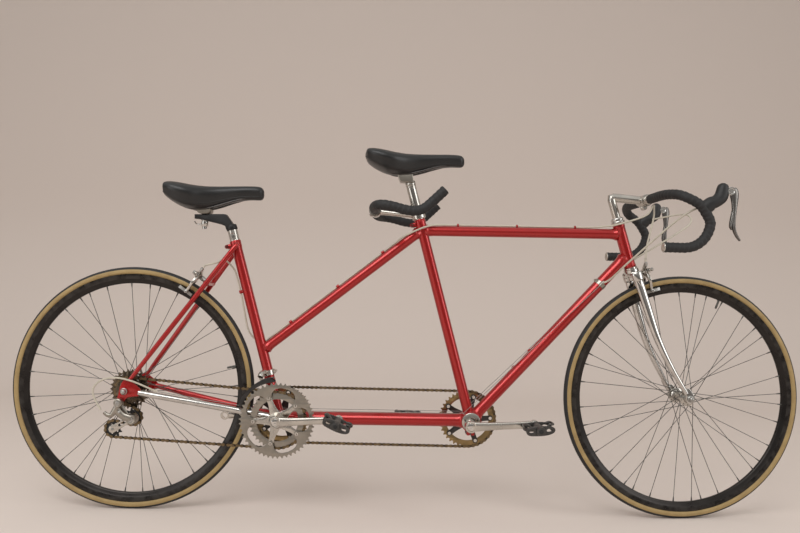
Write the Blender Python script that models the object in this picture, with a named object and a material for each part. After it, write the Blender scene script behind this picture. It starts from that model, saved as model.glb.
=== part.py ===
"""A steel tandem road bike with drop bars for the captain and a horn bar for the stoker.

X points forward, Y to the riders' left, Z up. The origin is on the floor, midway between the axles.
The front end is built straight ahead and then turned about the steering axis, as the bike stands.
"""

import math

import bmesh
import bpy
from mathutils import Matrix, Vector
from mathutils.geometry import tessellate_polygon

# Driving dimensions, in metres, and angles in degrees.
GAP = 0.0003
WHEELBASE = 1.528
TYRE_OUTER_RADIUS = 0.336
TYRE_HALF_WIDTH = 0.0125
RIM_OUTER_RADIUS = 0.316
RIM_INNER_RADIUS = 0.291
RIM_HALF_WIDTH = 0.0095
RIM_INNER_HALF_WIDTH = 0.0045
BRAKE_TRACK_DEPTH = 0.013
WHEEL_SIDES = 32
VALVE_LENGTH = 0.026
VALVE_RADIUS = 0.0030
REAR_VALVE_ANGLE = 12.9
FRONT_VALVE_ANGLE = 68.4
SPOKE_COUNT = 36
SPOKE_RADIUS = 0.001
SPOKE_CROSS_ANGLE = 58.0
SPOKE_HEAD_OFFSET = 0.0017
AXLE_RADIUS = 0.005
AXLE_PROUD = 0.0055
SKEWER_RADIUS = 0.0025
SKEWER_NUT_RADIUS = 0.0095
SKEWER_NUT_LENGTH = 0.014
LOCKNUT_RADIUS = 0.0085
LOCKNUT_LENGTH = 0.0035
CAM_RADIUS = 0.0058
QR_LEVER_LENGTH = 0.052

FRONT_HUB_WIDTH = 0.100
FRONT_FLANGE_RADIUS = 0.0215
FRONT_FLANGE_Y = 0.035
FRONT_BARREL_RADIUS = 0.0095
REAR_HUB_WIDTH = 0.140
REAR_FLANGE_RADIUS = 0.0245
REAR_FLANGE_LEFT_Y = 0.036
REAR_FLANGE_RIGHT_Y = -0.021
REAR_BARREL_RADIUS = 0.014
FREEHUB_RADIUS = 0.0155
FLANGE_THICKNESS = 0.0055
HUB_SIDES = 12
DROPOUT_THICKNESS = 0.006

HEAD_ANGLE = 73.5
FORK_RAKE = 0.042
FORK_LENGTH = 0.3748
HEAD_TUBE_LENGTH = 0.122
HEAD_TUBE_RADIUS = 0.0159
HEAD_TUBE_WALL = 0.0015
LOWER_STACK = 0.012
UPPER_STACK = 0.020
HEADSET_RADIUS = 0.0185
STEERER_RADIUS = 0.0131
STEER_ANGLE = 5.0

SEAT_ANGLE = 74.85
CAPTAIN_SEAT_LENGTH = 0.577
STOKER_SEAT_LENGTH = 0.508
SEAT_TUBE_RADIUS = 0.0145
SEATPOST_RADIUS = 0.0136
POST_INSERTION = 0.090
BINDER_DOWN = 0.0115
BINDER_BACK = 0.0245
BINDER_HALF_LENGTH = 0.0120
TOP_TUBE_RADIUS = 0.0143
TOP_TUBE_FROM_TOP = 0.0265
DOWN_TUBE_RADIUS = 0.0159
DOWN_TUBE_FROM_BOTTOM = 0.0335
MIDDLE_TUBE_RADIUS = 0.0135
MIDDLE_TUBE_RISE = 0.193
MIDDLE_TUBE_FROM_TOP = 0.030
BOSS_REACH = 0.190
BOSS_SPACING = 0.064
BOOM_RADIUS = 0.018
SHELL_WIDTH = 0.068
SHELL_SIDES = 20
STOKER_SHELL_RADIUS = 0.020
ECCENTRIC_RADIUS = 0.0256
ECCENTRIC_SHELL_WALL = 0.0022
ECCENTRIC_OFFSET_X = 0.004
ECCENTRIC_OFFSET_Z = 0.005
STOKER_BB_X = -0.356
STOKER_BB_Z = 0.2594
CAPTAIN_SPINDLE_Z = 0.256
SPINDLE_RADIUS = 0.0085

CHAINSTAY_START_Y = 0.021
CHAINSTAY_BEND_Y = 0.029
CHAINSTAY_BEND_SHARE = 0.32
CHAINSTAY_NARROWING = 0.78
CHAINSTAY_START_RADIUS = 0.0105
CHAINSTAY_END_RADIUS = 0.0075
SEATSTAY_RADIUS = 0.0070
SEATSTAY_TOP_Y = 0.0235
SEATSTAY_FROM_TOP = 0.018
BRIDGE_RADIUS = 0.0065
BRIDGE_TO_AXLE = 0.358

CHAIN_PITCH = 0.0127
CHAIN_HALF_WIDTH = 0.0031
CHAIN_HALF_HEIGHT = 0.0041
LINKS_A_FACET = 2
WRAP_FACET = 30.0
TIMING_TEETH = 39
TIMING_LINKS = 122
TIMING_Y = 0.050
OUTER_RING_TEETH = 50
INNER_RING_TEETH = 38
OUTER_RING_Y = -0.0510
INNER_RING_Y = -0.0430
RING_HALF_THICKNESS = 0.0016
TOOTH_ABOVE_PITCH = 0.0024
TOOTH_BELOW_PITCH = 0.0036
BOLT_CIRCLE_RADIUS = 0.065
RING_BOLT_RADIUS = 0.0045
RING_BOLT_HOLE = 0.0054
SPIDER_TAB_REACH = 0.0066
CASSETTE_TEETH = [13, 14, 15, 17, 19, 21, 23, 26]
CASSETTE_SPACING = 0.0047
CASSETTE_OUTER_Y = -0.0620
COG_HALF_THICKNESS = 0.0009
COG_CORE_RADIUS = 0.0215
DRIVE_COG_TEETH = 17
PULLEY_TEETH = 11
PULLEY_HALF_THICKNESS = 0.0011

CRANK_LENGTH = 0.170
CRANK_ANGLE = 3.2
CRANK_OUTER_Y = 0.084
CRANK_THICKNESS = 0.0125
CRANK_BOSS_RADIUS = 0.0165
CRANK_EYE_RADIUS = 0.0125
CRANK_CAP_DEPTH = 0.006
PEDAL_AXLE_RADIUS = 0.0066
PEDAL_BODY_LENGTH = 0.088
PEDAL_CAGE_HALF_LENGTH = 0.040
CAPTAIN_PEDAL_TILT = -4.0
STOKER_PEDAL_TILT = 24.0

STEM_REACH = 0.097
STEM_HEIGHT = 0.0595
STEM_DROP = 0.007
QUILL_RADIUS = 0.0110
BAR_RADIUS = 0.0115
TAPED_RADIUS = 0.0133
BAR_HALF_WIDTH = 0.205
BAR_SIDES = 8
BAR_DROP_RADIUS = 0.0670
BAR_DROP_CENTRE_FORWARD = 0.0215
BAR_DROP_CENTRE_DOWN = 0.0777
BAR_END_LENGTH = 0.057
CLAMP_HALF_WIDTH = 0.020
CLAMP_WALL = 0.0050
HOOD_FORWARD = 0.0844
HOOD_DOWN = 0.0350
HOOD_STANCE = 40.0
HOOD_HALF_WIDTH = 0.0150
LEVER_PIVOT_FORWARD = 0.0575
LEVER_PIVOT_UP = 0.0370
LEVER_HALF_WIDTH = 0.0060

SADDLE_LENGTH = 0.2755
SADDLE_HALF_WIDTH = 0.070
CAPTAIN_SADDLE_REAR_X = -0.1290
CAPTAIN_SADDLE_TOP_Z = 1.0115
STOKER_SADDLE_REAR_X = -0.6855
STOKER_SADDLE_TOP_Z = 0.9120
STOKER_SADDLE_TILT = 0.9
CAPTAIN_SADDLE_DEPTH = 0.0715
STOKER_SADDLE_DEPTH = 0.078
STOKER_BAR_X = -0.099
STOKER_BAR_Z = 0.839
STOKER_BAR_HALF_WIDTH = 0.200
STOKER_COLLAR_WALL = 0.0050
SETBACK_X = -0.600
SETBACK_Z = 0.8160
SETBACK_KNEE_X = -0.519
SETBACK_CLAMP = 0.026

PAD_HALF_LENGTH = 0.022
PAD_HALF_HEIGHT = 0.0048
PAD_THICKNESS = 0.008
PAD_CLEARANCE = 0.0018
BRAKE_PAD_RADIUS = 0.3085
BRAKE_STANDOFF = 0.029
BRAKE_ARM_THICKNESS = 0.0075
BRAKE_BOLT_RADIUS = 0.0040
HOUSING_RADIUS = 0.0025
WIRE_RADIUS = 0.0008
STOP_REACH = 0.107
CABLE_BEND = 14.0

HANGER_BACK = 0.012
HANGER_DOWN = 0.030
GUIDE_PULLEY_FORWARD = 0.017
GUIDE_PULLEY_DOWN = 0.073
TENSION_PULLEY_BACK = 0.037
TENSION_PULLEY_DOWN = 0.1060
FRONT_CAGE_START_ANGLE = 94.0
FRONT_CAGE_END_ANGLE = 160.0
FRONT_CAGE_HEIGHT = 0.013


def point(x, y, z):
    return Vector((x, y, z))


X_AXIS = point(1, 0, 0)
Y_AXIS = point(0, 1, 0)
Z_AXIS = point(0, 0, 1)
ORIGIN = point(0, 0, 0)

# Places worked out from the driving dimensions.
REAR_AXLE = point(-WHEELBASE / 2, 0, TYRE_OUTER_RADIUS)
FRONT_AXLE = point(WHEELBASE / 2, 0, TYRE_OUTER_RADIUS)
HEAD_UP = point(-math.cos(math.radians(HEAD_ANGLE)), 0, math.sin(math.radians(HEAD_ANGLE)))
HEAD_FORWARD = point(HEAD_UP.z, 0, -HEAD_UP.x)
AXIS_FOOT = FRONT_AXLE - HEAD_FORWARD * FORK_RAKE
CROWN_SEAT = AXIS_FOOT + HEAD_UP * FORK_LENGTH
HEAD_LOW = CROWN_SEAT + HEAD_UP * LOWER_STACK
HEAD_HIGH = HEAD_LOW + HEAD_UP * HEAD_TUBE_LENGTH
SEAT_UP = point(-math.cos(math.radians(SEAT_ANGLE)), 0, math.sin(math.radians(SEAT_ANGLE)))
SEAT_FORWARD = point(SEAT_UP.z, 0, -SEAT_UP.x)
STOKER_BB = point(STOKER_BB_X, 0, STOKER_BB_Z)
TIMING_CENTRES = CHAIN_PITCH * (TIMING_LINKS - TIMING_TEETH) / 2
BB_DROP = STOKER_BB_Z - CAPTAIN_SPINDLE_Z
CAPTAIN_BB = STOKER_BB + point(math.sqrt(TIMING_CENTRES**2 - BB_DROP**2), 0, -BB_DROP)
CAPTAIN_SHELL = CAPTAIN_BB + point(ECCENTRIC_OFFSET_X, 0, ECCENTRIC_OFFSET_Z)
CAPTAIN_SHELL_RADIUS = ECCENTRIC_RADIUS + GAP + ECCENTRIC_SHELL_WALL
CAPTAIN_SEAT_TOP = CAPTAIN_SHELL + SEAT_UP * CAPTAIN_SEAT_LENGTH
STOKER_SEAT_TOP = STOKER_BB + SEAT_UP * STOKER_SEAT_LENGTH
DROPOUT_Y = REAR_HUB_WIDTH / 2 + DROPOUT_THICKNESS / 2
FORK_TIP_Y = FRONT_HUB_WIDTH / 2 + DROPOUT_THICKNESS / 2
PEDAL_Y = CRANK_OUTER_Y - CRANK_THICKNESS


def material(name, colour, roughness, metallic):
    mat = bpy.data.materials.new(name)
    mat.use_nodes = True
    shader = mat.node_tree.nodes["Principled BSDF"]
    shader.inputs["Base Color"].default_value = (*colour, 1.0)
    shader.inputs["Roughness"].default_value = roughness
    shader.inputs["Metallic"].default_value = metallic
    return mat


def add_object(name, bm, mat, origin=ORIGIN, parent=None):
    """Makes one object whose own origin is at the given place, under a parent if it has one."""
    bmesh.ops.recalc_face_normals(bm, faces=bm.faces)
    bmesh.ops.translate(bm, verts=bm.verts, vec=-origin)
    mesh = bpy.data.meshes.new(name)
    bm.to_mesh(mesh)
    bm.free()
    mesh.materials.append(mat)
    mesh.shade_smooth()
    mesh.set_sharp_from_angle(angle=math.radians(35))
    obj = bpy.data.objects.new(name, mesh)
    bpy.context.scene.collection.objects.link(obj)
    obj.location = origin
    if parent:
        obj.parent = parent
        obj.location = origin - parent.location
    return obj


def add_empty(name, place):
    empty = bpy.data.objects.new(name, None)
    empty.location = place
    bpy.context.scene.collection.objects.link(empty)
    return empty


def combine(obj, bm, operation, own_overlaps=False):
    """Cuts a hidden shape from the object, or joins it on."""
    parent = obj.parent
    other = add_object(f"{obj.name}_{operation.lower()}", bm, obj.data.materials[0], parent=parent)
    other.hide_render = True
    other.display_type = "WIRE"
    step = obj.modifiers.new(operation.title(), "BOOLEAN")
    step.object = other
    step.operation = operation
    step.solver = "EXACT"
    step.use_self = own_overlaps
    return obj


def cut(obj, *shapes):
    for shape in shapes:
        combine(obj, shape, "DIFFERENCE")
    return obj


def join(obj, *shapes):
    for shape in shapes:
        combine(obj, shape, "UNION")
    return obj


def cross_axes(direction):
    """Two unit vectors square to a direction, the first as near to Y as can be."""
    direction = direction.normalized()
    hint = Y_AXIS
    if abs(direction.y) > 0.9:
        hint = X_AXIS
    up = direction.cross(hint).normalized()
    side = up.cross(direction).normalized()
    return side, up


def ring(centre, side, up, width, height, count, shift=0.5):
    found = []
    for k in range(count):
        angle = 2 * math.pi * (k + shift) / count
        found.append(centre + side * (width * math.cos(angle)) + up * (height * math.sin(angle)))
    return found


def loft(bm, rings, closed=False):
    """Skins a row of rings with faces, capped at both ends or joined round into a loop."""
    rows = [[bm.verts.new(v) for v in one] for one in rings]
    pairs = list(zip(rows, rows[1:]))
    if closed:
        pairs.append((rows[-1], rows[0]))
    for low, high in pairs:
        count = len(low)
        for k in range(count):
            bm.faces.new((low[k], low[(k + 1) % count], high[(k + 1) % count], high[k]))
    if not closed:
        bm.faces.new(list(reversed(rows[0])))
        bm.faces.new(rows[-1])
    return bm


def rod(start, end, radius, end_radius=None, count=16, bm=None):
    bm = bm or bmesh.new()
    side, up = cross_axes(end - start)
    last = radius if end_radius is None else end_radius
    return loft(bm, [ring(start, side, up, radius, radius, count), ring(end, side, up, last, last, count)])


def pipe(start, end, radius, bore, count=16):
    """A straight tube with a bore from end to end."""
    side, up = cross_axes(end - start)
    rings = [
        ring(start, side, up, radius, radius, count),
        ring(end, side, up, radius, radius, count),
        ring(end, side, up, bore, bore, count),
        ring(start, side, up, bore, bore, count),
    ]
    return loft(bmesh.new(), rings, closed=True)


def turned(centre, axis, profile, count=20, closed=False, shift=0.5):
    """A turned solid from (distance along the axis, radius) pairs, closed into a loop if it is a ring."""
    side, up = cross_axes(axis)
    axis = axis.normalized()
    rings = [ring(centre + axis * along, side, up, radius, radius, count, shift) for along, radius in profile]
    return loft(bmesh.new(), rings, closed)


def swept(points, sizes, count=10, bm=None):
    """A solid along a path. Each size is a radius, or a width across and a height."""
    bm = bm or bmesh.new()
    rings = []
    side, up = cross_axes(points[1] - points[0])
    for k, place in enumerate(points):
        ahead = points[min(k + 1, len(points) - 1)] - points[max(k - 1, 0)]
        along = ahead.normalized()
        side = (side - along * side.dot(along)).normalized()
        up = along.cross(side)
        size = sizes[k] if isinstance(sizes, list) else sizes
        width, height = size if isinstance(size, tuple) else (size, size)
        rings.append(ring(place, side, up, width, height, count))
    return loft(bm, rings)


def smooth_path(knots, steps):
    """Points on a smooth curve through the knots."""
    ends = [knots[0] * 2 - knots[1], *knots, knots[-1] * 2 - knots[-2]]
    found = []
    for k in range(len(knots) - 1):
        a, b, c, d = ends[k : k + 4]
        for n in range(steps):
            t = n / steps
            lead = (c - a) * (t * (1 - t) ** 2 / 2)
            trail = (d - b) * (t * t * (t - 1) / 2)
            found.append(b * ((1 + 2 * t) * (1 - t) ** 2) + c * (t * t * (3 - 2 * t)) + lead + trail)
    found.append(knots[-1])
    return found


def plate(loops, low, high, bm=None, place=None):
    """A flat plate square to Y, from outlines of (x, z) pairs: the first outside, the rest holes."""
    bm = bm or bmesh.new()
    flat = [[point(x, 0, z) for x, z in loop] for loop in loops]
    triangles = tessellate_polygon(flat)
    corners = [v for loop in flat for v in loop]
    place = place or Matrix.Identity(4)
    near = [bm.verts.new(place @ point(v.x, low, v.z)) for v in corners]
    far = [bm.verts.new(place @ point(v.x, high, v.z)) for v in corners]
    for a, b, c in triangles:
        bm.faces.new((near[a], near[b], near[c]))
        bm.faces.new((far[c], far[b], far[a]))
    start = 0
    for loop in flat:
        count = len(loop)
        for k in range(count):
            a = start + k
            b = start + (k + 1) % count
            bm.faces.new((near[a], near[b], far[b], far[a]))
        start += count
    bmesh.ops.recalc_face_normals(bm, faces=bm.faces)
    bmesh.ops.dissolve_limit(bm, angle_limit=0.001, verts=near + far, edges=bm.edges)
    return bm


def circle(centre, radius, count=24, turn=0.0):
    found = []
    for k in range(count):
        angle = 2 * math.pi * (k + 0.5) / count + turn
        found.append((centre.x + radius * math.cos(angle), centre.z + radius * math.sin(angle)))
    return found


def polar(centre, radius, degrees):
    angle = math.radians(degrees)
    return centre.x + radius * math.cos(angle), centre.z + radius * math.sin(angle)


def polar_place(centre, radius, degrees):
    x, z = polar(centre, radius, degrees)
    return point(x, centre.y, z)


def pitch_radius(teeth):
    return CHAIN_PITCH / (2 * math.sin(math.pi / teeth))


def toothed(centre, teeth, turn=0.0):
    """The outline of a sprocket, one tip and one root for each tooth."""
    radius = pitch_radius(teeth)
    found = []
    for k in range(teeth * 2):
        reach = TOOTH_ABOVE_PITCH if k % 2 else -TOOTH_BELOW_PITCH
        found.append(polar(centre, radius + reach, 180 * k / teeth + turn))
    return found


def round_sprocket(centre, teeth, count):
    """A sprocket's outline without its teeth, as high as they are."""
    return circle(centre, pitch_radius(teeth) + TOOTH_ABOVE_PITCH, count)


def box_between(low, high, bm=None, place=None):
    outline = [(low.x, low.z), (high.x, low.z), (high.x, high.z), (low.x, high.z)]
    return plate([outline], low.y, high.y, bm, place)


def bore(start, end, radius, count=16):
    """A hole that clears a round piece of this radius all round, also while it turns."""
    return rod(start, end, (radius + GAP) / math.cos(math.pi / count), count=count)


def clearance_rod(start, end, radius, count=16):
    """The space a tube takes up, with the gap that its neighbour keeps."""
    return rod(start, end, radius + GAP, count=count)


for old in list(bpy.data.objects):
    bpy.data.objects.remove(old)

RED = material("red_paint", (0.42, 0.012, 0.012), 0.22, 0.45)
CHROME = material("chrome", (0.80, 0.80, 0.79), 0.12, 1.0)
SILVER = material("polished_alloy", (0.72, 0.71, 0.69), 0.28, 1.0)
STEEL = material("steel", (0.48, 0.47, 0.45), 0.35, 1.0)
DARK_ALLOY = material("dark_anodised_rim", (0.045, 0.043, 0.045), 0.32, 0.85)
TYRE_BLACK = material("black_rubber_tyre", (0.028, 0.027, 0.026), 0.75, 0.0)
CHAIN_BROWN = material("oiled_chain", (0.16, 0.12, 0.075), 0.42, 0.9)
COG_STEEL = material("dark_cogs", (0.17, 0.14, 0.11), 0.40, 0.9)
SADDLE_BLACK = material("saddle_leather", (0.022, 0.022, 0.023), 0.50, 0.0)
TAPE_BLACK = material("bar_tape", (0.026, 0.025, 0.028), 0.80, 0.0)
HOOD_BLACK = material("hood_rubber", (0.020, 0.020, 0.021), 0.65, 0.0)
HOUSING_CREAM = material("cable_housing", (0.72, 0.68, 0.60), 0.42, 0.0)
LEVER_GREY = material("lever_grey", (0.38, 0.37, 0.36), 0.30, 0.9)
CAGE_GREY = material("cage_grey", (0.09, 0.088, 0.09), 0.35, 0.8)

steering = add_empty("steering_axis", CROWN_SEAT)


# Frame tubes. Each is mitred to its neighbours, as brazed tubes are.
def clear_shell(centre, radius):
    return clearance_rod(centre - Y_AXIS * SHELL_WIDTH, centre + Y_AXIS * SHELL_WIDTH, radius, SHELL_SIDES)


head_tube = add_object(
    "head_tube", pipe(HEAD_LOW, HEAD_HIGH, HEAD_TUBE_RADIUS, HEAD_TUBE_RADIUS - HEAD_TUBE_WALL), RED
)
TOP_JOINT = HEAD_HIGH - HEAD_UP * TOP_TUBE_FROM_TOP
TOP_TUBE_REAR = CAPTAIN_SEAT_TOP - SEAT_UP * ((CAPTAIN_SEAT_TOP.z - TOP_JOINT.z) / SEAT_UP.z)
head_space = clearance_rod(HEAD_LOW, HEAD_HIGH, HEAD_TUBE_RADIUS)
captain_seat_space = clearance_rod(CAPTAIN_SHELL, CAPTAIN_SEAT_TOP, SEAT_TUBE_RADIUS)
top_tube = add_object("top_tube", rod(TOP_TUBE_REAR, TOP_JOINT, TOP_TUBE_RADIUS), RED)
cut(top_tube, head_space, captain_seat_space)

DOWN_JOINT = HEAD_LOW + HEAD_UP * DOWN_TUBE_FROM_BOTTOM
down_tube = add_object("down_tube", rod(CAPTAIN_SHELL, DOWN_JOINT, DOWN_TUBE_RADIUS), RED)
cut(down_tube, clearance_rod(HEAD_LOW, HEAD_HIGH, HEAD_TUBE_RADIUS))
cut(down_tube, clear_shell(CAPTAIN_SHELL, CAPTAIN_SHELL_RADIUS))
cut(down_tube, clearance_rod(CAPTAIN_SHELL, CAPTAIN_SEAT_TOP, SEAT_TUBE_RADIUS))
down_way = (DOWN_JOINT - CAPTAIN_SHELL).normalized()
down_upward = point(-down_way.z, 0, down_way.x)
for reach in (BOSS_REACH, BOSS_REACH + BOSS_SPACING):
    boss_place = CAPTAIN_SHELL + down_way * reach + down_upward * (DOWN_TUBE_RADIUS - 0.002)
    join(down_tube, rod(boss_place, boss_place + down_upward * 0.0045, 0.0045, count=10))

SEAT_BORE = SEATPOST_RADIUS + GAP


def seat_tube(name, start, top, shell_radius, bored_from):
    """A seat tube with its binder bolt, solid below and bored for its post from the top down."""
    tube = add_object(name, rod(start, top, SEAT_TUBE_RADIUS), RED)
    binder = top - SEAT_UP * BINDER_DOWN - SEAT_FORWARD * BINDER_BACK
    half = Y_AXIS * BINDER_HALF_LENGTH
    join(tube, swept([binder + SEAT_FORWARD * 0.012, binder], (BINDER_HALF_LENGTH * 0.75, 0.0050), 8))
    join(tube, rod(binder - half, binder + half, 0.0062, count=10))
    cut(tube, rod(top - SEAT_UP * bored_from, top + SEAT_UP * 0.01, SEAT_BORE))
    if shell_radius:
        cut(tube, clear_shell(start, shell_radius))
    return tube


BORE_DEPTH = POST_INSERTION + 0.030
seat_tube("captain_seat_tube", CAPTAIN_SHELL, CAPTAIN_SEAT_TOP, CAPTAIN_SHELL_RADIUS, BORE_DEPTH)

# The bottom tube carries the captain's shell, split below between two pinch ears.
boom = add_object("bottom_tube", rod(STOKER_BB, CAPTAIN_SHELL, BOOM_RADIUS), RED)
HALF_SHELL = Y_AXIS * (SHELL_WIDTH / 2)
join(boom, rod(CAPTAIN_SHELL - HALF_SHELL, CAPTAIN_SHELL + HALF_SHELL, CAPTAIN_SHELL_RADIUS, count=SHELL_SIDES))
EAR_HALF_LENGTH = 0.011
EAR_HALF_WIDTH = 0.022
EAR_DEPTH = 0.010
ear_top = CAPTAIN_SHELL - Z_AXIS * (CAPTAIN_SHELL_RADIUS - 0.003)
ear_low = ear_top - Z_AXIS * (EAR_DEPTH + 0.003)
join(
    boom,
    box_between(
        point(ear_top.x - EAR_HALF_LENGTH, -EAR_HALF_WIDTH, ear_low.z),
        point(ear_top.x + EAR_HALF_LENGTH, EAR_HALF_WIDTH, ear_top.z),
    ),
)
cut(boom, rod(CAPTAIN_SHELL - HALF_SHELL * 2, CAPTAIN_SHELL + HALF_SHELL * 2, ECCENTRIC_RADIUS + GAP, count=SHELL_SIDES))
PINCH_HALF_SLOT = 0.0015
cut(
    boom,
    box_between(
        point(ear_top.x - PINCH_HALF_SLOT, -SHELL_WIDTH, ear_low.z - 0.01),
        point(ear_top.x + PINCH_HALF_SLOT, SHELL_WIDTH, CAPTAIN_SHELL.z - ECCENTRIC_RADIUS / 2),
    ),
)
cut(boom, clear_shell(STOKER_BB, STOKER_SHELL_RADIUS))
cut(boom, clearance_rod(STOKER_BB, STOKER_SEAT_TOP, SEAT_TUBE_RADIUS))

# The eccentric insert holds the captain's spindle off centre, to tension the timing chain.
eccentric = add_object(
    "eccentric_insert",
    rod(CAPTAIN_SHELL - HALF_SHELL * 1.02, CAPTAIN_SHELL + HALF_SHELL * 1.02, ECCENTRIC_RADIUS, count=SHELL_SIDES),
    SILVER,
)
cut(eccentric, bore(CAPTAIN_BB - HALF_SHELL * 2, CAPTAIN_BB + HALF_SHELL * 2, SPINDLE_RADIUS, 12))

# Middle tube, from the captain's seat cluster down to the stoker's seat tube.
MIDDLE_HIGH = CAPTAIN_SEAT_TOP - SEAT_UP * MIDDLE_TUBE_FROM_TOP
MIDDLE_LOW = STOKER_BB + SEAT_UP * MIDDLE_TUBE_RISE
middle_tube = add_object("middle_tube", rod(MIDDLE_LOW, MIDDLE_HIGH, MIDDLE_TUBE_RADIUS), RED)
cut(middle_tube, clearance_rod(CAPTAIN_SHELL, CAPTAIN_SEAT_TOP + SEAT_UP * 0.02, SEAT_TUBE_RADIUS))
cut(middle_tube, clearance_rod(STOKER_BB, STOKER_SEAT_TOP, SEAT_TUBE_RADIUS))

# Stoker's seat tube with its bottom-bracket shell.
stoker_tube = seat_tube("stoker_seat_tube", STOKER_BB, STOKER_SEAT_TOP, None, BORE_DEPTH)
join(stoker_tube, rod(STOKER_BB - HALF_SHELL, STOKER_BB + HALF_SHELL, STOKER_SHELL_RADIUS, count=SHELL_SIDES))
cut(stoker_tube, bore(STOKER_BB - HALF_SHELL * 2, STOKER_BB + HALF_SHELL * 2, SPINDLE_RADIUS, 12))


# Rear stays. Each seatstay ends in its dropout plate, and the chainstay meets the plate.
def dropout_outline(right):
    """A dropout seen from the side: a lobe round the axle, the stay's seat and the derailleur hanger."""
    axle = REAR_AXLE
    found = [
        (axle.x + 0.046, axle.z - 0.012),
        (axle.x + 0.046, axle.z + 0.004),
        (axle.x + 0.026, axle.z + 0.022),
        (axle.x + 0.008, axle.z + 0.034),
        (axle.x - 0.004, axle.z + 0.030),
        (axle.x - 0.013, axle.z + 0.010),
        (axle.x - 0.015, axle.z - 0.008),
    ]
    if right:
        found.append((axle.x - HANGER_BACK - 0.010, axle.z - HANGER_DOWN + 0.006))
        found.append((axle.x - HANGER_BACK - 0.010, axle.z - HANGER_DOWN - 0.007))
        found.append((axle.x - HANGER_BACK + 0.006, axle.z - HANGER_DOWN - 0.010))
        found.append((axle.x - HANGER_BACK + 0.012, axle.z - HANGER_DOWN + 0.004))
    found.append((axle.x + 0.008, axle.z - 0.016))
    found.append((axle.x + 0.024, axle.z - 0.014))
    return found


def dropout_space(side):
    """The room that a dropout takes up, a little larger all round."""
    inner = side * (REAR_HUB_WIDTH / 2 - GAP)
    outer = side * (REAR_HUB_WIDTH / 2 + DROPOUT_THICKNESS + GAP)
    middle = REAR_AXLE + point(0.014, 0, 0.008)
    grown = []
    for x, z in dropout_outline(False):
        away = point(x - middle.x, 0, z - middle.z)
        away = away * (1 + 1.5 * GAP / away.length)
        grown.append((middle.x + away.x, middle.z + away.z))
    return plate([grown], min(inner, outer), max(inner, outer))


def chainstay(name, side, mat):
    start = STOKER_BB + point(-0.004, side * CHAINSTAY_START_Y, 0.001)
    end = REAR_AXLE + point(0.034, side * (DROPOUT_Y + 0.0002), -0.003)
    path = []
    sizes = []
    for share in (0.0, 0.12, 0.24, 0.36, 0.55, 1.0):
        place = start.lerp(end, share)
        bend = min(share / CHAINSTAY_BEND_SHARE, 1.0)
        beyond = max(share - CHAINSTAY_BEND_SHARE, 0.0) / (1 - CHAINSTAY_BEND_SHARE)
        reach = CHAINSTAY_START_Y + (CHAINSTAY_BEND_Y - CHAINSTAY_START_Y) * bend
        place.y = side * (reach + (abs(end.y) - CHAINSTAY_BEND_Y) * beyond)
        path.append(place)
        radius = CHAINSTAY_START_RADIUS + (CHAINSTAY_END_RADIUS - CHAINSTAY_START_RADIUS) * share
        sizes.append((radius * (CHAINSTAY_NARROWING + (1 - CHAINSTAY_NARROWING) * beyond), radius))
    stay = add_object(name, swept(path, sizes, 12), mat)
    cut(stay, clear_shell(STOKER_BB, STOKER_SHELL_RADIUS))
    cut(stay, clearance_rod(STOKER_BB, STOKER_SEAT_TOP, SEAT_TUBE_RADIUS))
    cut(stay, dropout_space(side))
    return stay


chainstay("chainstay_right", -1, CHROME)
chainstay("chainstay_left", 1, RED)

STAY_HIGH = STOKER_SEAT_TOP - SEAT_UP * SEATSTAY_FROM_TOP
STAY_LOW = REAR_AXLE + point(0.0130, 0, 0.0300)
STAY_DOWN = (STAY_LOW - STAY_HIGH).normalized()


def stay_at_axle_distance(distance):
    """The point of the seatstays' side view that lies this far from the rear axle."""
    span = (STAY_LOW - STAY_HIGH).length
    low, high = 0.0, span
    for _ in range(40):
        middle = (low + high) / 2
        if (STAY_HIGH + STAY_DOWN * middle - REAR_AXLE).length > distance:
            low = middle
        else:
            high = middle
    return STAY_HIGH + STAY_DOWN * low


BRIDGE = stay_at_axle_distance(BRIDGE_TO_AXLE)
BRIDGE_SHARE = (BRIDGE - STAY_HIGH).length / (STAY_LOW - STAY_HIGH).length
BRIDGE_HALF = SEATSTAY_TOP_Y + (DROPOUT_Y - SEATSTAY_TOP_Y) * BRIDGE_SHARE


def seatstay(name, side):
    start = STAY_HIGH + point(0, side * SEATSTAY_TOP_Y, 0)
    end = STAY_LOW + point(0, side * DROPOUT_Y, 0)
    stay = add_object(name, rod(start, end, SEATSTAY_RADIUS, SEATSTAY_RADIUS * 0.8, 10), RED)
    cap = start - STAY_DOWN * 0.012 - point(0, side * 0.004, 0)
    join(stay, rod(start + STAY_DOWN * 0.004, cap, SEATSTAY_RADIUS, SEATSTAY_RADIUS * 0.6, 10))
    cut(stay, clearance_rod(STOKER_BB, STOKER_SEAT_TOP + SEAT_UP * 0.02, SEAT_TUBE_RADIUS))
    inner = side * REAR_HUB_WIDTH / 2
    outer = inner + side * DROPOUT_THICKNESS
    join(stay, plate([dropout_outline(side < 0)], min(inner, outer), max(inner, outer)))
    hole = point(REAR_AXLE.x, outer - side * 0.02, REAR_AXLE.z)
    cut(stay, bore(hole, hole + Y_AXIS * side * 0.03, AXLE_RADIUS, 12))
    if side < 0:
        bolt = point(REAR_AXLE.x - HANGER_BACK, outer - side * 0.02, REAR_AXLE.z - HANGER_DOWN)
        cut(stay, bore(bolt, bolt + Y_AXIS * side * 0.03, AXLE_RADIUS, 12))
    return stay


seatstay("seatstay_right", -1)
left_seatstay = seatstay("seatstay_left", 1)
bridge_end = BRIDGE + Y_AXIS * BRIDGE_HALF
join(left_seatstay, rod(BRIDGE - Y_AXIS * (BRIDGE_HALF - SEATSTAY_RADIUS - GAP), bridge_end, BRIDGE_RADIUS, count=12))


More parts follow.
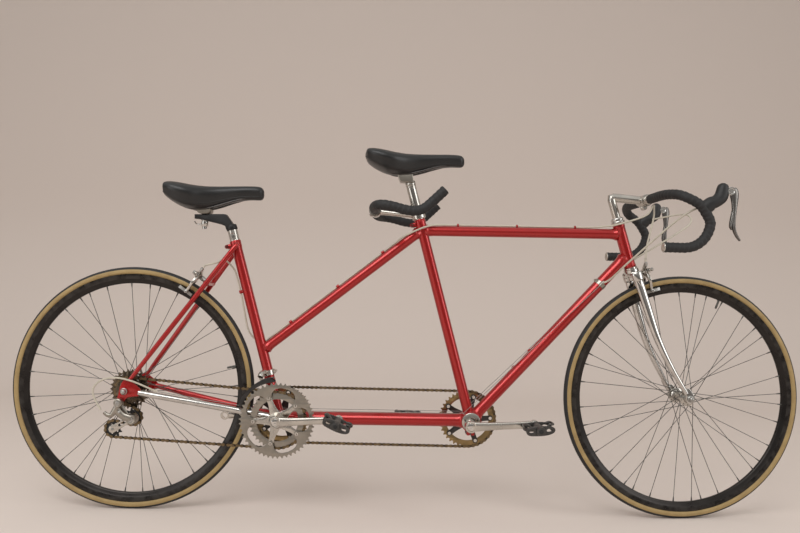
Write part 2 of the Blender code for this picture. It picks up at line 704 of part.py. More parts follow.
# Wheels. The tyre and the rim are turned rings with the same sides, so they nest.
def tyre(name, axle, parent):
    bead = RIM_OUTER_RADIUS + GAP
    crown = TYRE_OUTER_RADIUS - bead
    half = [
        (RIM_HALF_WIDTH * 0.9, bead),
        (TYRE_HALF_WIDTH, bead + crown * 0.36),
        (TYRE_HALF_WIDTH * 0.66, bead + crown * 0.85),
    ]
    profile = [(-y, r) for y, r in half] + [(0, TYRE_OUTER_RADIUS)] + list(reversed(half))
    return add_object(name, turned(axle, Y_AXIS, profile, WHEEL_SIDES, True, 0.0), TYRE_BLACK, axle, parent)


def rim(name, axle, valve_angle, parent):
    track = RIM_OUTER_RADIUS - BRAKE_TRACK_DEPTH
    half = [
        (RIM_HALF_WIDTH, RIM_OUTER_RADIUS),
        (RIM_HALF_WIDTH, track),
        (RIM_INNER_HALF_WIDTH, RIM_INNER_RADIUS),
    ]
    profile = [(-y, r) for y, r in half] + list(reversed(half))
    hoop = add_object(name, turned(axle, Y_AXIS, profile, WHEEL_SIDES, True, 0.0), DARK_ALLOY, axle, parent)
    inner = polar_place(axle, RIM_INNER_RADIUS - VALVE_LENGTH, valve_angle)
    outer = polar_place(axle, RIM_INNER_RADIUS + 0.002, valve_angle)
    join(hoop, rod(inner, outer, VALVE_RADIUS, count=6))
    return hoop


def spokes(bm, axle, flange_y, flange_radius, first_angle):
    """Half a wheel's spokes, laced tangent to the flange, heads in and heads out in turn."""
    rim_end = RIM_INNER_RADIUS * math.cos(math.pi / WHEEL_SIDES) - GAP
    count = SPOKE_COUNT // 2
    for k in range(count):
        hub_angle = first_angle + 360 * k / count
        turn = SPOKE_CROSS_ANGLE if k % 2 else -SPOKE_CROSS_ANGLE
        outside = SPOKE_HEAD_OFFSET if k % 2 else -SPOKE_HEAD_OFFSET
        x, z = polar(axle, flange_radius - 0.0035, hub_angle)
        start = point(x, flange_y + outside, z)
        x, z = polar(axle, rim_end, hub_angle + turn)
        end = point(x, math.copysign(RIM_INNER_HALF_WIDTH * 0.4, flange_y), z)
        rod(start, end, SPOKE_RADIUS, count=3, bm=bm)


def hub(name, axle, parent, flanges, barrel, flange_radius, profile_end):
    """A hub shell with both flanges, bored for its axle, and the spokes that leave it."""
    left, right = flanges
    half_flange = FLANGE_THICKNESS / 2
    low, high, end_radius = profile_end
    profile = [
        (low, end_radius),
        (right - half_flange, end_radius),
        (right - half_flange, flange_radius),
        (right + half_flange, flange_radius),
        (right + 0.008, barrel),
        (left - 0.008, barrel),
        (left - half_flange, flange_radius),
        (left + half_flange, flange_radius),
        (high, barrel),
    ]
    inside = (AXLE_RADIUS + GAP) / math.cos(math.pi / HUB_SIDES)
    profile += [(high, inside), (low, inside)]
    shell = add_object(name, turned(axle, Y_AXIS, profile, HUB_SIDES, True), SILVER, axle, parent)
    lacing = bmesh.new()
    spokes(lacing, axle, left, flange_radius, 4.0)
    spokes(lacing, axle, right, flange_radius, 14.0)
    join(shell, lacing)
    return shell


def axle_and_skewer(name, axle, width, mat, parent):
    """Axle with its locknuts, the skewer's nut on the right and the lever's seat on the left."""
    half = width / 2
    face = half + DROPOUT_THICKNESS + GAP
    profile = [
        (-face - SKEWER_NUT_LENGTH, SKEWER_NUT_RADIUS * 0.80),
        (-face, SKEWER_NUT_RADIUS),
        (-face, AXLE_RADIUS),
        (-half + GAP, AXLE_RADIUS),
        (-half + GAP, LOCKNUT_RADIUS),
        (-half + LOCKNUT_LENGTH, LOCKNUT_RADIUS),
        (-half + LOCKNUT_LENGTH, AXLE_RADIUS),
        (half - LOCKNUT_LENGTH, AXLE_RADIUS),
        (half - LOCKNUT_LENGTH, LOCKNUT_RADIUS),
        (half - GAP, LOCKNUT_RADIUS),
        (half - GAP, AXLE_RADIUS),
        (face, AXLE_RADIUS),
        (face, SKEWER_NUT_RADIUS),
        (face + 0.006, SKEWER_NUT_RADIUS * 0.9),
    ]
    return add_object(name, turned(axle, Y_AXIS, profile, 8), mat, axle, parent)


def qr_lever(name, axle, width, direction, parent):
    """The cam and its lever, hinged across the skewer on the left of the hub."""
    seat = width / 2 + DROPOUT_THICKNESS + GAP + 0.006
    cam = axle + Y_AXIS * (seat + GAP + CAM_RADIUS)
    across = direction.cross(Y_AXIS).normalized()
    half = across * 0.0085
    lever = add_object(name, rod(cam - half, cam + half, CAM_RADIUS, count=12), CHROME, cam, parent)
    lengths = [0.0, 0.35, 0.7, 1.0]
    bends = [0.0, 0.0035, 0.0025, -0.003]
    widths = [(0.0050, 0.0035), (0.0048, 0.0026), (0.0060, 0.0024), (0.0048, 0.0018)]
    path = [
        cam + direction * (QR_LEVER_LENGTH * share) + Y_AXIS * bend
        for share, bend in zip(lengths, bends)
    ]
    blade = bmesh.new()
    rings = [
        ring(place, across, Y_AXIS, width_, height, 8) for place, (width_, height) in zip(path, widths)
    ]
    join(lever, loft(blade, rings))
    return lever


tyre("rear_tyre", REAR_AXLE, None)
rim("rear_rim", REAR_AXLE, REAR_VALVE_ANGLE, None)
rear_end = (-REAR_HUB_WIDTH / 2 + LOCKNUT_LENGTH + GAP, REAR_HUB_WIDTH / 2 - LOCKNUT_LENGTH - GAP, FREEHUB_RADIUS)
rear_flanges = (REAR_FLANGE_LEFT_Y, REAR_FLANGE_RIGHT_Y)
hub("rear_hub_and_spokes", REAR_AXLE, None, rear_flanges, REAR_BARREL_RADIUS, REAR_FLANGE_RADIUS, rear_end)
axle_and_skewer("rear_axle", REAR_AXLE, REAR_HUB_WIDTH, STEEL, None)
REAR_LEVER_WAY = point(-0.35, 0, 0.94).normalized()
qr_lever("rear_quick_release_lever", REAR_AXLE, REAR_HUB_WIDTH, REAR_LEVER_WAY, None)

tyre("front_tyre", FRONT_AXLE, steering)
rim("front_rim", FRONT_AXLE, FRONT_VALVE_ANGLE, steering)
front_end = FRONT_HUB_WIDTH / 2 - LOCKNUT_LENGTH - GAP
hub(
    "front_hub_and_spokes",
    FRONT_AXLE,
    steering,
    (FRONT_FLANGE_Y, -FRONT_FLANGE_Y),
    FRONT_BARREL_RADIUS,
    FRONT_FLANGE_RADIUS,
    (-front_end, front_end, FRONT_BARREL_RADIUS),
)
axle_and_skewer("front_axle", FRONT_AXLE, FRONT_HUB_WIDTH, STEEL, steering)
FRONT_LEVER_WAY = (HEAD_UP * 0.97 - HEAD_FORWARD * 0.24).normalized()
qr_lever("front_quick_release_lever", FRONT_AXLE, FRONT_HUB_WIDTH, FRONT_LEVER_WAY, steering)


# Cassette: eight toothed cogs on one core, bored for the freehub.
def cassette():
    first = CASSETTE_OUTER_Y
    last = first + CASSETTE_SPACING * (len(CASSETTE_TEETH) - 1)
    side = Y_AXIS * (COG_HALF_THICKNESS + 0.0008)
    core = rod(REAR_AXLE + Y_AXIS * first - side, REAR_AXLE + Y_AXIS * last + side, COG_CORE_RADIUS, count=12)
    body = add_object("cassette", core, COG_STEEL, REAR_AXLE)
    for k, teeth in enumerate(CASSETTE_TEETH):
        middle = first + CASSETTE_SPACING * k
        outline = round_sprocket(REAR_AXLE, teeth, round(teeth / 2) + 4)
        if teeth == DRIVE_COG_TEETH:
            outline = toothed(REAR_AXLE, teeth)
        join(body, plate([outline], middle - COG_HALF_THICKNESS, middle + COG_HALF_THICKNESS))
    reach = Y_AXIS * REAR_HUB_WIDTH
    cut(body, bore(REAR_AXLE - reach, REAR_AXLE + reach, FREEHUB_RADIUS, 12))
    return body


cassette()
DRIVE_COG_Y = CASSETTE_OUTER_Y + CASSETTE_SPACING * CASSETTE_TEETH.index(DRIVE_COG_TEETH)


# Cranks. Each arm is a tapered bar between its boss and its pedal eye.
def crank_way(side):
    """The way an arm points: the right arms forward, the left arms back."""
    angle = math.radians(CRANK_ANGLE)
    forward = point(math.cos(angle), 0, math.sin(angle))
    return forward if side < 0 else -forward


def crank_arm_shape(centre, side):
    way = crank_way(side)
    across = way.cross(Y_AXIS).normalized()
    inner = side * (CRANK_OUTER_Y - CRANK_THICKNESS)
    middle = Y_AXIS * (inner + side * CRANK_THICKNESS / 2)
    half = Y_AXIS * (CRANK_THICKNESS / 2)
    stations = [(0.0, 0.0150), (0.12, 0.0130), (0.34, 0.0102), (0.70, 0.0098), (1.0, 0.0118)]
    rings = []
    for share, width in stations:
        place = centre + middle + way * (CRANK_LENGTH * share)
        ease = half * 0.55
        rings.append(
            [
                place - half + across * width * 0.8,
                place - ease + across * width,
                place + ease + across * width,
                place + half + across * width * 0.8,
                place + half - across * width * 0.8,
                place + ease - across * width,
                place - ease - across * width,
                place - half - across * width * 0.8,
            ]
        )
    return loft(bmesh.new(), rings)


def crank_end_shapes(centre, side):
    way = crank_way(side)
    inner = side * (CRANK_OUTER_Y - CRANK_THICKNESS)
    outer = side * CRANK_OUTER_Y
    eye = centre + way * CRANK_LENGTH
    eye_shape = rod(eye + Y_AXIS * inner, eye + Y_AXIS * outer, CRANK_EYE_RADIUS, count=14)
    eye_bore = bore(eye + Y_AXIS * inner * 0.9, eye + Y_AXIS * outer * 1.1, PEDAL_AXLE_RADIUS, 10)
    return eye_shape, eye_bore


def five_windows(centre, inner, outer, first_angle, inner_spread, outer_spread):
    """The openings between the five arms of a spider."""
    found = []
    for k in range(5):
        middle = first_angle + 36 + 72 * k
        loop = [polar(centre, outer, middle + share * outer_spread) for share in (1.0, 0.0, -1.0)]
        loop += [polar(centre, inner, middle - inner_spread), polar(centre, inner, middle + inner_spread)]
        found.append(loop)
    return found


def timing_crankset(name, centre):
    """Left arm, spindle, spider and timing ring, bolted up as one."""
    start = centre - Y_AXIS * (CRANK_OUTER_Y - CRANK_CAP_DEPTH - GAP)
    end = centre + Y_AXIS * (CRANK_OUTER_Y - 0.001)
    set_ = add_object(name, rod(start, end, SPINDLE_RADIUS, count=12), SILVER, centre)
    boss_start = centre + Y_AXIS * (SHELL_WIDTH / 2 + 0.004)
    join(set_, rod(boss_start, centre + Y_AXIS * CRANK_OUTER_Y, CRANK_BOSS_RADIUS))
    join(set_, crank_arm_shape(centre, 1))
    eye, eye_hole = crank_end_shapes(centre, 1)
    join(set_, eye)
    loops = [round_sprocket(centre, TIMING_TEETH, TIMING_TEETH)]
    loops += five_windows(centre, 0.024, 0.061, CRANK_ANGLE, 14.0, 24.0)
    join(set_, plate(loops, TIMING_Y - RING_HALF_THICKNESS, TIMING_Y + RING_HALF_THICKNESS))
    cut(set_, eye_hole)
    return set_


def right_crank(name, centre, first_angle=None):
    """Right arm, bored for the spindle, with a five-arm spider if it carries chainrings."""
    inner_end = -(SHELL_WIDTH / 2 + 0.004)
    boss = rod(centre + Y_AXIS * inner_end, centre - Y_AXIS * CRANK_OUTER_Y, CRANK_BOSS_RADIUS)
    arm = add_object(name, boss, SILVER, centre)
    join(arm, crank_arm_shape(centre, -1))
    eye, eye_hole = crank_end_shapes(centre, -1)
    join(arm, eye)
    if first_angle is not None:
        low = OUTER_RING_Y + RING_HALF_THICKNESS + GAP
        high = INNER_RING_Y - RING_HALF_THICKNESS - GAP
        outline = []
        for k in range(5):
            middle = first_angle + 72 * k
            outline.append(polar(centre, 0.020, middle - 36))
            outline.append(polar(centre, BOLT_CIRCLE_RADIUS - 0.006, middle - 9))
            outline.append(polar(centre, BOLT_CIRCLE_RADIUS + SPIDER_TAB_REACH, middle - 5))
            outline.append(polar(centre, BOLT_CIRCLE_RADIUS + SPIDER_TAB_REACH, middle + 5))
            outline.append(polar(centre, BOLT_CIRCLE_RADIUS - 0.006, middle + 9))
        holes = []
        for k in range(5):
            x, z = polar(centre, BOLT_CIRCLE_RADIUS, first_angle + 72 * k)
            holes.append(circle(point(x, 0, z), RING_BOLT_HOLE, 6))
        join(arm, plate([outline, *holes], low, high))
    cut(arm, eye_hole)
    bore_end = centre - Y_AXIS * (CRANK_OUTER_Y - CRANK_CAP_DEPTH)
    cut(arm, bore(centre + Y_AXIS * 0.01, bore_end, SPINDLE_RADIUS, 12))
    return arm


timing_crankset("captain_timing_crankset", CAPTAIN_BB)
right_crank("captain_right_crank", CAPTAIN_BB)
timing_crankset("stoker_timing_crankset", STOKER_BB)
SPIDER_ANGLE = CRANK_ANGLE + 36.0
right_crank("stoker_right_crank", STOKER_BB, SPIDER_ANGLE)


def chainrings():
    """Both chainrings, held together by five bolts through the spider."""
    loop = []
    for k in range(5):
        middle = SPIDER_ANGLE + 72 * k
        loop.append(polar(STOKER_BB, 0.090, middle - 36))
        loop.append(polar(STOKER_BB, 0.089, middle - 22))
        loop.append(polar(STOKER_BB, BOLT_CIRCLE_RADIUS - 0.008, middle - 7))
        loop.append(polar(STOKER_BB, BOLT_CIRCLE_RADIUS - 0.008, middle + 7))
        loop.append(polar(STOKER_BB, 0.089, middle + 22))
    outer = [toothed(STOKER_BB, OUTER_RING_TEETH), loop]
    low = OUTER_RING_Y - RING_HALF_THICKNESS
    high = OUTER_RING_Y + RING_HALF_THICKNESS
    rings = add_object("drive_chainrings", plate(outer, low, high), SILVER, STOKER_BB)
    inner_loop = circle(STOKER_BB, BOLT_CIRCLE_RADIUS - 0.008, 20)
    inner = [round_sprocket(STOKER_BB, INNER_RING_TEETH, INNER_RING_TEETH), inner_loop]
    join(rings, plate(inner, INNER_RING_Y - RING_HALF_THICKNESS, INNER_RING_Y + RING_HALF_THICKNESS))
    bolts = bmesh.new()
    for k in range(5):
        x, z = polar(STOKER_BB, BOLT_CIRCLE_RADIUS, SPIDER_ANGLE + 72 * k)
        bolt = point(x, 0, z)
        head = Y_AXIS * (OUTER_RING_Y - RING_HALF_THICKNESS - 0.001)
        rod(bolt + head, bolt + Y_AXIS * INNER_RING_Y, RING_BOLT_RADIUS, count=6, bm=bolts)
    join(rings, bolts)
    return rings


chainrings()


# Pedals: an axle in the crank's eye, a round body and two cage plates.
def pedal(name, centre, side, tilt):
    eye = centre + crank_way(side) * CRANK_LENGTH
    start = eye + Y_AXIS * side * (PEDAL_Y + 0.0015)
    shoulder = side * (CRANK_OUTER_Y + GAP)
    tip = side * (CRANK_OUTER_Y + 0.010 + PEDAL_BODY_LENGTH)
    body = add_object(name, rod(start, eye + Y_AXIS * tip, PEDAL_AXLE_RADIUS, count=8), STEEL, eye)
    join(body, rod(eye + Y_AXIS * shoulder, eye + Y_AXIS * tip * 1.03, 0.0115, 0.0125, count=8))
    turn = Matrix.Translation(eye) @ Matrix.Rotation(math.radians(tilt), 4, "Y")
    cage_start = CRANK_OUTER_Y + 0.016
    for first, last in ((cage_start, cage_start + 0.010), (cage_start + 0.058, cage_start + 0.070)):
        low, high = sorted((side * first, side * last))
        outline = [
            (-PEDAL_CAGE_HALF_LENGTH, -0.007),
            (-0.012, -0.0135),
            (0.012, -0.0135),
            (PEDAL_CAGE_HALF_LENGTH, -0.006),
            (PEDAL_CAGE_HALF_LENGTH * 0.92, 0.0095),
            (0.015, 0.0125),
            (-0.015, 0.0125),
            (-PEDAL_CAGE_HALF_LENGTH, 0.009),
        ]
        join(body, plate([outline], low, high, place=turn))
    for end in (-1, 1):
        bar_x = end * (PEDAL_CAGE_HALF_LENGTH - 0.006)
        low, high = sorted((side * (cage_start + 0.004), side * (cage_start + 0.066)))
        bar = box_between(point(bar_x - 0.004, low, -0.005), point(bar_x + 0.004, high, 0.006), place=turn)
        join(body, bar)
    return body


pedal("captain_right_pedal", CAPTAIN_BB, -1, CAPTAIN_PEDAL_TILT)
pedal("captain_left_pedal", CAPTAIN_BB, 1, -CAPTAIN_PEDAL_TILT)
pedal("stoker_right_pedal", STOKER_BB, -1, STOKER_PEDAL_TILT)


# Chains. The route goes round each wheel in turn and straight between them.
def tangent_route(wheels):
    """Arc and straight points round (centre, signed radius, Y) wheels: negative turns the other way."""
    spans = []
    count = len(wheels)
    for k in range(count):
        (a, ra, _), (b, rb, _) = wheels[k], wheels[(k + 1) % count]
        between = point(b.x - a.x, 0, b.z - a.z)
        length = between.length
        along = between / length
        normal = point(along.z, 0, -along.x)
        lean = (ra - rb) / length
        out = along * lean - normal * math.sqrt(1 - lean * lean)
        spans.append((point(a.x, 0, a.z) + out * ra, point(b.x, 0, b.z) + out * rb))
    found = []
    for k in range(count):
        centre, radius, y = wheels[k]
        arrive = spans[k - 1][1]
        leave = spans[k][0]
        centre = point(centre.x, 0, centre.z)
        first = math.atan2((arrive - centre).z, (arrive - centre).x)
        last = math.atan2((leave - centre).z, (leave - centre).x)
        turn = (last - first) % (2 * math.pi)
        if radius > 0:
            turn -= 2 * math.pi
        links = abs(turn * radius) / CHAIN_PITCH
        steps = max(round(links / LINKS_A_FACET), round(abs(turn) / math.radians(WRAP_FACET)))
        reach = abs(radius) / math.sqrt(math.cos(turn / steps / 2))
        for n in range(steps + 1):
            angle = first + turn * n / steps
            place = centre + point(math.cos(angle), 0, math.sin(angle)) * reach
            found.append(place + Y_AXIS * y)
    return found


def chain(name, wheels):
    """One closed band, bent link by link on its sprockets and grooved where it sits on their teeth."""
    route = tangent_route([(centre, radius, y) for centre, radius, y, _ in wheels])
    rings = []
    for k, place in enumerate(route):
        before = (place - route[k - 1]).normalized()
        after = (route[(k + 1) % len(route)] - place).normalized()
        up = (before + after).normalized().cross(Y_AXIS).normalized()
        tall = up * CHAIN_HALF_HEIGHT
        wide = Y_AXIS * CHAIN_HALF_WIDTH
        rings.append([place - wide - tall, place + wide - tall, place + wide + tall, place - wide + tall])
    band = add_object(name, loft(bmesh.new(), rings, closed=True), CHAIN_BROWN)
    for centre, radius, y, half_thickness in wheels:
        half = Y_AXIS * (half_thickness + GAP)
        place = point(centre.x, y, centre.z)
        sides = round(8 + abs(radius) * 280)
        cut(band, bore(place - half, place + half, abs(radius) + TOOTH_ABOVE_PITCH, sides))
    return band


timing_radius = pitch_radius(TIMING_TEETH)
chain(
    "timing_chain",
    [
        (STOKER_BB, timing_radius, TIMING_Y, RING_HALF_THICKNESS),
        (CAPTAIN_BB, timing_radius, TIMING_Y, RING_HALF_THICKNESS),
    ],
)
GUIDE_PULLEY = REAR_AXLE + point(GUIDE_PULLEY_FORWARD, DRIVE_COG_Y, -GUIDE_PULLEY_DOWN)
TENSION_PULLEY = REAR_AXLE + point(-TENSION_PULLEY_BACK, DRIVE_COG_Y, -TENSION_PULLEY_DOWN)
pulley_radius = pitch_radius(PULLEY_TEETH)
chain(
    "drive_chain",
    [
        (REAR_AXLE, pitch_radius(DRIVE_COG_TEETH), DRIVE_COG_Y, COG_HALF_THICKNESS),
        (STOKER_BB, pitch_radius(INNER_RING_TEETH), INNER_RING_Y, RING_HALF_THICKNESS),
        (TENSION_PULLEY, pulley_radius, DRIVE_COG_Y, PULLEY_HALF_THICKNESS),
        (GUIDE_PULLEY, -pulley_radius, DRIVE_COG_Y, PULLEY_HALF_THICKNESS),
    ],
)


# Rear derailleur: the outer knuckles and parallelogram, and the sprung cage with its two pulleys.
HANGER = REAR_AXLE + point(-HANGER_BACK, 0, -HANGER_DOWN)
MECH_OUTER_Y = -(REAR_HUB_WIDTH / 2 + DROPOUT_THICKNESS + GAP)
CAGE_PIVOT = GUIDE_PULLEY + point(0.005, -DRIVE_COG_Y, -0.001)


def rear_derailleur():
    start = point(HANGER.x, MECH_OUTER_Y, HANGER.z)
    head = rod(start, start - Y_AXIS * 0.016, 0.0125, 0.011, 12)
    body = add_object("rear_derailleur", head, SILVER, HANGER)
    bolt = start + Y_AXIS * (DROPOUT_THICKNESS - GAP)
    join(body, rod(bolt, start - Y_AXIS * 0.002, AXLE_RADIUS, count=8))
    arm = [
        start + point(-0.002, -0.008, -0.002),
        start + point(-0.012, -0.008, -0.026),
        start + point(-0.024, -0.008, -0.035),
        start + point(-0.046, -0.008, -0.0215),
    ]
    join(body, swept(arm, [(0.006, 0.009), (0.005, 0.007), (0.0045, 0.006), (0.0042, 0.0042)], 8))
    link = [
        start + point(-0.012, -0.008, -0.018),
        start + point(0.008, -0.006, -0.034),
        point(CAGE_PIVOT.x, MECH_OUTER_Y - 0.002, CAGE_PIVOT.z),
    ]
    join(body, swept(link, [(0.0075, 0.0090), (0.0070, 0.0095), (0.0070, 0.0110)], 8))
    knuckle = point(CAGE_PIVOT.x, 0, CAGE_PIVOT.z)
    low = MECH_OUTER_Y - 0.011
    high = DRIVE_COG_Y - 0.0115
    join(body, rod(knuckle + Y_AXIS * low, knuckle + Y_AXIS * high, 0.0145, count=12))
    return body


def cage_plate(low, high):
    """One side plate of the cage, round both pulleys."""
    guide = point(GUIDE_PULLEY.x, 0, GUIDE_PULLEY.z)
    tension = point(TENSION_PULLEY.x, 0, TENSION_PULLEY.z)
    way = (tension - guide).normalized()
    lean = math.degrees(math.atan2(way.z, way.x))
    loop = [polar(guide, 0.0125, lean + turn) for turn in (70, 115, 160, 205, 250, 290)]
    loop += [polar(tension, 0.0105, lean + turn) for turn in (-70, -25, 25, 70)]
    return plate([loop], low, high)


def rear_cage():
    low = DRIVE_COG_Y - 0.0075
    inner_low = DRIVE_COG_Y + 0.0058
    cage = add_object(
        "rear_derailleur_cage", cage_plate(low - 0.0018, low), SILVER, point(CAGE_PIVOT.x, 0, CAGE_PIVOT.z)
    )
    join(cage, cage_plate(inner_low, inner_low + 0.0015))
    for centre in (GUIDE_PULLEY, TENSION_PULLEY):
        flat = point(centre.x, 0, centre.z)
        join(cage, rod(flat + Y_AXIS * (low - 0.001), flat + Y_AXIS * (inner_low + 0.001), 0.005, count=8))
        outline = round_sprocket(flat, PULLEY_TEETH, 14)
        join(cage, plate([outline], DRIVE_COG_Y - PULLEY_HALF_THICKNESS, DRIVE_COG_Y + PULLEY_HALF_THICKNESS))
    pivot = point(CAGE_PIVOT.x, 0, CAGE_PIVOT.z)
    hub_end = DRIVE_COG_Y - 0.0115 + GAP
    join(cage, rod(pivot + Y_AXIS * (low - 0.0018), pivot + Y_AXIS * hub_end, 0.0125, count=12))
    return cage


rear_derailleur()
rear_cage()

# Front derailleur: a band round the stoker's seat tube, a link, and a cage over the chainrings.
FRONT_BAND = STOKER_BB + SEAT_UP * 0.129
CAGE_LOW_RADIUS = pitch_radius(OUTER_RING_TEETH) + TOOTH_ABOVE_PITCH + 0.0015
CAGE_TOP_RADIUS = CAGE_LOW_RADIUS + FRONT_CAGE_HEIGHT + 0.0005


def front_derailleur():
    """The band and the link over the cage, which slides sideways under the link's foot."""
    start = FRONT_BAND - SEAT_UP * 0.007
    end = FRONT_BAND + SEAT_UP * 0.007
    band = add_object("front_derailleur_clamp", rod(start, end, SEAT_TUBE_RADIUS + 0.0045), SILVER, FRONT_BAND)
    arm = [
        FRONT_BAND + point(-0.006, -0.012, 0.0),
        FRONT_BAND + point(-0.010, -0.030, 0.002),
        FRONT_BAND + point(-0.0146, -0.0425, -0.010),
    ]
    join(band, swept(arm, [(0.009, 0.007), (0.008, 0.008), (0.008, 0.0076)], 8))
    cut(band, bore(STOKER_BB - Y_AXIS * 0.075, STOKER_BB - Y_AXIS * 0.018, CAGE_TOP_RADIUS, 48))
    cut(band, clearance_rod(STOKER_BB, STOKER_SEAT_TOP, SEAT_TUBE_RADIUS))
    return band


def arc_band(inner, outer, start, end, steps):
    loop = [polar(STOKER_BB, outer, start + (end - start) * n / steps) for n in range(steps + 1)]
    loop += [polar(STOKER_BB, inner, end + (start - end) * n / steps) for n in range(steps + 1)]
    return loop


def front_cage():
    low = CAGE_LOW_RADIUS
    high = low + FRONT_CAGE_HEIGHT
    outer_y = OUTER_RING_Y - 0.0012
    inner_y = INNER_RING_Y + 0.0065
    outline = arc_band(low, high, FRONT_CAGE_START_ANGLE, FRONT_CAGE_END_ANGLE, 8)
    pivot = STOKER_BB + point(0, 0, low)
    cage = add_object("front_derailleur_cage", plate([outline], outer_y - 0.0015, outer_y), CAGE_GREY, pivot)
    inner_outline = arc_band(low, CAGE_TOP_RADIUS, FRONT_CAGE_START_ANGLE, FRONT_CAGE_END_ANGLE, 8)
    join(cage, plate([inner_outline], inner_y, inner_y + 0.0015))
    bridge = arc_band(high - 0.002, CAGE_TOP_RADIUS, FRONT_CAGE_START_ANGLE, FRONT_CAGE_START_ANGLE + 20, 3)
    join(cage, plate([bridge], outer_y - 0.0010, inner_y + 0.001))
    tail = arc_band(high - 0.006, high - 0.003, FRONT_CAGE_END_ANGLE - 5, FRONT_CAGE_END_ANGLE, 1)
    join(cage, plate([tail], outer_y - 0.0010, inner_y + 0.001))
    return cage


front_derailleur()
front_cage()

# Steering: fork, headset, stem and drop bar. All of this is built straight ahead.
CROWN_HALF_WIDTH = 0.032
BLADE_RADIUS = 0.0100


def fork_blade_path(side):
    """The side view of a blade: straight from the crown, then curved forward to the axle."""
    found = []
    bend_from = 0.42
    for share in (0.0, 0.22, 0.42, 0.58, 0.72, 0.85, 0.955):
        down = HEAD_UP * (-FORK_LENGTH * share - 0.012 * (1 - share))
        curve = max(0.0, (share - bend_from) / (1 - bend_from))
        forward = HEAD_FORWARD * (FORK_RAKE * (0.10 * share + 0.90 * curve**1.7))
        y = CROWN_HALF_WIDTH + (FORK_TIP_Y - CROWN_HALF_WIDTH) * min(1.0, share * 1.12)
        found.append(CROWN_SEAT + down + forward + Y_AXIS * (side * y))
    return found


def fork():
    crown_low = CROWN_SEAT - HEAD_UP * 0.026
    steerer_top = HEAD_HIGH + HEAD_UP * (UPPER_STACK - 0.002)
    body = add_object("fork", rod(crown_low, CROWN_SEAT, 0.0165, 0.0175, 10), CHROME, CROWN_SEAT, steering)
    join(body, rod(CROWN_SEAT - HEAD_UP * 0.01, steerer_top, STEERER_RADIUS, count=12))
    race = [
        (-0.004, HEADSET_RADIUS),
        (LOWER_STACK * 0.45, HEADSET_RADIUS),
        (LOWER_STACK - GAP, HEADSET_RADIUS - 0.0020),
    ]
    join(body, turned(CROWN_SEAT, HEAD_UP, race, 12))
    crown = [
        CROWN_SEAT - HEAD_UP * 0.016 - Y_AXIS * (CROWN_HALF_WIDTH + 0.006),
        CROWN_SEAT - HEAD_UP * 0.010,
        CROWN_SEAT - HEAD_UP * 0.016 + Y_AXIS * (CROWN_HALF_WIDTH + 0.006),
    ]
    join(body, swept(crown, [(0.0105, 0.008), (0.0145, 0.009), (0.0105, 0.008)], 10))
    for side in (-1, 1):
        path = fork_blade_path(side)
        sizes = [(0.0088, 0.0128), (0.0088, 0.0126), (0.0083, 0.0114), (0.0077, 0.0098)]
        sizes += [(0.0070, 0.0082), (0.0061, 0.0070), (0.0048, 0.0060)]
        join(body, swept(path, sizes, 8))
        inner = side * FRONT_HUB_WIDTH / 2
        outer = inner + side * DROPOUT_THICKNESS
        axle = FRONT_AXLE
        tab = [
            (axle.x - 0.013, axle.z + 0.030),
            (axle.x - 0.004, axle.z + 0.031),
            (axle.x + 0.010, axle.z + 0.012),
            (axle.x + 0.012, axle.z - 0.002),
            (axle.x + 0.006, axle.z - 0.013),
            (axle.x - 0.007, axle.z - 0.013),
            (axle.x - 0.013, axle.z - 0.002),
        ]
        join(body, plate([tab], min(inner, outer), max(inner, outer)))
        hole = axle + Y_AXIS * (inner - side * 0.004)
        cut(body, bore(hole, hole + Y_AXIS * side * 0.02, AXLE_RADIUS, 12))
    cut(body, bore(HEAD_LOW, steerer_top + HEAD_UP * 0.01, QUILL_RADIUS, 12))
    return body


fork_body = fork()

upper_cup = [
    (GAP, HEADSET_RADIUS - 0.0015),
    (UPPER_STACK * 0.35, HEADSET_RADIUS + 0.001),
    (UPPER_STACK * 0.50, HEADSET_RADIUS + 0.001),
    (UPPER_STACK * 0.55, HEADSET_RADIUS - 0.0025),
    (UPPER_STACK - 0.004, HEADSET_RADIUS - 0.0015),
    (UPPER_STACK, HEADSET_RADIUS - 0.003),
    (UPPER_STACK, STEERER_RADIUS + GAP),
    (GAP, STEERER_RADIUS + GAP),
]
add_object(
    "headset_upper_race", turned(HEAD_HIGH, HEAD_UP, upper_cup, 12, True), CHROME, CROWN_SEAT, steering
)

STEM_TOP = HEAD_HIGH + HEAD_UP * (UPPER_STACK + STEM_HEIGHT)
BAR = STEM_TOP + point(STEM_REACH, 0, -STEM_DROP)


def stem():
    quill_low = HEAD_LOW + HEAD_UP * 0.030
    quill = rod(quill_low, STEM_TOP + HEAD_UP * 0.004, QUILL_RADIUS, count=12)
    body = add_object("stem", quill, SILVER, CROWN_SEAT, steering)
    start = STEM_TOP - X_AXIS * 0.004
    join(body, swept([start, BAR - X_AXIS * 0.004], [(0.0110, 0.0125), (0.0100, 0.0115)], 12))
    half = Y_AXIS * CLAMP_HALF_WIDTH
    join(body, rod(BAR - half, BAR + half, BAR_RADIUS + GAP + CLAMP_WALL, count=14))
    ear_place = BAR + point(-0.002, 0, -BAR_RADIUS - 0.008)
    join(body, rod(ear_place - half * 0.5, ear_place + half * 0.5, 0.0065, count=10))
    cut(body, bore(BAR - half * 2, BAR + half * 2, BAR_RADIUS, 14))
    return body


stem()
DROP_CENTRE = BAR + point(BAR_DROP_CENTRE_FORWARD, 0, -BAR_DROP_CENTRE_DOWN)


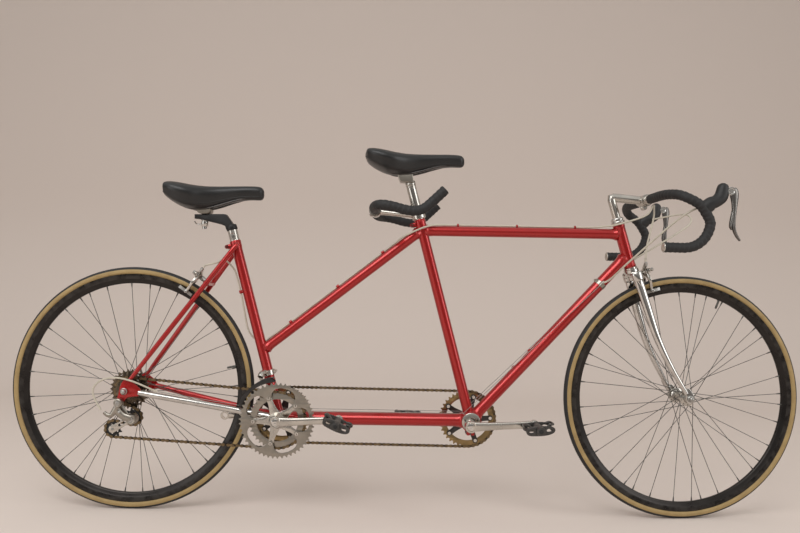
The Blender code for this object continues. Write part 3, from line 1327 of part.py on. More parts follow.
def drop_bar_path():
    """Half of the bar from its middle: out, forward along the ramp, down the drop and back."""
    offsets = [
        (0.0040, 0.140, -0.0010),
        (0.0150, 0.172, -0.0050),
        (0.0250, 0.190, -0.0115),
        (0.0355, 0.199, -0.0185),
        (0.0500, 0.203, -0.0265),
        (0.0645, BAR_HALF_WIDTH, -0.0375),
        (0.0760, BAR_HALF_WIDTH, -0.0530),
    ]
    ramp = [BAR + point(forward, out, up) for forward, out, up in offsets]
    drop = []
    for turn in (0, -25, -50, -70, -90):
        x, z = polar(DROP_CENTRE, BAR_DROP_RADIUS, turn)
        drop.append(point(x, BAR_HALF_WIDTH, z))
    end = drop[-1] - X_AXIS * BAR_END_LENGTH
    return [BAR + Y_AXIS * 0.030, BAR + Y_AXIS * 0.040] + ramp + drop + [end]


def taped_bar(half, room=0.0):
    """A whole bar from one half of its path, bare in its clamp and taped on both sides."""
    other = [point(v.x, -v.y, v.z) for v in reversed(half)]
    sizes = [BAR_RADIUS + room] + [TAPED_RADIUS + room] * (len(half) - 1)
    return swept(other + half, list(reversed(sizes)) + sizes, BAR_SIDES)


add_object("drop_handlebar", taped_bar(drop_bar_path()), TAPE_BLACK, BAR, steering)


def hood_seat(side):
    """Where a hood stands on the ramp."""
    return BAR + point(HOOD_FORWARD, side * BAR_HALF_WIDTH, -HOOD_DOWN)


# Brake hoods and levers, one pair on each side of the bar.
LEVER_EAR_RADIUS = 0.0085
LEVER_ROOM = LEVER_EAR_RADIUS + 2 * GAP


def control(side, word):
    """The hood stands on the outside of the drop. The lever hangs from its nose."""
    seat = hood_seat(side)
    pivot = seat + point(LEVER_PIVOT_FORWARD, 0, LEVER_PIVOT_UP)
    stance = math.radians(HOOD_STANCE)
    out = point(math.cos(stance), 0, math.sin(stance))
    spine = [
        seat - out * 0.012,
        seat + out * 0.008,
        seat + point(0.018, 0, 0.010),
        seat + point(0.031, 0, 0.021),
        seat + point(0.040, 0, 0.037),
        seat + point(0.0415, 0, 0.048),
        seat + point(0.0405, 0, 0.056),
    ]
    sizes = [
        (HOOD_HALF_WIDTH * 0.85, 0.0160),
        (HOOD_HALF_WIDTH * 0.95, 0.0155),
        (HOOD_HALF_WIDTH, 0.0145),
        (HOOD_HALF_WIDTH, 0.0155),
        (HOOD_HALF_WIDTH * 0.95, 0.0125),
        (HOOD_HALF_WIDTH * 0.85, 0.0100),
        (HOOD_HALF_WIDTH * 0.5, 0.0050),
    ]
    hood = add_object(f"brake_hood_{word}", swept(spine, sizes, 10), HOOD_BLACK, seat, steering)
    cut(hood, taped_bar(drop_bar_path(), 2 * GAP))
    wide = Y_AXIS * (HOOD_HALF_WIDTH + 0.02)
    room = rod(pivot - wide, pivot + wide, LEVER_ROOM, count=16)
    cut(hood, room)
    half = Y_AXIS * LEVER_HALF_WIDTH
    ear = rod(pivot - half, pivot + half, LEVER_EAR_RADIUS, count=12)
    lever = add_object(f"brake_lever_{word}", ear, LEVER_GREY, pivot, steering)
    blade = [
        pivot + point(0.009, 0, 0.006),
        pivot + point(0.011, 0, -0.006),
        pivot + point(0.0085, 0, -0.034),
        pivot + point(0.0095, 0, -0.058),
        pivot + point(0.0080, 0, -0.080),
        pivot + point(0.0095, 0, -0.097),
        pivot + point(0.0165, 0, -0.114),
        pivot + point(0.0255, 0, -0.126),
    ]
    widths = [
        (LEVER_HALF_WIDTH * 0.8, 0.0060),
        (LEVER_HALF_WIDTH, 0.0080),
        (LEVER_HALF_WIDTH, 0.0055),
        (LEVER_HALF_WIDTH, 0.0050),
        (LEVER_HALF_WIDTH, 0.0045),
        (LEVER_HALF_WIDTH, 0.0038),
        (LEVER_HALF_WIDTH * 0.9, 0.0034),
        (LEVER_HALF_WIDTH * 0.7, 0.0026),
    ]
    join(lever, swept(blade, widths, 8))
    return pivot


control(-1, "right")
control(1, "left")


# Side-pull brakes. Both arms turn on the centre bolt, which stands out of its seat.
def brake(prefix, seat, out, down, reach, parent, flip):
    """Two arms in planes side by side, with a pad block at the foot of each."""
    lateral = Y_AXIS
    for layer, side, word in ((0, -1, "right"), (1, 1, "left")):
        near = BRAKE_STANDOFF + layer * (BRAKE_ARM_THICKNESS + GAP)
        frame = Matrix.Identity(4)
        frame.col[0] = (*(lateral * side), 0)
        frame.col[1] = (*out, 0)
        frame.col[2] = (*(-down), 0)
        frame.col[3] = (*seat, 1)
        pad_out = RIM_HALF_WIDTH + PAD_CLEARANCE
        block = pad_out + PAD_THICKNESS
        outline = [
            (-0.010, 0.004),
            (-0.004, 0.011),
            (0.010, 0.010),
            (0.030, -0.004),
            (0.0345, -0.022),
            (0.0270, -reach - 0.004),
            (block, -reach - 0.003),
            (block, -reach + 0.006),
            (0.0250, -0.024),
            (0.0200, -0.012),
            (0.006, -0.010),
            (-0.007, -0.007),
        ]
        bolt = circle(ORIGIN, (BRAKE_BOLT_RADIUS + GAP) / math.cos(math.pi / 10), 10)
        shape = plate([outline, bolt], near, near + BRAKE_ARM_THICKNESS, place=frame)
        arm = add_object(f"{prefix}_brake_arm_{word}", shape, SILVER, seat, parent)
        cable_side = side * flip > 0
        if cable_side:
            finger = [(0.004, 0.006), (0.012, 0.008), (0.034, 0.020), (0.036, 0.028), (0.029, 0.029), (0.002, 0.012)]
        else:
            finger = [(-0.004, 0.011), (-0.034, 0.010), (-0.037, 0.003), (-0.030, -0.001), (-0.009, 0.0)]
        join(arm, plate([finger], near + 0.0005, near + BRAKE_ARM_THICKNESS - 0.0005, place=frame))
        along = 0.5 * (near + near + BRAKE_ARM_THICKNESS)
        centre = BRAKE_STANDOFF + BRAKE_ARM_THICKNESS
        pad = box_between(
            point(pad_out, min(centre - PAD_HALF_LENGTH, along), -reach - PAD_HALF_HEIGHT),
            point(block + 0.001, max(centre + PAD_HALF_LENGTH, along), -reach + PAD_HALF_HEIGHT),
            place=frame,
        )
        join(arm, pad)


def brake_bolt(carrier, seat, out):
    """The bolt that carries both arms: a post from the seat, the pivot through the arms and a nut."""
    arms = BRAKE_STANDOFF + 2 * BRAKE_ARM_THICKNESS + GAP
    join(carrier, rod(seat, seat + out * (BRAKE_STANDOFF - GAP), 0.0068, count=10))
    join(carrier, rod(seat, seat + out * (arms + 0.008), BRAKE_BOLT_RADIUS, count=8))
    join(carrier, rod(seat + out * (arms + GAP), seat + out * (arms + 0.006), 0.0065, count=8))


def reach_to(radius, seat, out, down, axle):
    """How far down the arms go for their pads to lie on the brake track."""
    start = seat + out * (BRAKE_STANDOFF + BRAKE_ARM_THICKNESS)
    low, high = 0.0, 0.12
    for _ in range(40):
        middle = (low + high) / 2
        if (start + down * middle - axle).length > radius:
            low = middle
        else:
            high = middle
    return low


FRONT_BRAKE_SEAT = CROWN_SEAT - HEAD_UP * 0.013
REAR_OUT = point(STAY_DOWN.z, 0, -STAY_DOWN.x)
front_reach = reach_to(BRAKE_PAD_RADIUS, FRONT_BRAKE_SEAT, HEAD_FORWARD, -HEAD_UP, FRONT_AXLE)
rear_reach = reach_to(BRAKE_PAD_RADIUS, BRIDGE, REAR_OUT, STAY_DOWN, REAR_AXLE)
brake("front", FRONT_BRAKE_SEAT, HEAD_FORWARD, -HEAD_UP, front_reach, steering, -1)
brake("rear", BRIDGE, REAR_OUT, STAY_DOWN, rear_reach, None, -1)
brake_bolt(fork_body, FRONT_BRAKE_SEAT, HEAD_FORWARD)
brake_bolt(left_seatstay, BRIDGE, REAR_OUT)


# Saddles: a padded shell, wide at the back and narrow at the nose, with its sides drawn in below.
def saddle(rear_x, top_z, depth_share, tilt=0.0, room=0.0):
    stations = [
        (0.000, 0.46, 0.011, 0.40),
        (0.025, 0.74, 0.002, 0.53),
        (0.100, 0.94, 0.001, 0.74),
        (0.200, 1.00, 0.005, 0.92),
        (0.300, 0.89, 0.010, 1.00),
        (0.420, 0.61, 0.013, 0.99),
        (0.550, 0.43, 0.0135, 0.88),
        (0.700, 0.34, 0.0130, 0.73),
        (0.850, 0.29, 0.0130, 0.64),
        (0.950, 0.24, 0.0165, 0.61),
        (1.000, 0.12, 0.0260, 0.56),
    ]
    rings = []
    for share, width_share, dip, depth in stations:
        half = width_share * SADDLE_HALF_WIDTH + room
        x = rear_x + SADDLE_LENGTH * share
        lift = (share - 0.3) * SADDLE_LENGTH * math.tan(math.radians(tilt))
        top = top_z - dip + lift + room
        low = top_z - depth * depth_share + lift - room
        deep = top - low
        foot = min(half * 0.55, 0.024)
        rings.append(
            [
                point(x, 0, top),
                point(x, half * 0.55, top - deep * 0.03),
                point(x, half * 0.90, top - deep * 0.16),
                point(x, half, top - deep * 0.36),
                point(x, half * 0.93, top - deep * 0.62),
                point(x, foot, low + deep * 0.03),
                point(x, 0, low),
                point(x, -foot, low + deep * 0.03),
                point(x, -half * 0.93, top - deep * 0.62),
                point(x, -half, top - deep * 0.36),
                point(x, -half * 0.90, top - deep * 0.16),
                point(x, -half * 0.55, top - deep * 0.03),
            ]
        )
    return loft(bmesh.new(), rings)


def seatpost(name, top, height):
    """A straight post from inside its seat tube to a head under the saddle."""
    start = top - SEAT_UP * POST_INSERTION
    return add_object(name, rod(start, top + SEAT_UP * height, SEATPOST_RADIUS), SILVER, top)


saddle_shape = saddle(CAPTAIN_SADDLE_REAR_X, CAPTAIN_SADDLE_TOP_Z, CAPTAIN_SADDLE_DEPTH)
add_object("captain_saddle", saddle_shape, SADDLE_BLACK, CAPTAIN_SEAT_TOP)
CAPTAIN_POST_HEIGHT = (CAPTAIN_SADDLE_TOP_Z - CAPTAIN_SADDLE_DEPTH - 0.022 - CAPTAIN_SEAT_TOP.z) / SEAT_UP.z
captain_post = seatpost("captain_seatpost", CAPTAIN_SEAT_TOP, CAPTAIN_POST_HEIGHT + 0.006)
captain_head = CAPTAIN_SEAT_TOP + SEAT_UP * (CAPTAIN_POST_HEIGHT + 0.004)
head_block = [
    (captain_head.x - 0.014, captain_head.z - 0.008),
    (captain_head.x + 0.012, captain_head.z - 0.006),
    (captain_head.x + 0.022, CAPTAIN_SADDLE_TOP_Z - 0.030),
    (captain_head.x - 0.034, CAPTAIN_SADDLE_TOP_Z - 0.030),
]
join(captain_post, plate([head_block], -0.021, 0.021))
captain_room = saddle(CAPTAIN_SADDLE_REAR_X, CAPTAIN_SADDLE_TOP_Z, CAPTAIN_SADDLE_DEPTH, room=GAP * 1.5)
cut(captain_post, captain_room)

stoker_saddle_shape = saddle(STOKER_SADDLE_REAR_X, STOKER_SADDLE_TOP_Z, STOKER_SADDLE_DEPTH, STOKER_SADDLE_TILT)
add_object("stoker_saddle", stoker_saddle_shape, SADDLE_BLACK, STOKER_SEAT_TOP)
STOKER_POST_HEIGHT = 0.042
stoker_post = seatpost("stoker_seatpost", STOKER_SEAT_TOP, STOKER_POST_HEIGHT)
knee = point(SETBACK_KNEE_X, 0, SETBACK_Z - 0.005)
neck = STOKER_SEAT_TOP + SEAT_UP * (STOKER_POST_HEIGHT - 0.012)
set_back = [neck, neck.lerp(knee, 0.55), knee, point(SETBACK_X + 0.04, 0, SETBACK_Z), point(SETBACK_X, 0, SETBACK_Z)]
set_back_sizes = [(0.0145, 0.0145), (0.0140, 0.0130), (0.0135, 0.0110), (0.0150, 0.0095), (0.0160, 0.0085)]
join(stoker_post, swept(set_back, set_back_sizes, 12))
clamp_x = SETBACK_X + SETBACK_CLAMP
clamp_block = [
    (clamp_x - 0.016, SETBACK_Z),
    (clamp_x + 0.018, SETBACK_Z),
    (clamp_x + 0.022, STOKER_SADDLE_TOP_Z - 0.030),
    (clamp_x - 0.022, STOKER_SADDLE_TOP_Z - 0.030),
]
join(stoker_post, plate([clamp_block], -0.021, 0.021))
clamp_bolt = point(clamp_x, 0, SETBACK_Z)
join(stoker_post, rod(clamp_bolt, clamp_bolt - Z_AXIS * 0.036, 0.0065, 0.0085, count=10))
stoker_room = saddle(
    STOKER_SADDLE_REAR_X, STOKER_SADDLE_TOP_Z, STOKER_SADDLE_DEPTH, STOKER_SADDLE_TILT, GAP * 1.5
)
cut(stoker_post, stoker_room)

# Stoker's stem, clamped round the captain's seatpost, and the horn bar.
STOKER_BAR = point(STOKER_BAR_X, 0, STOKER_BAR_Z)
COLLAR_HALF = SEAT_UP * 0.008
collar = CAPTAIN_SEAT_TOP + COLLAR_HALF + SEAT_UP * 0.0015
stoker_stem = add_object(
    "stoker_stem", rod(collar - COLLAR_HALF, collar + COLLAR_HALF, SEAT_BORE + STOKER_COLLAR_WALL), SILVER, collar
)
join(stoker_stem, swept([collar - X_AXIS * 0.008, STOKER_BAR], [(0.0105, 0.0075), (0.0095, 0.0085)], 10))
stoker_clamp_half = Y_AXIS * CLAMP_HALF_WIDTH
join(
    stoker_stem,
    rod(STOKER_BAR - stoker_clamp_half, STOKER_BAR + stoker_clamp_half, BAR_RADIUS + GAP + CLAMP_WALL, count=14),
)
cut(stoker_stem, rod(collar - SEAT_UP * 0.05, collar + SEAT_UP * 0.05, SEAT_BORE))
cut(stoker_stem, bore(STOKER_BAR - stoker_clamp_half * 2, STOKER_BAR + stoker_clamp_half * 2, BAR_RADIUS, 14))


def horn_bar():
    """The stoker's bar, from its middle out, round the corner and along the horn."""
    offsets = [
        (0.000, 0.030, 0.000),
        (0.000, 0.045, 0.000),
        (0.000, 0.110, -0.001),
        (0.005, 0.155, -0.001),
        (0.014, 0.185, -0.001),
        (0.029, 0.198, -0.0015),
        (0.0534, STOKER_BAR_HALF_WIDTH, -0.0060),
        (0.0830, STOKER_BAR_HALF_WIDTH, -0.0136),
        (0.1088, STOKER_BAR_HALF_WIDTH, -0.0156),
        (0.1326, STOKER_BAR_HALF_WIDTH, -0.0075),
        (0.1576, STOKER_BAR_HALF_WIDTH, 0.0147),
        (0.1836, STOKER_BAR_HALF_WIDTH, 0.0395),
    ]
    half = [STOKER_BAR + point(forward, out, up) for forward, out, up in offsets]
    shape = taped_bar(half)
    return add_object("stoker_bar", shape, TAPE_BLACK, STOKER_BAR)


horn_bar()


# Cables. Each housing is held at both ends and follows its real route.
def steered(place):
    """Where a place on the front end goes when the bars are turned."""
    turn = Matrix.Rotation(math.radians(STEER_ANGLE), 4, HEAD_UP)
    return CROWN_SEAT + (turn.to_3x3() @ (place - CROWN_SEAT))


def cable(name, route, bare_from=None, parent=None):
    """A housing along a route. Past the bare_from point only the thin wire runs on."""
    curve = bpy.data.curves.new(name, "CURVE")
    curve.dimensions = "3D"
    curve.bevel_depth = HOUSING_RADIUS
    curve.bevel_resolution = 2
    curve.use_fill_caps = True
    spline = curve.splines.new("POLY")
    start = parent.location if parent else ORIGIN
    spline.points.add(len(route) - 1)
    for k, place in enumerate(route):
        spline.points[k].co = (*(place - start), 1.0)
        bare = bare_from is not None and k >= bare_from
        spline.points[k].radius = WIRE_RADIUS / HOUSING_RADIUS if bare else 1.0
    curve.materials.append(HOUSING_CREAM)
    obj = bpy.data.objects.new(name, curve)
    bpy.context.scene.collection.objects.link(obj)
    obj.parent = parent
    return obj


def off(place, x, y, z):
    return place + point(x, y, z)


def thinned(route, bend):
    """The route without the points where it bends less than this, in degrees since the last kept point."""
    kept = [route[0]]
    turned_so_far = 0.0
    for before, place, after in zip(route, route[1:], route[2:]):
        turned_so_far += math.degrees((place - before).angle(after - place))
        if turned_so_far >= bend:
            kept.append(place)
            turned_so_far = 0.0
    kept.append(route[-1])
    return kept


def hood_exit(side):
    """Where a shift housing leaves the inner side of a hood."""
    seat = hood_seat(side)
    inner = BAR_HALF_WIDTH - HOOD_HALF_WIDTH * math.cos(math.pi / 10) - HOUSING_RADIUS - GAP
    return point(seat.x + 0.018, side * inner, seat.z + 0.006)


def behind(height, y, back):
    """A place behind the stoker's seat tube, this far up and this far off its axis."""
    return STOKER_BB + SEAT_UP * height - SEAT_FORWARD * back + Y_AXIS * y


def wire_route(side):
    """From the down tube's stop over both shells, beside the seat tubes, to the stoker's shell."""
    beside = side * (SEAT_TUBE_RADIUS + WIRE_RADIUS + 0.0030)
    stop = DOWN_JOINT - down_way * STOP_REACH
    over = CAPTAIN_SHELL_RADIUS + WIRE_RADIUS + GAP * 3
    found = [stop + Y_AXIS * side * (DOWN_TUBE_RADIUS * math.cos(math.pi / 16) + HOUSING_RADIUS + GAP)]
    found.append(found[0] - down_way * 0.002)
    x, z = polar(CAPTAIN_SHELL, over, 134)
    found.append(point(x, beside, z))
    found.append(point(CAPTAIN_SHELL.x - 0.060, beside, STOKER_BB.z + STOKER_SHELL_RADIUS + 0.003))
    found.append(point(STOKER_BB.x, beside, STOKER_BB.z + STOKER_SHELL_RADIUS + 0.003))
    return found


right_wire = wire_route(-1)
left_wire = wire_route(1)
rear_stop = REAR_AXLE + point(0.088, -0.0645, -0.0015)

right_knots = [
    steered(hood_exit(-1)),
    steered(off(BAR, 0.030, -0.178, -0.060)),
    off(HEAD_HIGH, 0.010, -0.100, -0.098),
    off(HEAD_LOW, -0.062, -0.034, -0.033),
    right_wire[0],
]
right_route = thinned(smooth_path(right_knots, 6), CABLE_BEND)
bare = len(right_route)
right_route += right_wire[1:]
right_route.append(point(-0.430, -0.0290, 0.2910))
right_route.append(rear_stop)
cable("rear_shift_cable", right_route, bare)

left_knots = [
    steered(hood_exit(1)),
    steered(off(BAR, 0.172, 0.120, -0.020)),
    steered(off(BAR, 0.166, 0.070, -0.052)),
    steered(off(BAR, 0.092, 0.042, -0.098)),
    off(HEAD_LOW, 0.058, 0.036, 0.046),
    off(HEAD_LOW, -0.026, 0.030, -0.006),
    left_wire[0],
]
left_route = thinned(smooth_path(left_knots, 6), CABLE_BEND)
bare = len(left_route)
left_route += left_wire[1:-1]
left_route.append(off(left_wire[-1], 0.016, 0, 0))
left_route.append(off(STOKER_BB, -0.016, 0.0185, 0.0255))
left_route.append(off(STOKER_BB, -0.040, -0.008, 0.050))
left_route.append(off(FRONT_BAND, -0.0165, -0.030, -0.018))
cable("front_shift_cable", left_route, bare)

front_cable_end = FRONT_BRAKE_SEAT + HEAD_FORWARD * (BRAKE_STANDOFF + BRAKE_ARM_THICKNESS / 2)
front_cable_end += HEAD_UP * (0.029 + 3 * GAP) - Y_AXIS * 0.0325
front_brake_knots = [
    off(BAR, 0.0130, -0.034, -0.0140),
    off(BAR, 0.0125, -0.033, -0.052),
    off(BAR, -0.004, -0.031, -0.125),
    front_cable_end,
]
cable("front_brake_cable", thinned(smooth_path(front_brake_knots, 6), CABLE_BEND), parent=steering)

TOP_LINE = TOP_TUBE_RADIUS + HOUSING_RADIUS + GAP
middle_way = (MIDDLE_LOW - MIDDLE_HIGH).normalized()
middle_off = point(-middle_way.z, 0, middle_way.x) * -(MIDDLE_TUBE_RADIUS + HOUSING_RADIUS + GAP)
middle_span = (MIDDLE_LOW - MIDDLE_HIGH).length
rear_cable_end = BRIDGE + REAR_OUT * (BRAKE_STANDOFF + BRAKE_ARM_THICKNESS / 2)
rear_cable_end += -STAY_DOWN * (0.029 + 3 * GAP) - Y_AXIS * 0.0325
rear_brake_knots = [
    steered(off(BAR, 0.0060, -0.045, -0.0185)),
    steered(off(BAR, -0.012, -0.040, -0.045)),
    off(HEAD_HIGH, 0.000, -0.0240, 0.002),
    off(TOP_JOINT, -0.050, -0.010, TOP_LINE + 0.003),
    off(TOP_JOINT, -0.100, 0, TOP_LINE),
    off(TOP_JOINT, -0.260, 0, TOP_LINE),
    off(TOP_TUBE_REAR, 0.090, 0, TOP_LINE),
    off(TOP_TUBE_REAR, 0.036, -0.012, TOP_LINE - 0.001),
    off(TOP_TUBE_REAR, -0.002, -0.0230, 0.006),
    MIDDLE_HIGH + middle_way * 0.055 + middle_off + point(0, -0.008, 0),
    MIDDLE_HIGH + middle_way * 0.100 + middle_off,
    MIDDLE_HIGH + middle_way * (middle_span * 0.55) + middle_off,
    MIDDLE_HIGH + middle_way * (middle_span - 0.090) + middle_off,
    MIDDLE_HIGH + middle_way * (middle_span - 0.038) + middle_off + point(0, 0.010, 0),
    off(MIDDLE_LOW, -0.0020, 0.0220, 0.020),
    behind(0.2310, 0.0100, 0.0160),
    behind(0.2610, 0.0035, 0.0260),
    behind(0.3140, 0.0, 0.0225),
    behind(0.3600, 0.0, 0.0198),
    behind(0.4060, 0.0, 0.0195),
    behind(0.4340, 0.0, 0.0230),
    BRIDGE + point(0.044, -0.0120, 0.0670),
    BRIDGE + point(0.028, -0.0235, 0.0590),
    off(rear_cable_end, 0.0060, 0.0015, 0.0065),
    rear_cable_end,
]
cable("rear_brake_cable", thinned(smooth_path(rear_brake_knots, 6), CABLE_BEND))

loop_knots = [
    rear_stop - point(0.003, 0, 0),
    REAR_AXLE + point(0.018, -0.083, 0.030),
    REAR_AXLE + point(-0.034, -0.086, 0.037),
    REAR_AXLE + point(-0.070, -0.086, 0.022),
    REAR_AXLE + point(-0.080, -0.086, -0.006),
    HANGER + point(-0.0468, MECH_OUTER_Y - 0.008, -0.0205),
]
cable("rear_shift_loop", thinned(smooth_path(loop_knots, 6), CABLE_BEND))

for solid in bpy.data.objects:
    if solid.type == "MESH" and not solid.hide_render:
        tidy = solid.modifiers.new("Tidy flat faces", "DECIMATE")
        tidy.decimate_type = "DISSOLVE"
        tidy.angle_limit = math.radians(0.08)

steering.rotation_mode = "AXIS_ANGLE"
steering.rotation_axis_angle = (math.radians(STEER_ANGLE), *HEAD_UP)
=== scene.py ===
import math

import bmesh
import bpy
from mathutils import Matrix, Vector


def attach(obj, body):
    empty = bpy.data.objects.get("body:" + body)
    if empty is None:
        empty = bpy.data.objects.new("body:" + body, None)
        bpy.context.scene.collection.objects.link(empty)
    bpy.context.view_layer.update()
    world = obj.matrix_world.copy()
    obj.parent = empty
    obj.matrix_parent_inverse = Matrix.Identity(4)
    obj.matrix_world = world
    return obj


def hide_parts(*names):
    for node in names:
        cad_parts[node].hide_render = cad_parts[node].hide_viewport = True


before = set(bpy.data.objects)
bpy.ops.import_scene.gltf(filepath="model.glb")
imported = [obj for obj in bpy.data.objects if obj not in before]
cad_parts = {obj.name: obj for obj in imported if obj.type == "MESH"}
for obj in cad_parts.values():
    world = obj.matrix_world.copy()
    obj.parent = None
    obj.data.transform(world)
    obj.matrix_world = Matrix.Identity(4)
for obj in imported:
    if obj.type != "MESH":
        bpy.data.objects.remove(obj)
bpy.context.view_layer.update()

scene = bpy.context.scene

# The camera stands level with the stoker's saddle, square to the bike's right side, as in the photograph.
# Its small roll and the lens were found by laying the wheels and both saddles over the picture.
camera_data = bpy.data.cameras.new("camera")
camera_data.sensor_width = 36.0
camera_data.lens = 34.695
camera_data.shift_y = 16.5 / 800
camera = bpy.data.objects.new("camera", camera_data)
scene.collection.objects.link(camera)
level = Matrix.Rotation(math.radians(90), 4, "X")
roll = Matrix.Rotation(math.radians(0.98), 4, "Z")
camera.matrix_world = Matrix.Translation((-0.027, -2.15, 0.64)) @ level @ roll
scene.camera = camera
scene.view_settings.view_transform = "Standard"

# The studio: a plain warm grey sheet that runs from the floor up behind the bike in one soft bend, clear from behind.
# A large soft box hangs over the camera's side, with a weaker one behind it and pale light all round.
bpy.ops.object.select_all(action="DESELECT")
bpy.ops.mesh.primitive_plane_add(size=2, location=(0, 0, 0))
backdrop = bpy.context.object
backdrop.name = "backdrop"
bpy.ops.object.mode_set(mode="EDIT")
bpy.ops.mesh.select_all(action="SELECT")
bpy.ops.transform.resize(value=(7, 3.2, 1))
bpy.ops.transform.translate(value=(0, -1.2, 0))
bpy.ops.mesh.select_all(action="DESELECT")
bm = bmesh.from_edit_mesh(backdrop.data)
for edge in bm.edges:
    edge.select = all(v.co.y > 1 for v in edge.verts)
bm.select_flush(True)
bmesh.update_edit_mesh(backdrop.data)
for turn in range(12):
    angle = math.radians(90 * (turn + 0.5) / 12)
    climb = (0, 0.16 * math.cos(angle), 0.16 * math.sin(angle))
    bpy.ops.mesh.extrude_region_move(TRANSFORM_OT_translate={"value": climb})
bpy.ops.mesh.extrude_region_move(TRANSFORM_OT_translate={"value": (0, 0, 4.5)})
bpy.ops.mesh.select_all(action="SELECT")
bpy.ops.mesh.normals_make_consistent(inside=False)
bpy.ops.object.mode_set(mode="OBJECT")
if backdrop.data.polygons[0].normal.z < 0:
    backdrop.data.flip_normals()
bpy.ops.object.shade_smooth()
backdrop_look = bpy.data.materials.new("backdrop_paper")
backdrop_look.use_nodes = True
paper = backdrop_look.node_tree.nodes["Principled BSDF"]
paper.inputs["Base Color"].default_value = (0.7, 0.615, 0.56, 1)
paper.inputs["Roughness"].default_value = 0.95
paper.inputs["Specular IOR Level"].default_value = 0.1
sight = backdrop_look.node_tree
facing = sight.nodes.new("ShaderNodeNewGeometry")
clear = sight.nodes.new("ShaderNodeBsdfTransparent")
one_way = sight.nodes.new("ShaderNodeMixShader")
sight.links.new(facing.outputs["Backfacing"], one_way.inputs[0])
sight.links.new(paper.outputs["BSDF"], one_way.inputs[1])
sight.links.new(clear.outputs["BSDF"], one_way.inputs[2])
sight.links.new(one_way.outputs["Shader"], sight.nodes["Material Output"].inputs["Surface"])
backdrop.data.materials.append(backdrop_look)


def soft_box(name, place, aim, width, height, power):
    """A rectangular studio lamp at a place, turned to face its aim."""
    lamp_data = bpy.data.lights.new(name, "AREA")
    lamp_data.shape = "RECTANGLE"
    lamp_data.size = width
    lamp_data.size_y = height
    lamp_data.energy = power
    lamp = bpy.data.objects.new(name, lamp_data)
    facing = (Vector(aim) - Vector(place)).to_track_quat("-Z", "Y")
    lamp.matrix_world = Matrix.Translation(place) @ facing.to_matrix().to_4x4()
    scene.collection.objects.link(lamp)


soft_box("key_box", (-1.2, -2.6, 3.0), (0, 0, 0.4), 3.2, 1.8, 62)
soft_box("side_box", (3.2, -1.6, 1.6), (0.2, 0, 0.5), 1.6, 2.0, 26)
soft_box("low_box", (-3.0, -2.2, 0.9), (-0.2, 0, 0.4), 1.4, 1.6, 14)
world = bpy.data.worlds.new("studio_air")
world.use_nodes = True
air = world.node_tree
way_up = air.nodes.new("ShaderNodeTexCoord")
parted = air.nodes.new("ShaderNodeSeparateXYZ")
height = air.nodes.new("ShaderNodeMapRange")
height.inputs["From Min"].default_value = -0.05
height.inputs["From Max"].default_value = 0.6
ceiling = air.nodes.new("ShaderNodeMix")
ceiling.data_type = "RGBA"
ceiling.inputs[6].default_value = (0.22, 0.2, 0.185, 1)
ceiling.inputs[7].default_value = (1.0, 0.98, 0.95, 1)
air.links.new(way_up.outputs["Generated"], parted.inputs["Vector"])
air.links.new(parted.outputs["Z"], height.inputs["Value"])
air.links.new(height.outputs["Result"], ceiling.inputs[0])
air.links.new(ceiling.outputs[2], air.nodes["Background"].inputs["Color"])
air.nodes["Background"].inputs["Strength"].default_value = 0.74
scene.world = world


# The frame tubes: steel, brazed with a small smooth fillet at each joint and sprayed a deep metallic red.
# Each is a filled circle, set to its first ring and extruded from one ring to the next.


def point(x, y, z):
    return Vector((x, y, z))


def places_from(origin, *offsets):
    return [origin + point(*offset) for offset in offsets]


def skin(name, rings, angle=40):
    """A closed form through its rings: a filled circle set to the first and extruded from one to the next."""
    bpy.ops.object.select_all(action="DESELECT")
    bpy.ops.mesh.primitive_circle_add(vertices=len(rings[0]), fill_type="NGON")
    piece = bpy.context.object
    piece.name = piece.data.name = name
    bpy.ops.object.mode_set(mode="EDIT")
    bpy.ops.mesh.select_all(action="SELECT")
    form = bmesh.from_edit_mesh(piece.data)
    number = form.verts.layers.int.new("ring_number")
    form.verts.ensure_lookup_table()
    for place in form.verts:
        place[number] = place.index
    for turn, corners in enumerate(rings):
        if turn:
            bpy.ops.mesh.extrude_region()
        form = bmesh.from_edit_mesh(piece.data)
        number = form.verts.layers.int["ring_number"]
        for place in form.verts:
            if place.select:
                place.co = corners[place[number]]
    bmesh.update_edit_mesh(piece.data)
    bpy.ops.mesh.select_all(action="SELECT")
    bpy.ops.mesh.normals_make_consistent(inside=False)
    bpy.ops.object.mode_set(mode="OBJECT")
    piece.data.attributes.remove(piece.data.attributes["ring_number"])
    bpy.ops.object.shade_smooth_by_angle(angle=math.radians(angle))
    return piece


def tube_rings(route, sizes, sides):
    """Rings square to a route. A size is a radius, or a half width and a half height."""
    found = []
    across = (route[1] - route[0]).orthogonal()
    if abs((route[1] - route[0]).normalized().y) < 0.9:
        across = point(0, 1, 0)
    for turn, place in enumerate(route):
        along = (route[min(turn + 1, len(route) - 1)] - route[max(turn - 1, 0)]).normalized()
        across = (across - along * across.dot(along)).normalized()
        up = along.cross(across)
        size = sizes[turn] if isinstance(sizes, list) else sizes
        wide, tall = size if isinstance(size, tuple) else (size, size)
        corners = []
        for side in range(sides):
            angle = 2 * math.pi * side / sides
            corners.append(place + across * (wide * math.cos(angle)) + up * (tall * math.sin(angle)))
        found.append(corners)
    return found


def tube(name, route, sizes, sides=24):
    return skin(name, tube_rings(route, sizes, sides))


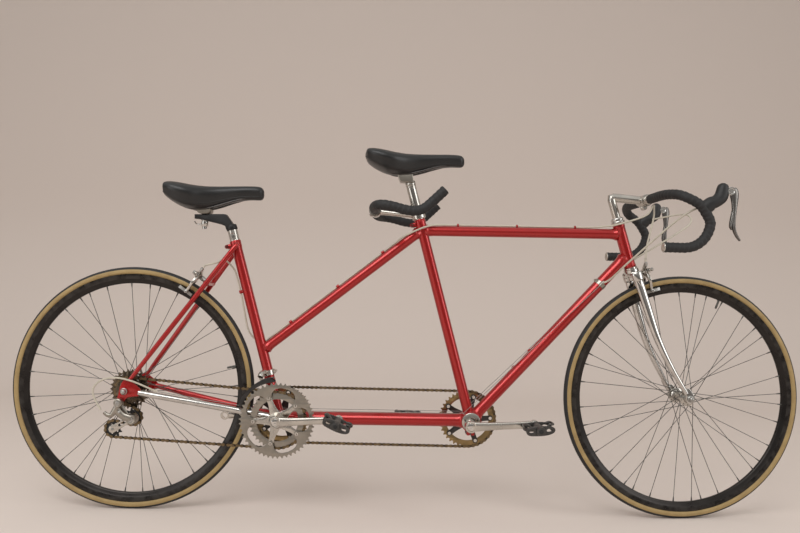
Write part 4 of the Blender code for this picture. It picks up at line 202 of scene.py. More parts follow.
def empty_group(name, inputs, output):
    """A node group with these number inputs and one number output, and the nodes at its two ends."""
    group = bpy.data.node_groups.new(name, "ShaderNodeTree")
    for word in inputs:
        group.interface.new_socket(word, in_out="INPUT", socket_type="NodeSocketFloat")
    group.interface.new_socket(output, in_out="OUTPUT", socket_type="NodeSocketFloat")
    return group, group.nodes.new("NodeGroupInput"), group.nodes.new("NodeGroupOutput")


def mottle_group():
    """A soft cloudy mask over the surface, for smudges, handling marks and small shifts of colour."""
    group, entry, leave = empty_group("mottle", ("Scale", "Sharpness"), "Mask")
    nodes, links = group.nodes, group.links
    place = nodes.new("ShaderNodeTexCoord")
    cloud = nodes.new("ShaderNodeTexNoise")
    cloud.inputs["Detail"].default_value = 4
    spread = nodes.new("ShaderNodeMapRange")
    low = nodes.new("ShaderNodeMath")
    low.operation = "SUBTRACT"
    low.inputs[0].default_value = 0.5
    high = nodes.new("ShaderNodeMath")
    high.operation = "ADD"
    high.inputs[0].default_value = 0.5
    links.new(place.outputs["Object"], cloud.inputs["Vector"])
    links.new(entry.outputs["Scale"], cloud.inputs["Scale"])
    links.new(entry.outputs["Sharpness"], low.inputs[1])
    links.new(entry.outputs["Sharpness"], high.inputs[1])
    links.new(cloud.outputs["Fac"], spread.inputs["Value"])
    links.new(low.outputs["Value"], spread.inputs["From Min"])
    links.new(high.outputs["Value"], spread.inputs["From Max"])
    links.new(spread.outputs["Result"], leave.inputs["Mask"])
    return group


def grain_group():
    """Fine pits as a height, from a noise."""
    group, entry, leave = empty_group("grain", ("Scale",), "Height")
    nodes, links = group.nodes, group.links
    place = nodes.new("ShaderNodeTexCoord")
    pits = nodes.new("ShaderNodeTexNoise")
    pits.inputs["Detail"].default_value = 3
    pits.inputs["Roughness"].default_value = 0.6
    links.new(place.outputs["Object"], pits.inputs["Vector"])
    links.new(entry.outputs["Scale"], pits.inputs["Scale"])
    links.new(pits.outputs["Fac"], leave.inputs["Height"])
    return group


MOTTLE = mottle_group()
GRAIN = grain_group()


def finish_of(name, colour, second, rough, metal, clouds=18, sharp=0.25, grain=900, depth=0.00004):
    """A material that drifts between two colours and two roughnesses, over a fine grain."""
    look = bpy.data.materials.new(name)
    look.use_nodes = True
    nodes, links = look.node_tree.nodes, look.node_tree.links
    shader = nodes["Principled BSDF"]
    mottle = nodes.new("ShaderNodeGroup")
    mottle.node_tree = MOTTLE
    mottle.inputs["Scale"].default_value = clouds
    mottle.inputs["Sharpness"].default_value = sharp
    tint = nodes.new("ShaderNodeMix")
    tint.data_type = "RGBA"
    tint.inputs[6].default_value = (*colour, 1)
    tint.inputs[7].default_value = (*second, 1)
    gloss = nodes.new("ShaderNodeMapRange")
    gloss.inputs["To Min"].default_value = rough[0]
    gloss.inputs["To Max"].default_value = rough[1]
    fine = nodes.new("ShaderNodeGroup")
    fine.node_tree = GRAIN
    fine.inputs["Scale"].default_value = grain
    bump = nodes.new("ShaderNodeBump")
    bump.inputs["Strength"].default_value = 0.5
    bump.inputs["Distance"].default_value = depth
    links.new(mottle.outputs["Mask"], tint.inputs[0])
    links.new(tint.outputs[2], shader.inputs["Base Color"])
    links.new(mottle.outputs["Mask"], gloss.inputs["Value"])
    links.new(gloss.outputs["Result"], shader.inputs["Roughness"])
    links.new(fine.outputs["Height"], bump.inputs["Height"])
    links.new(bump.outputs["Normal"], shader.inputs["Normal"])
    shader.inputs["Metallic"].default_value = metal
    return look


RED = finish_of("candy_red_enamel", (0.33, 0.004, 0.005), (0.44, 0.011, 0.009), (0.24, 0.32), 0.62, 2600, 0.1,
    700, 0.00002)
RED.node_tree.nodes["Principled BSDF"].inputs["Coat Weight"].default_value = 0.7
RED.node_tree.nodes["Principled BSDF"].inputs["Coat Roughness"].default_value = 0.06


def dress(piece, look, body, slot, *nodes):
    """Gives a piece its material, its body and the solids that it stands for. Its finish slot is not used."""
    piece.data.materials.clear()
    piece.data.materials.append(look)
    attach(piece, body)
    if nodes:
        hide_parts(*nodes)
    return piece


def painted(piece, *nodes):
    return dress(piece, RED, "frame", "red_paint", *nodes)


def joined(name, pieces):
    """Several closed forms as one piece."""
    bpy.ops.object.select_all(action="DESELECT")
    for piece in pieces:
        piece.select_set(True)
    bpy.context.view_layer.objects.active = pieces[0]
    bpy.ops.object.join()
    pieces[0].name = pieces[0].data.name = name
    return pieces[0]


FILLET = [(0.0, 0.0042), (0.0035, 0.0024), (0.007, 0.0012), (0.012, 0.0004), (0.018, 0.0)]


def brazed_tube(name, start, end, radius, start_in, end_in):
    """A frame tube with a fillet of brass at each joint that lies this far inside its neighbour."""
    way = (end - start).normalized()
    length = (end - start).length
    stations = [(start_in * 0.5, radius)]
    stations += [(start_in + along, radius + more) for along, more in FILLET]
    stations += [(length - end_in - along, radius + more) for along, more in reversed(FILLET)]
    stations += [(length - end_in * 0.5, radius)]
    route = [start + way * along for along, _ in stations]
    return tube(name, route, [size for _, size in stations], 40)


REAR_AXLE = point(-0.764, 0, 0.336)
FRONT_AXLE = point(0.764, 0, 0.336)
CAPTAIN_BB = point(0.17104, 0, 0.256)
CAPTAIN_SHELL = point(0.17504, 0, 0.261)
STOKER_BB = point(-0.356, 0, 0.2594)
CAPTAIN_SEAT_TOP = point(0.02424, 0, 0.81795)
STOKER_SEAT_TOP = point(-0.48876, 0, 0.74974)
SEAT_UP = point(-0.26135, 0, 0.96524)
SEAT_AHEAD = point(0.96524, 0, 0.26135)
HEAD_UP = point(-0.28402, 0, 0.95882)
HEAD_AHEAD = point(0.95882, 0, 0.28402)
HEAD_LOW = point(0.61387, 0, 0.69494)
HEAD_HIGH = point(0.57922, 0, 0.81192)
SIDEWAYS = point(0, 1, 0)
UP = point(0, 0, 1)


def picked(name, shape):
    """A new object of this mesh or curve, chosen alone."""
    piece = bpy.data.objects.new(name, shape)
    scene.collection.objects.link(piece)
    bpy.ops.object.select_all(action="DESELECT")
    bpy.context.view_layer.objects.active = piece
    piece.select_set(True)
    return piece


def closed_up(piece, apart, angle):
    """Joins places this close, turns the faces outward, and smooths the edges below an angle."""
    bpy.ops.mesh.select_all(action="SELECT")
    bpy.ops.mesh.remove_doubles(threshold=apart)
    bpy.ops.mesh.normals_make_consistent(inside=False)
    bpy.ops.object.mode_set(mode="OBJECT")
    bpy.ops.object.shade_smooth_by_angle(angle=math.radians(angle))
    return piece


def spun(name, profile, centre, axis, steps=48, loop=False, angle=35):
    """A turned piece: its half section, as (along, radius) pairs in millimetres, is spun about its axis."""
    out = axis.orthogonal().normalized()
    places = [centre + axis * (along / 1000) + out * (radius / 1000) for along, radius in profile]
    count = len(places)
    edges = [(turn, (turn + 1) % count) for turn in range(count if loop else count - 1)]
    outline = bpy.data.meshes.new(name)
    outline.from_pydata(places, edges, [])
    piece = picked(name, outline)
    bpy.ops.object.mode_set(mode="EDIT")
    bpy.ops.mesh.select_all(action="SELECT")
    bpy.ops.mesh.spin(steps=steps, angle=2 * math.pi, center=centre, axis=axis)
    return closed_up(piece, 0.000004, angle)


def both_ways(half):
    """A half profile followed by its mirror image."""
    return half + [(-along, radius) for along, radius in reversed(half)]


head_length = (HEAD_HIGH - HEAD_LOW).length * 1000
head_profile = [(6, 14.2), (0, 14.6), (0, 16.2), (1, 16.7), (7, 16.6), (8.5, 15.9)]
head_profile += [(along, 15.9) for along in (30, 60, 90)]
head_profile += [(head_length - 8.5, 15.9), (head_length - 7, 16.6), (head_length - 1, 16.7)]
head_profile += [(head_length, 16.2), (head_length, 14.6), (head_length - 6, 14.2)]
painted(spun("head_tube_painted", head_profile, HEAD_LOW, HEAD_UP, 48, True), "head_tube")

top_joint = HEAD_HIGH - HEAD_UP * 0.0265
top_rear = CAPTAIN_SEAT_TOP - SEAT_UP * ((CAPTAIN_SEAT_TOP.z - top_joint.z) / SEAT_UP.z)
down_joint = HEAD_LOW + HEAD_UP * 0.0335
down_way = (down_joint - CAPTAIN_SHELL).normalized()
down_upward = point(-down_way.z, 0, down_way.x)
painted(brazed_tube("top_tube_painted", top_rear, top_joint, 0.0143, 0.0125, 0.0142), "top_tube")
down = brazed_tube("down_tube_painted", CAPTAIN_SHELL, down_joint, 0.0159, 0.0245, 0.0142)
bosses = []
for reach in (0.19, 0.254):
    foot = CAPTAIN_SHELL + down_way * reach + down_upward * 0.0139
    ring_profile = [(0, 6.2), (2.2, 5.8), (3, 4.6), (4.5, 4.5), (4.5, 2.2), (1.2, 2.1), (1.2, 0)]
    bosses.append(spun("boss", [(0, 0), *ring_profile], foot, down_upward, 20))
painted(joined("down_tube_painted", [down, *bosses]), "down_tube")

middle_high = CAPTAIN_SEAT_TOP - SEAT_UP * 0.03
middle_low = STOKER_BB + SEAT_UP * 0.193
painted(brazed_tube("middle_tube_painted", middle_low, middle_high, 0.0135, 0.015, 0.015), "middle_tube")


# Both seat tubes: open at the top for their posts, with a slot and a binder bolt behind.
# The stoker's also carries its own bottom-bracket shell, faced at both ends.


def seat_tube(name, start, top):
    """A seat tube with its lip at the top, and the two pinch lugs behind it. Also gives its binder bolt's place."""
    length = (top - start).length * 1000
    profile = [(0, 0), (0, 14.5), (length * 0.5, 14.5), (length - 24, 14.5), (length - 18, 15.4)]
    profile += [(length - 1.5, 15.6), (length, 15), (length, 13.95), (length - 20, 13.92), (length - 20, 0)]
    body = spun(name, profile, start, SEAT_UP, 48)
    binder = top - SEAT_UP * 0.0115 - SEAT_AHEAD * 0.0245
    lugs = []
    for side in (-1, 1):
        lug = tube("lug", [binder + SEAT_AHEAD * 0.013 + SIDEWAYS * side * 0.0035,
            binder + SEAT_AHEAD * 0.006 + SIDEWAYS * side * 0.0045, binder + SIDEWAYS * side * 0.0046,
            binder - SEAT_AHEAD * 0.003 + SIDEWAYS * side * 0.0046],
            [(0.0028, 0.0072), (0.003, 0.0066), (0.0036, 0.006), (0.003, 0.0044)], 16)
        ear = spun("ear", [(0, 0), (0, 5), (0.8, 5.8), (8.5, 5.8), (9.3, 5.2), (9.3, 0)],
            binder + SIDEWAYS * (side * 0.0014), SIDEWAYS * side, 24)
        lugs += [lug, ear]
    return joined(name, [body, *lugs]), binder


captain_tube, captain_binder = seat_tube("captain_seat_tube_painted", CAPTAIN_SHELL, CAPTAIN_SEAT_TOP)
painted(captain_tube, "captain_seat_tube")
stoker_tube, stoker_binder = seat_tube("stoker_seat_tube_painted", STOKER_BB, STOKER_SEAT_TOP)
shell_profile = [(-30, 8.8), (-34, 9.4), (-34, 19), (-33, 20.2), (-29, 20.2), (-27.5, 19.6)]
stoker_shell = spun("stoker_shell", both_ways(shell_profile), STOKER_BB, SIDEWAYS, 48, True)
painted(joined("stoker_seat_tube_painted", [stoker_tube, stoker_shell]), "stoker_seat_tube")

# Blackened steel for the bolts, bearing cups, rails and adjuster; the same dark finish is also the painted shade of
# the eccentric's spanner holes.
DARK_STEEL_AND_HOLE_SHADE = finish_of("blackened_steel_and_hole_shade", (0.055, 0.053, 0.052), (0.11, 0.1, 0.095), (0.3, 0.45), 0.9, 60, 0.2,
    1500)
for name, binder in (("captain_binder_bolt", captain_binder), ("stoker_binder_bolt", stoker_binder)):
    heads = []
    for side in (-1, 1):
        socket = [(0, 0), (0, 4.2), (11.2, 4.2), (12.2, 3.6), (12.2, 2.1), (9.5, 2), (9.5, 0)]
        heads.append(spun("head", socket, binder, SIDEWAYS * side, 20))
    dress(joined(name, heads), DARK_STEEL_AND_HOLE_SHADE, "frame", "steel")

# The bottom tube, with the captain's large shell at its end, split below and drawn shut by two pinch bolts.
# The shell grips an eccentric insert, turned with a pin spanner in its two holes to tension the timing chain; each
# hole is a dark disc of painted shade.
boom = brazed_tube("boom", STOKER_BB, CAPTAIN_SHELL, 0.018, 0.018, 0.026)
big_shell = [(-30, 25.9), (-34, 26), (-34, 27.2), (-33.1, 28.1), (0, 28.3)]
big_shell += [(-along, radius) for along, radius in reversed(big_shell[:-1])]
shell = spun("shell", big_shell, CAPTAIN_SHELL, SIDEWAYS, 64, True)
ears = []
for end in (-1, 1):
    bpy.ops.mesh.primitive_cube_add(size=1, location=CAPTAIN_SHELL + point(end * 0.0062, 0, -0.0325))
    ear = bpy.context.object
    bpy.ops.object.mode_set(mode="EDIT")
    bpy.ops.mesh.select_all(action="SELECT")
    bpy.ops.transform.resize(value=(0.0092, 0.044, 0.013))
    bpy.ops.mesh.bevel(offset=0.0018, segments=3, affect="EDGES")
    bpy.ops.object.mode_set(mode="OBJECT")
    bpy.ops.object.transform_apply(location=True, rotation=False, scale=False)
    bpy.ops.object.shade_smooth_by_angle(angle=math.radians(35))
    ears.append(ear)
painted(joined("bottom_tube_painted", [boom, shell, *ears]), "bottom_tube")
pinch_bolts = []
for side in (-1, 1):
    socket = [(-12.8, 0), (-12.8, 4), (-11.8, 4.5), (11.8, 4.5), (12.8, 4), (12.8, 2), (10, 2), (10, 0)]
    pinch_bolts.append(spun("pinch", socket, CAPTAIN_SHELL + point(0, side * 0.011, -0.0335), point(1, 0, 0), 20))
dress(joined("pinch_bolts", pinch_bolts), DARK_STEEL_AND_HOLE_SHADE, "frame", "steel")
ALLOY = finish_of("polished_alloy", (0.6, 0.57, 0.52), (0.48, 0.455, 0.415), (0.15, 0.28), 1.0, 26, 0.18, 1200,
    0.00002)
insert_half = [(-34.6, 11), (-34.6, 23.8), (-33.8, 25.4), (-30, 25.6)]
insert = spun("insert", both_ways(insert_half), CAPTAIN_SHELL, SIDEWAYS, 64, True)
dress(insert, ALLOY, "frame", "polished_alloy", "eccentric_insert")
insert.name = "eccentric_insert_turned"
# Each spanner hole is a dark disc on the insert's face, not a cut: painted shade where the hole would be.
pin_holes = []
for side in (-1, 1):
    for across in (-1, 1):
        dot = CAPTAIN_SHELL + point(across * 0.0175, side * 0.0343, 0.006)
        pin_holes.append(spun("pin_hole", [(-2, 0), (-2, 2.2), (0.4, 2.2), (0.5, 1.8), (0.5, 0)], dot,
            SIDEWAYS * side, 16))
    cup = [(0, 0), (0, 11.2), (4, 11.2), (5.2, 10.4), (5.2, 9.2), (4, 8.8), (4, 0)]
    pin_holes.append(spun("bearing_cup", cup, CAPTAIN_BB + SIDEWAYS * (side * 0.0325), SIDEWAYS * side, 32))
dress(joined("eccentric_pin_holes", pin_holes), DARK_STEEL_AND_HOLE_SHADE, "frame", "steel")


# The rear stays: slender tapered tubes, capped at the top where they meet the seat tube's sides.
# Each ends in a flat forged dropout, and the right one also carries the hanger for the rear derailleur.


def flat_plate(name, outline, holes, low, high, bevel=0.0004, place=None, steps=1):
    """A plate square to Y: its outline and holes are drawn as a flat curve, thickened and bevelled."""
    drawing = bpy.data.curves.new(name, "CURVE")
    drawing.dimensions = "2D"
    drawing.fill_mode = "BOTH"
    for loop in (outline, *holes):
        line = drawing.splines.new("POLY")
        line.points.add(len(loop) - 1)
        for spot, (x, z) in zip(line.points, loop):
            spot.co = (x, z, 0, 1)
        line.use_cyclic_u = True
    drawing.extrude = (high - low) / 2 - bevel
    drawing.bevel_depth = bevel
    drawing.bevel_resolution = steps
    drawing.offset = -bevel
    picked(name, drawing)
    bpy.ops.object.convert(target="MESH")
    piece = bpy.context.object
    turn = Matrix.Translation((0, (low + high) / 2, 0)) @ Matrix.Rotation(math.radians(90), 4, "X")
    piece.data.transform((place or Matrix.Identity(4)) @ turn)
    bpy.ops.object.mode_set(mode="EDIT")
    return closed_up(piece, 0.00001, 30)


def around(centre, radius, degrees):
    """The (x, z) place this far from a centre, at this angle from straight ahead."""
    angle = math.radians(degrees)
    return centre.x + radius * math.cos(angle), centre.z + radius * math.sin(angle)


def place_round(centre, radius, degrees, y=0):
    x, z = around(centre, radius, degrees)
    return point(x, y, z)


def hole(centre, radius, steps=24):
    return [around(centre, radius, 360 * turn / steps) for turn in range(steps)]


def curve_place(a, b, c, d, t):
    """The place this share of the way from b to c, on the smooth curve through all four."""
    lead = (c - a) * (t * (1 - t) ** 2 / 2)
    trail = (d - b) * (t * t * (t - 1) / 2)
    return b * ((1 + 2 * t) * (1 - t) ** 2) + c * (t * t * (3 - 2 * t)) + lead + trail


def smooth_route(knots, steps):
    """Points on a smooth curve through the knots."""
    ends = [knots[0] * 2 - knots[1], *knots, knots[-1] * 2 - knots[-2]]
    found = []
    for turn in range(len(knots) - 1):
        found += [curve_place(*ends[turn : turn + 4], part / steps) for part in range(steps)]
    return found + [knots[-1]]


def eased(sizes, steps):
    """(Half width, half height) pairs, eased like the route that they belong to."""
    return [pair.xy[:] for pair in smooth_route([point(wide, tall, 0) for wide, tall in sizes], steps)]


def rounded(outline, steps=4):
    """A closed outline with every corner eased by a curve through its corners and middles."""
    spots = []
    for turn, (x, z) in enumerate(outline):
        nx, nz = outline[(turn + 1) % len(outline)]
        spots.append(point(x, 0, z))
        spots.append(point((x + nx) / 2, 0, (z + nz) / 2))
    found = []
    count = len(spots)
    for turn in range(0, count, 2):
        before, corner, after = spots[turn - 1], spots[turn], spots[(turn + 1) % count]
        for part in range(steps):
            t = part / steps
            spot = before * (1 - t) ** 2 + corner * (2 * t * (1 - t)) + after * (t * t)
            found.append((spot.x, spot.z))
    return found


DROPOUT = [(0.046, -0.012), (0.046, 0.004), (0.026, 0.022), (0.008, 0.034), (-0.004, 0.03), (-0.013, 0.01),
    (-0.015, -0.008)]
HANGER_LOBE = [(-0.022, -0.024), (-0.022, -0.037), (-0.006, -0.04), (0.0, -0.026)]
DROPOUT_FRONT = [(0.008, -0.016), (0.024, -0.014)]
stay_high = STOKER_SEAT_TOP - SEAT_UP * 0.018
stay_low = REAR_AXLE + point(0.013, 0, 0.03)
stay_down = (stay_low - stay_high).normalized()
bridge = point(-0.55901, 0, 0.6295)
for word, side in (("right", -1), ("left", 1)):
    start = stay_high + SIDEWAYS * side * 0.0235
    end = stay_low + SIDEWAYS * side * 0.073
    cap = start - stay_down * 0.013 - SIDEWAYS * side * 0.0045
    route = [cap, cap.lerp(start, 0.12), cap.lerp(start, 0.35), start, start.lerp(end, 0.05),
        start.lerp(end, 0.6), start.lerp(end, 0.93), end]
    stay = tube("stay", route, [0.0022, 0.0046, 0.0062, 0.007, 0.007, 0.0068, 0.0061, 0.005], 28)
    outline = DROPOUT + (HANGER_LOBE if side < 0 else []) + DROPOUT_FRONT
    outline = rounded([(REAR_AXLE.x + x, REAR_AXLE.z + z) for x, z in outline])
    holes = [hole(REAR_AXLE, 0.0054)]
    if side < 0:
        holes.append(hole(REAR_AXLE + point(-0.012, 0, -0.03), 0.0054))
    low, high = sorted((side * 0.0701, side * 0.076))
    fork_end = flat_plate("fork_end", outline, holes, low, high, 0.0009, None, 2)
    parts = [stay, fork_end]
    if side > 0:
        parts.append(tube("bridge", [bridge - SIDEWAYS * 0.0365, bridge - SIDEWAYS * 0.031,
            bridge - SIDEWAYS * 0.024, bridge + SIDEWAYS * 0.024, bridge + SIDEWAYS * 0.031,
            bridge + SIDEWAYS * 0.0365], [0.0085, 0.0072, 0.0064, 0.0064, 0.0072, 0.0085], 20))
    painted(joined(f"seatstay_{word}_painted", parts), f"seatstay_{word}")

CHROME = finish_of("bright_chrome", (0.66, 0.64, 0.61), (0.54, 0.52, 0.49), (0.05, 0.14), 1.0, 34, 0.16, 900,
    0.000008)
for word, side, look, slot in (("right", -1, CHROME, "chrome"), ("left", 1, RED, "red_paint")):
    start = STOKER_BB + point(-0.004, side * 0.021, 0.001)
    end = REAR_AXLE + point(0.036, side * 0.073, -0.003)
    knots = []
    sizes = []
    for share, reach in ((0.0, 0.021), (0.16, 0.025), (0.3, 0.029), (0.5, 0.0405), (0.75, 0.057), (0.96, 0.0715),
            (1.0, 0.073)):
        place = start.lerp(end, share)
        place.y = side * reach
        knots.append(place)
    route = smooth_route(knots, 4)
    for turn in range(len(route)):
        share = turn / (len(route) - 1)
        tall = 0.0105 - 0.003 * share
        sizes.append((tall * (0.78 + 0.22 * share), tall))
    sizes[-1] = (0.0045, 0.006)
    dress(tube(f"chainstay_{word}_finished", route, sizes, 28), look, "frame", slot, f"chainstay_{word}")

# Both wheels. A black road tyre with a tan casing band sits in a narrow dark anodised rim.
# Thirty-six steel spokes cross from the hub's flanges to their nipples, with a valve between two of them.
CROWN = point(0.61728, 0, 0.68344)
STEER = Matrix.Translation(CROWN) @ Matrix.Rotation(math.radians(5), 4, HEAD_UP) @ Matrix.Translation(-CROWN)
RUBBER = finish_of("tyre_rubber", (0.01, 0.0098, 0.0098), (0.02, 0.019, 0.018), (0.55, 0.72), 0.0, 14, 0.3, 1500,
    0.0001)
TAN = finish_of("tan_casing", (0.38, 0.265, 0.11), (0.29, 0.195, 0.078), (0.55, 0.7), 0.0, 40, 0.25, 1800,
    0.00008)
RIM = finish_of("dark_anodised_rim", (0.024, 0.021, 0.02), (0.04, 0.036, 0.033), (0.24, 0.36), 0.85, 20, 0.25,
    1600, 0.00001)
TRACK = finish_of("worn_brake_track", (0.032, 0.029, 0.027), (0.058, 0.053, 0.049), (0.26, 0.4), 0.9, 55, 0.12,
    1400, 0.00003)
SPOKE = finish_of("stainless_spokes", (0.135, 0.13, 0.12), (0.085, 0.082, 0.076), (0.38, 0.5), 0.8, 30, 0.2, 900,
    0.00001)
BLACK_RUBBER = finish_of("black_rubber", (0.009, 0.009, 0.009), (0.017, 0.0165, 0.016), (0.5, 0.7), 0.0, 60,
    0.25, 1500, 0.00006)


def tyre(name, axle, body, node, steered):
    half = [(8.8, 316.8), (11.2, 318.4), (12.3, 321.2), (12.5, 324), (12.1, 326.8), (11.3, 329.1)]
    half += [(10, 331.4), (7.9, 333.5), (6.2, 334.5), (5.8, 334.1), (5.4, 334.9), (3.4, 335.6)]
    half += [(3, 335.2), (2.6, 335.8)]
    profile = [(-along, radius) for along, radius in half] + [(0, 336)] + list(reversed(half))
    piece = spun(name, profile, axle, SIDEWAYS, 160, True)
    piece.data.materials.append(RUBBER)
    piece.data.materials.append(TAN)
    for face in piece.data.polygons:
        reach = (face.center - axle).length
        if reach < 0.3302 and abs(face.center.y) > 0.0088:
            face.material_index = 1
    if steered:
        piece.data.transform(STEER)
    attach(piece, body)
    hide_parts(node)


def rim(name, axle, valve_angle, body, node, steered):
    half = [(-7, 317.2), (-8.8, 317), (-9.5, 316.4), (-9.5, 303.4), (-9, 302.6), (-8.4, 301.6)]
    half += [(-6.2, 295), (-5, 292.2), (-3.4, 291.1), (-1.5, 290.8)]
    hoop = spun(name, both_ways(half), axle, SIDEWAYS, 160, True)
    hoop.data.materials.append(RIM)
    hoop.data.materials.append(TRACK)
    for face in hoop.data.polygons:
        if abs(face.center.y) > 0.00935:
            face.material_index = 1
    if steered:
        hoop.data.transform(STEER)
    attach(hoop, body)
    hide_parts(node)
    foot = place_round(axle, 0.2915, valve_angle)
    inward = (axle - foot).normalized()
    stem = [(0, 0), (0, 4.2), (1.8, 4.2), (2, 3), (12.5, 3), (12.8, 2.6), (15, 2.6)]
    stem += [(15.2, 3.1), (24, 2.9), (25.8, 1.8), (26, 0)]
    valve = spun(name + "_valve", stem, foot, inward, 20)
    if steered:
        valve.data.transform(STEER)
    dress(valve, SPOKE, body, "steel")


def copied(name, source, places):
    """One piece made of a copy of the source at each place."""
    copies = []
    for place in places:
        again = source.copy()
        again.data = source.data.copy()
        again.data.transform(place)
        scene.collection.objects.link(again)
        copies.append(again)
    bpy.data.objects.remove(source)
    return joined(name, copies)


def between(start, end):
    """The place matrix of a piece made along Z from the origin, laid from start towards end."""
    return Matrix.Translation(start) @ (end - start).to_track_quat("Z", "Y").to_matrix().to_4x4()


def laced(axle, sides, flange_radius):
    """The start and end of every spoke: tangent to the flanges, heads in and heads out in turn."""
    found = []
    for flange_y, first in sides:
        for turn in range(18):
            angle = first + 20 * turn
            lean = 58 if turn % 2 else -58
            outside = 0.0017 if turn % 2 else -0.0017
            start = place_round(axle, flange_radius - 0.0035, angle, flange_y + outside)
            end = place_round(axle, 0.2912, angle + lean, math.copysign(0.0018, flange_y))
            found.append((start, end, flange_y, outside))
    return found


def wheel_metal(name, axle, sides, flange_radius, hub_profile, body, node, steered):
    """The hub shell, the spokes, their nipples and their heads, as one piece each."""
    shell = spun(name + "_shell", hub_profile, axle, SIDEWAYS, 48, True)
    lacing = laced(axle, sides, flange_radius)
    bolt = spun("spoke", [(-0.5, 0), (-0.5, 0.95), (200, 0.88), (1000, 0.88), (1000, 0)], point(0, 0, 0), UP, 8)
    places = []
    for start, end, _, _ in lacing:
        places.append(between(start, end) @ Matrix.Diagonal((1, 1, (end - start).length, 1)))
    steel = copied(name + "_spokes", bolt, places)
    nipple = spun("nipple", [(-12.5, 0), (-12.5, 1.25), (-6, 1.85), (0.6, 2.1), (0.6, 0)], point(0, 0, 0), UP, 10)
    nipple_places = [between(end, end + (end - start)) for start, end, _, _ in lacing]
    nipples = copied(name + "_nipples", nipple, nipple_places)
    head = spun("head", [(-0.2, 0), (-0.2, 1.6), (0.5, 1.5), (1, 0.9), (1.2, 0)], point(0, 0, 0), UP, 10)
    places = []
    for start, _, flange_y, outside in lacing:
        facing = SIDEWAYS * (-1 if outside > 0 else 1)
        seat = point(start.x, flange_y, start.z) + facing * 0.00265
        places.append(between(seat, seat + facing))
    heads = copied(name + "_heads", head, places)
    for piece in (shell, steel, nipples, heads):
        if steered:
            piece.data.transform(STEER)
    dress(shell, ALLOY, body, "polished_alloy", node)
    dress(steel, SPOKE, body, "polished_alloy", node)
    dress(nipples, SPOKE, body, "polished_alloy")
    dress(heads, SPOKE, body, "polished_alloy")


def flange(y, radius):
    """A hub flange in half section, from its outer face in."""
    lip = radius - 0.3
    return [(y - 2.6, radius - 1.2), (y - 2, lip), (y + 2, lip), (y + 2.6, radius - 1.2), (y + 2.6, radius - 7)]


tyre("rear_tyre_moulded", REAR_AXLE, "rear_wheel", "rear_tyre", False)
rim("rear_rim_hoop", REAR_AXLE, 12.9, "rear_wheel", "rear_rim", False)
rear_hub = [(-66, 5.6), (-66, 14.8), (-65, 15.5), (-26.2, 15.5), (-26, 18), *flange(-21, 24.5)]
rear_hub += [(-15, 15.2), (-8, 14), (20, 14), (27.5, 15.2), (33.4, 18)]
rear_hub += [*flange(36, 24.5)[:4], (39, 17), (50, 14.5), (62, 12.5), (66, 11), (66, 5.6)]
wheel_metal("rear_hub", REAR_AXLE, ((0.036, 4), (-0.021, 14)), 0.0245, rear_hub, "rear_wheel",
    "rear_hub_and_spokes", False)
tyre("front_tyre_moulded", FRONT_AXLE, "front_wheel", "front_tyre", True)
rim("front_rim_hoop", FRONT_AXLE, 68.4, "front_wheel", "front_rim", True)
front_half = [(-45.8, 5.6), (-45.8, 8.5), (-44.5, 10.5), (-39.5, 12.5), (-37.8, 16), (-37.6, 20.3), (-37, 21.2)]
front_half += [(-33, 21.2), (-32.4, 20.3), (-32.4, 15), (-30, 11.8), (-24, 9.8), (-8, 9.4)]
wheel_metal("front_hub", FRONT_AXLE, ((0.035, 4), (-0.035, 14)), 0.0215, both_ways(front_half), "front_wheel",
    "front_hub_and_spokes", True)

# The axles with their locknuts and the quick-release skewers, whose nuts sit on the right of the bike.
# Each lever on the left turns a cam across the skewer and folds up beside its stay or blade.
STEEL = finish_of("satin_steel", (0.46, 0.45, 0.43), (0.36, 0.35, 0.33), (0.26, 0.42), 1.0, 60, 0.2, 1400,
    0.00002)


def axle_and_skewer(name, axle, half, body, node, steered):
    """The axle, its locknuts and the skewer's nut, for dropouts whose inner faces are half from the middle, in mm."""
    face = half + 6.3
    profile = [(-face - 14.2, 0), (-face - 14.2, 4.2), (-face - 12.8, 6), (-face - 6, 7.8), (-face - 5, 9.2)]
    profile += [(-face - 1, 9.5), (-face, 9), (-face, 5), (0.3 - half, 5), (0.3 - half, 8), (1 - half, 8.5),
        (3.5 - half, 8.5)]
    profile += [(3.5 - half, 5), (half - 3.5, 5), (half - 3.5, 8.5), (half - 1, 8.5), (half - 0.3, 8),
        (half - 0.3, 5)]
    profile += [(face, 5), (face, 9), (face + 1, 9.5), (face + 4.5, 9.2), (face + 6, 7.6), (face + 6, 0)]
    piece = spun(name, profile, axle, SIDEWAYS, 40)
    socket = [(0, 0), (0, 2.5), (1.2, 2.5), (1.6, 1.8), (1.6, 0)]
    tip = spun("skewer_tip", socket, axle - SIDEWAYS * ((face + 14.1) / 1000), -SIDEWAYS, 16)
    piece = joined(name, [piece, tip])
    if steered:
        piece.data.transform(STEER)
    dress(piece, STEEL, body, "steel", node)


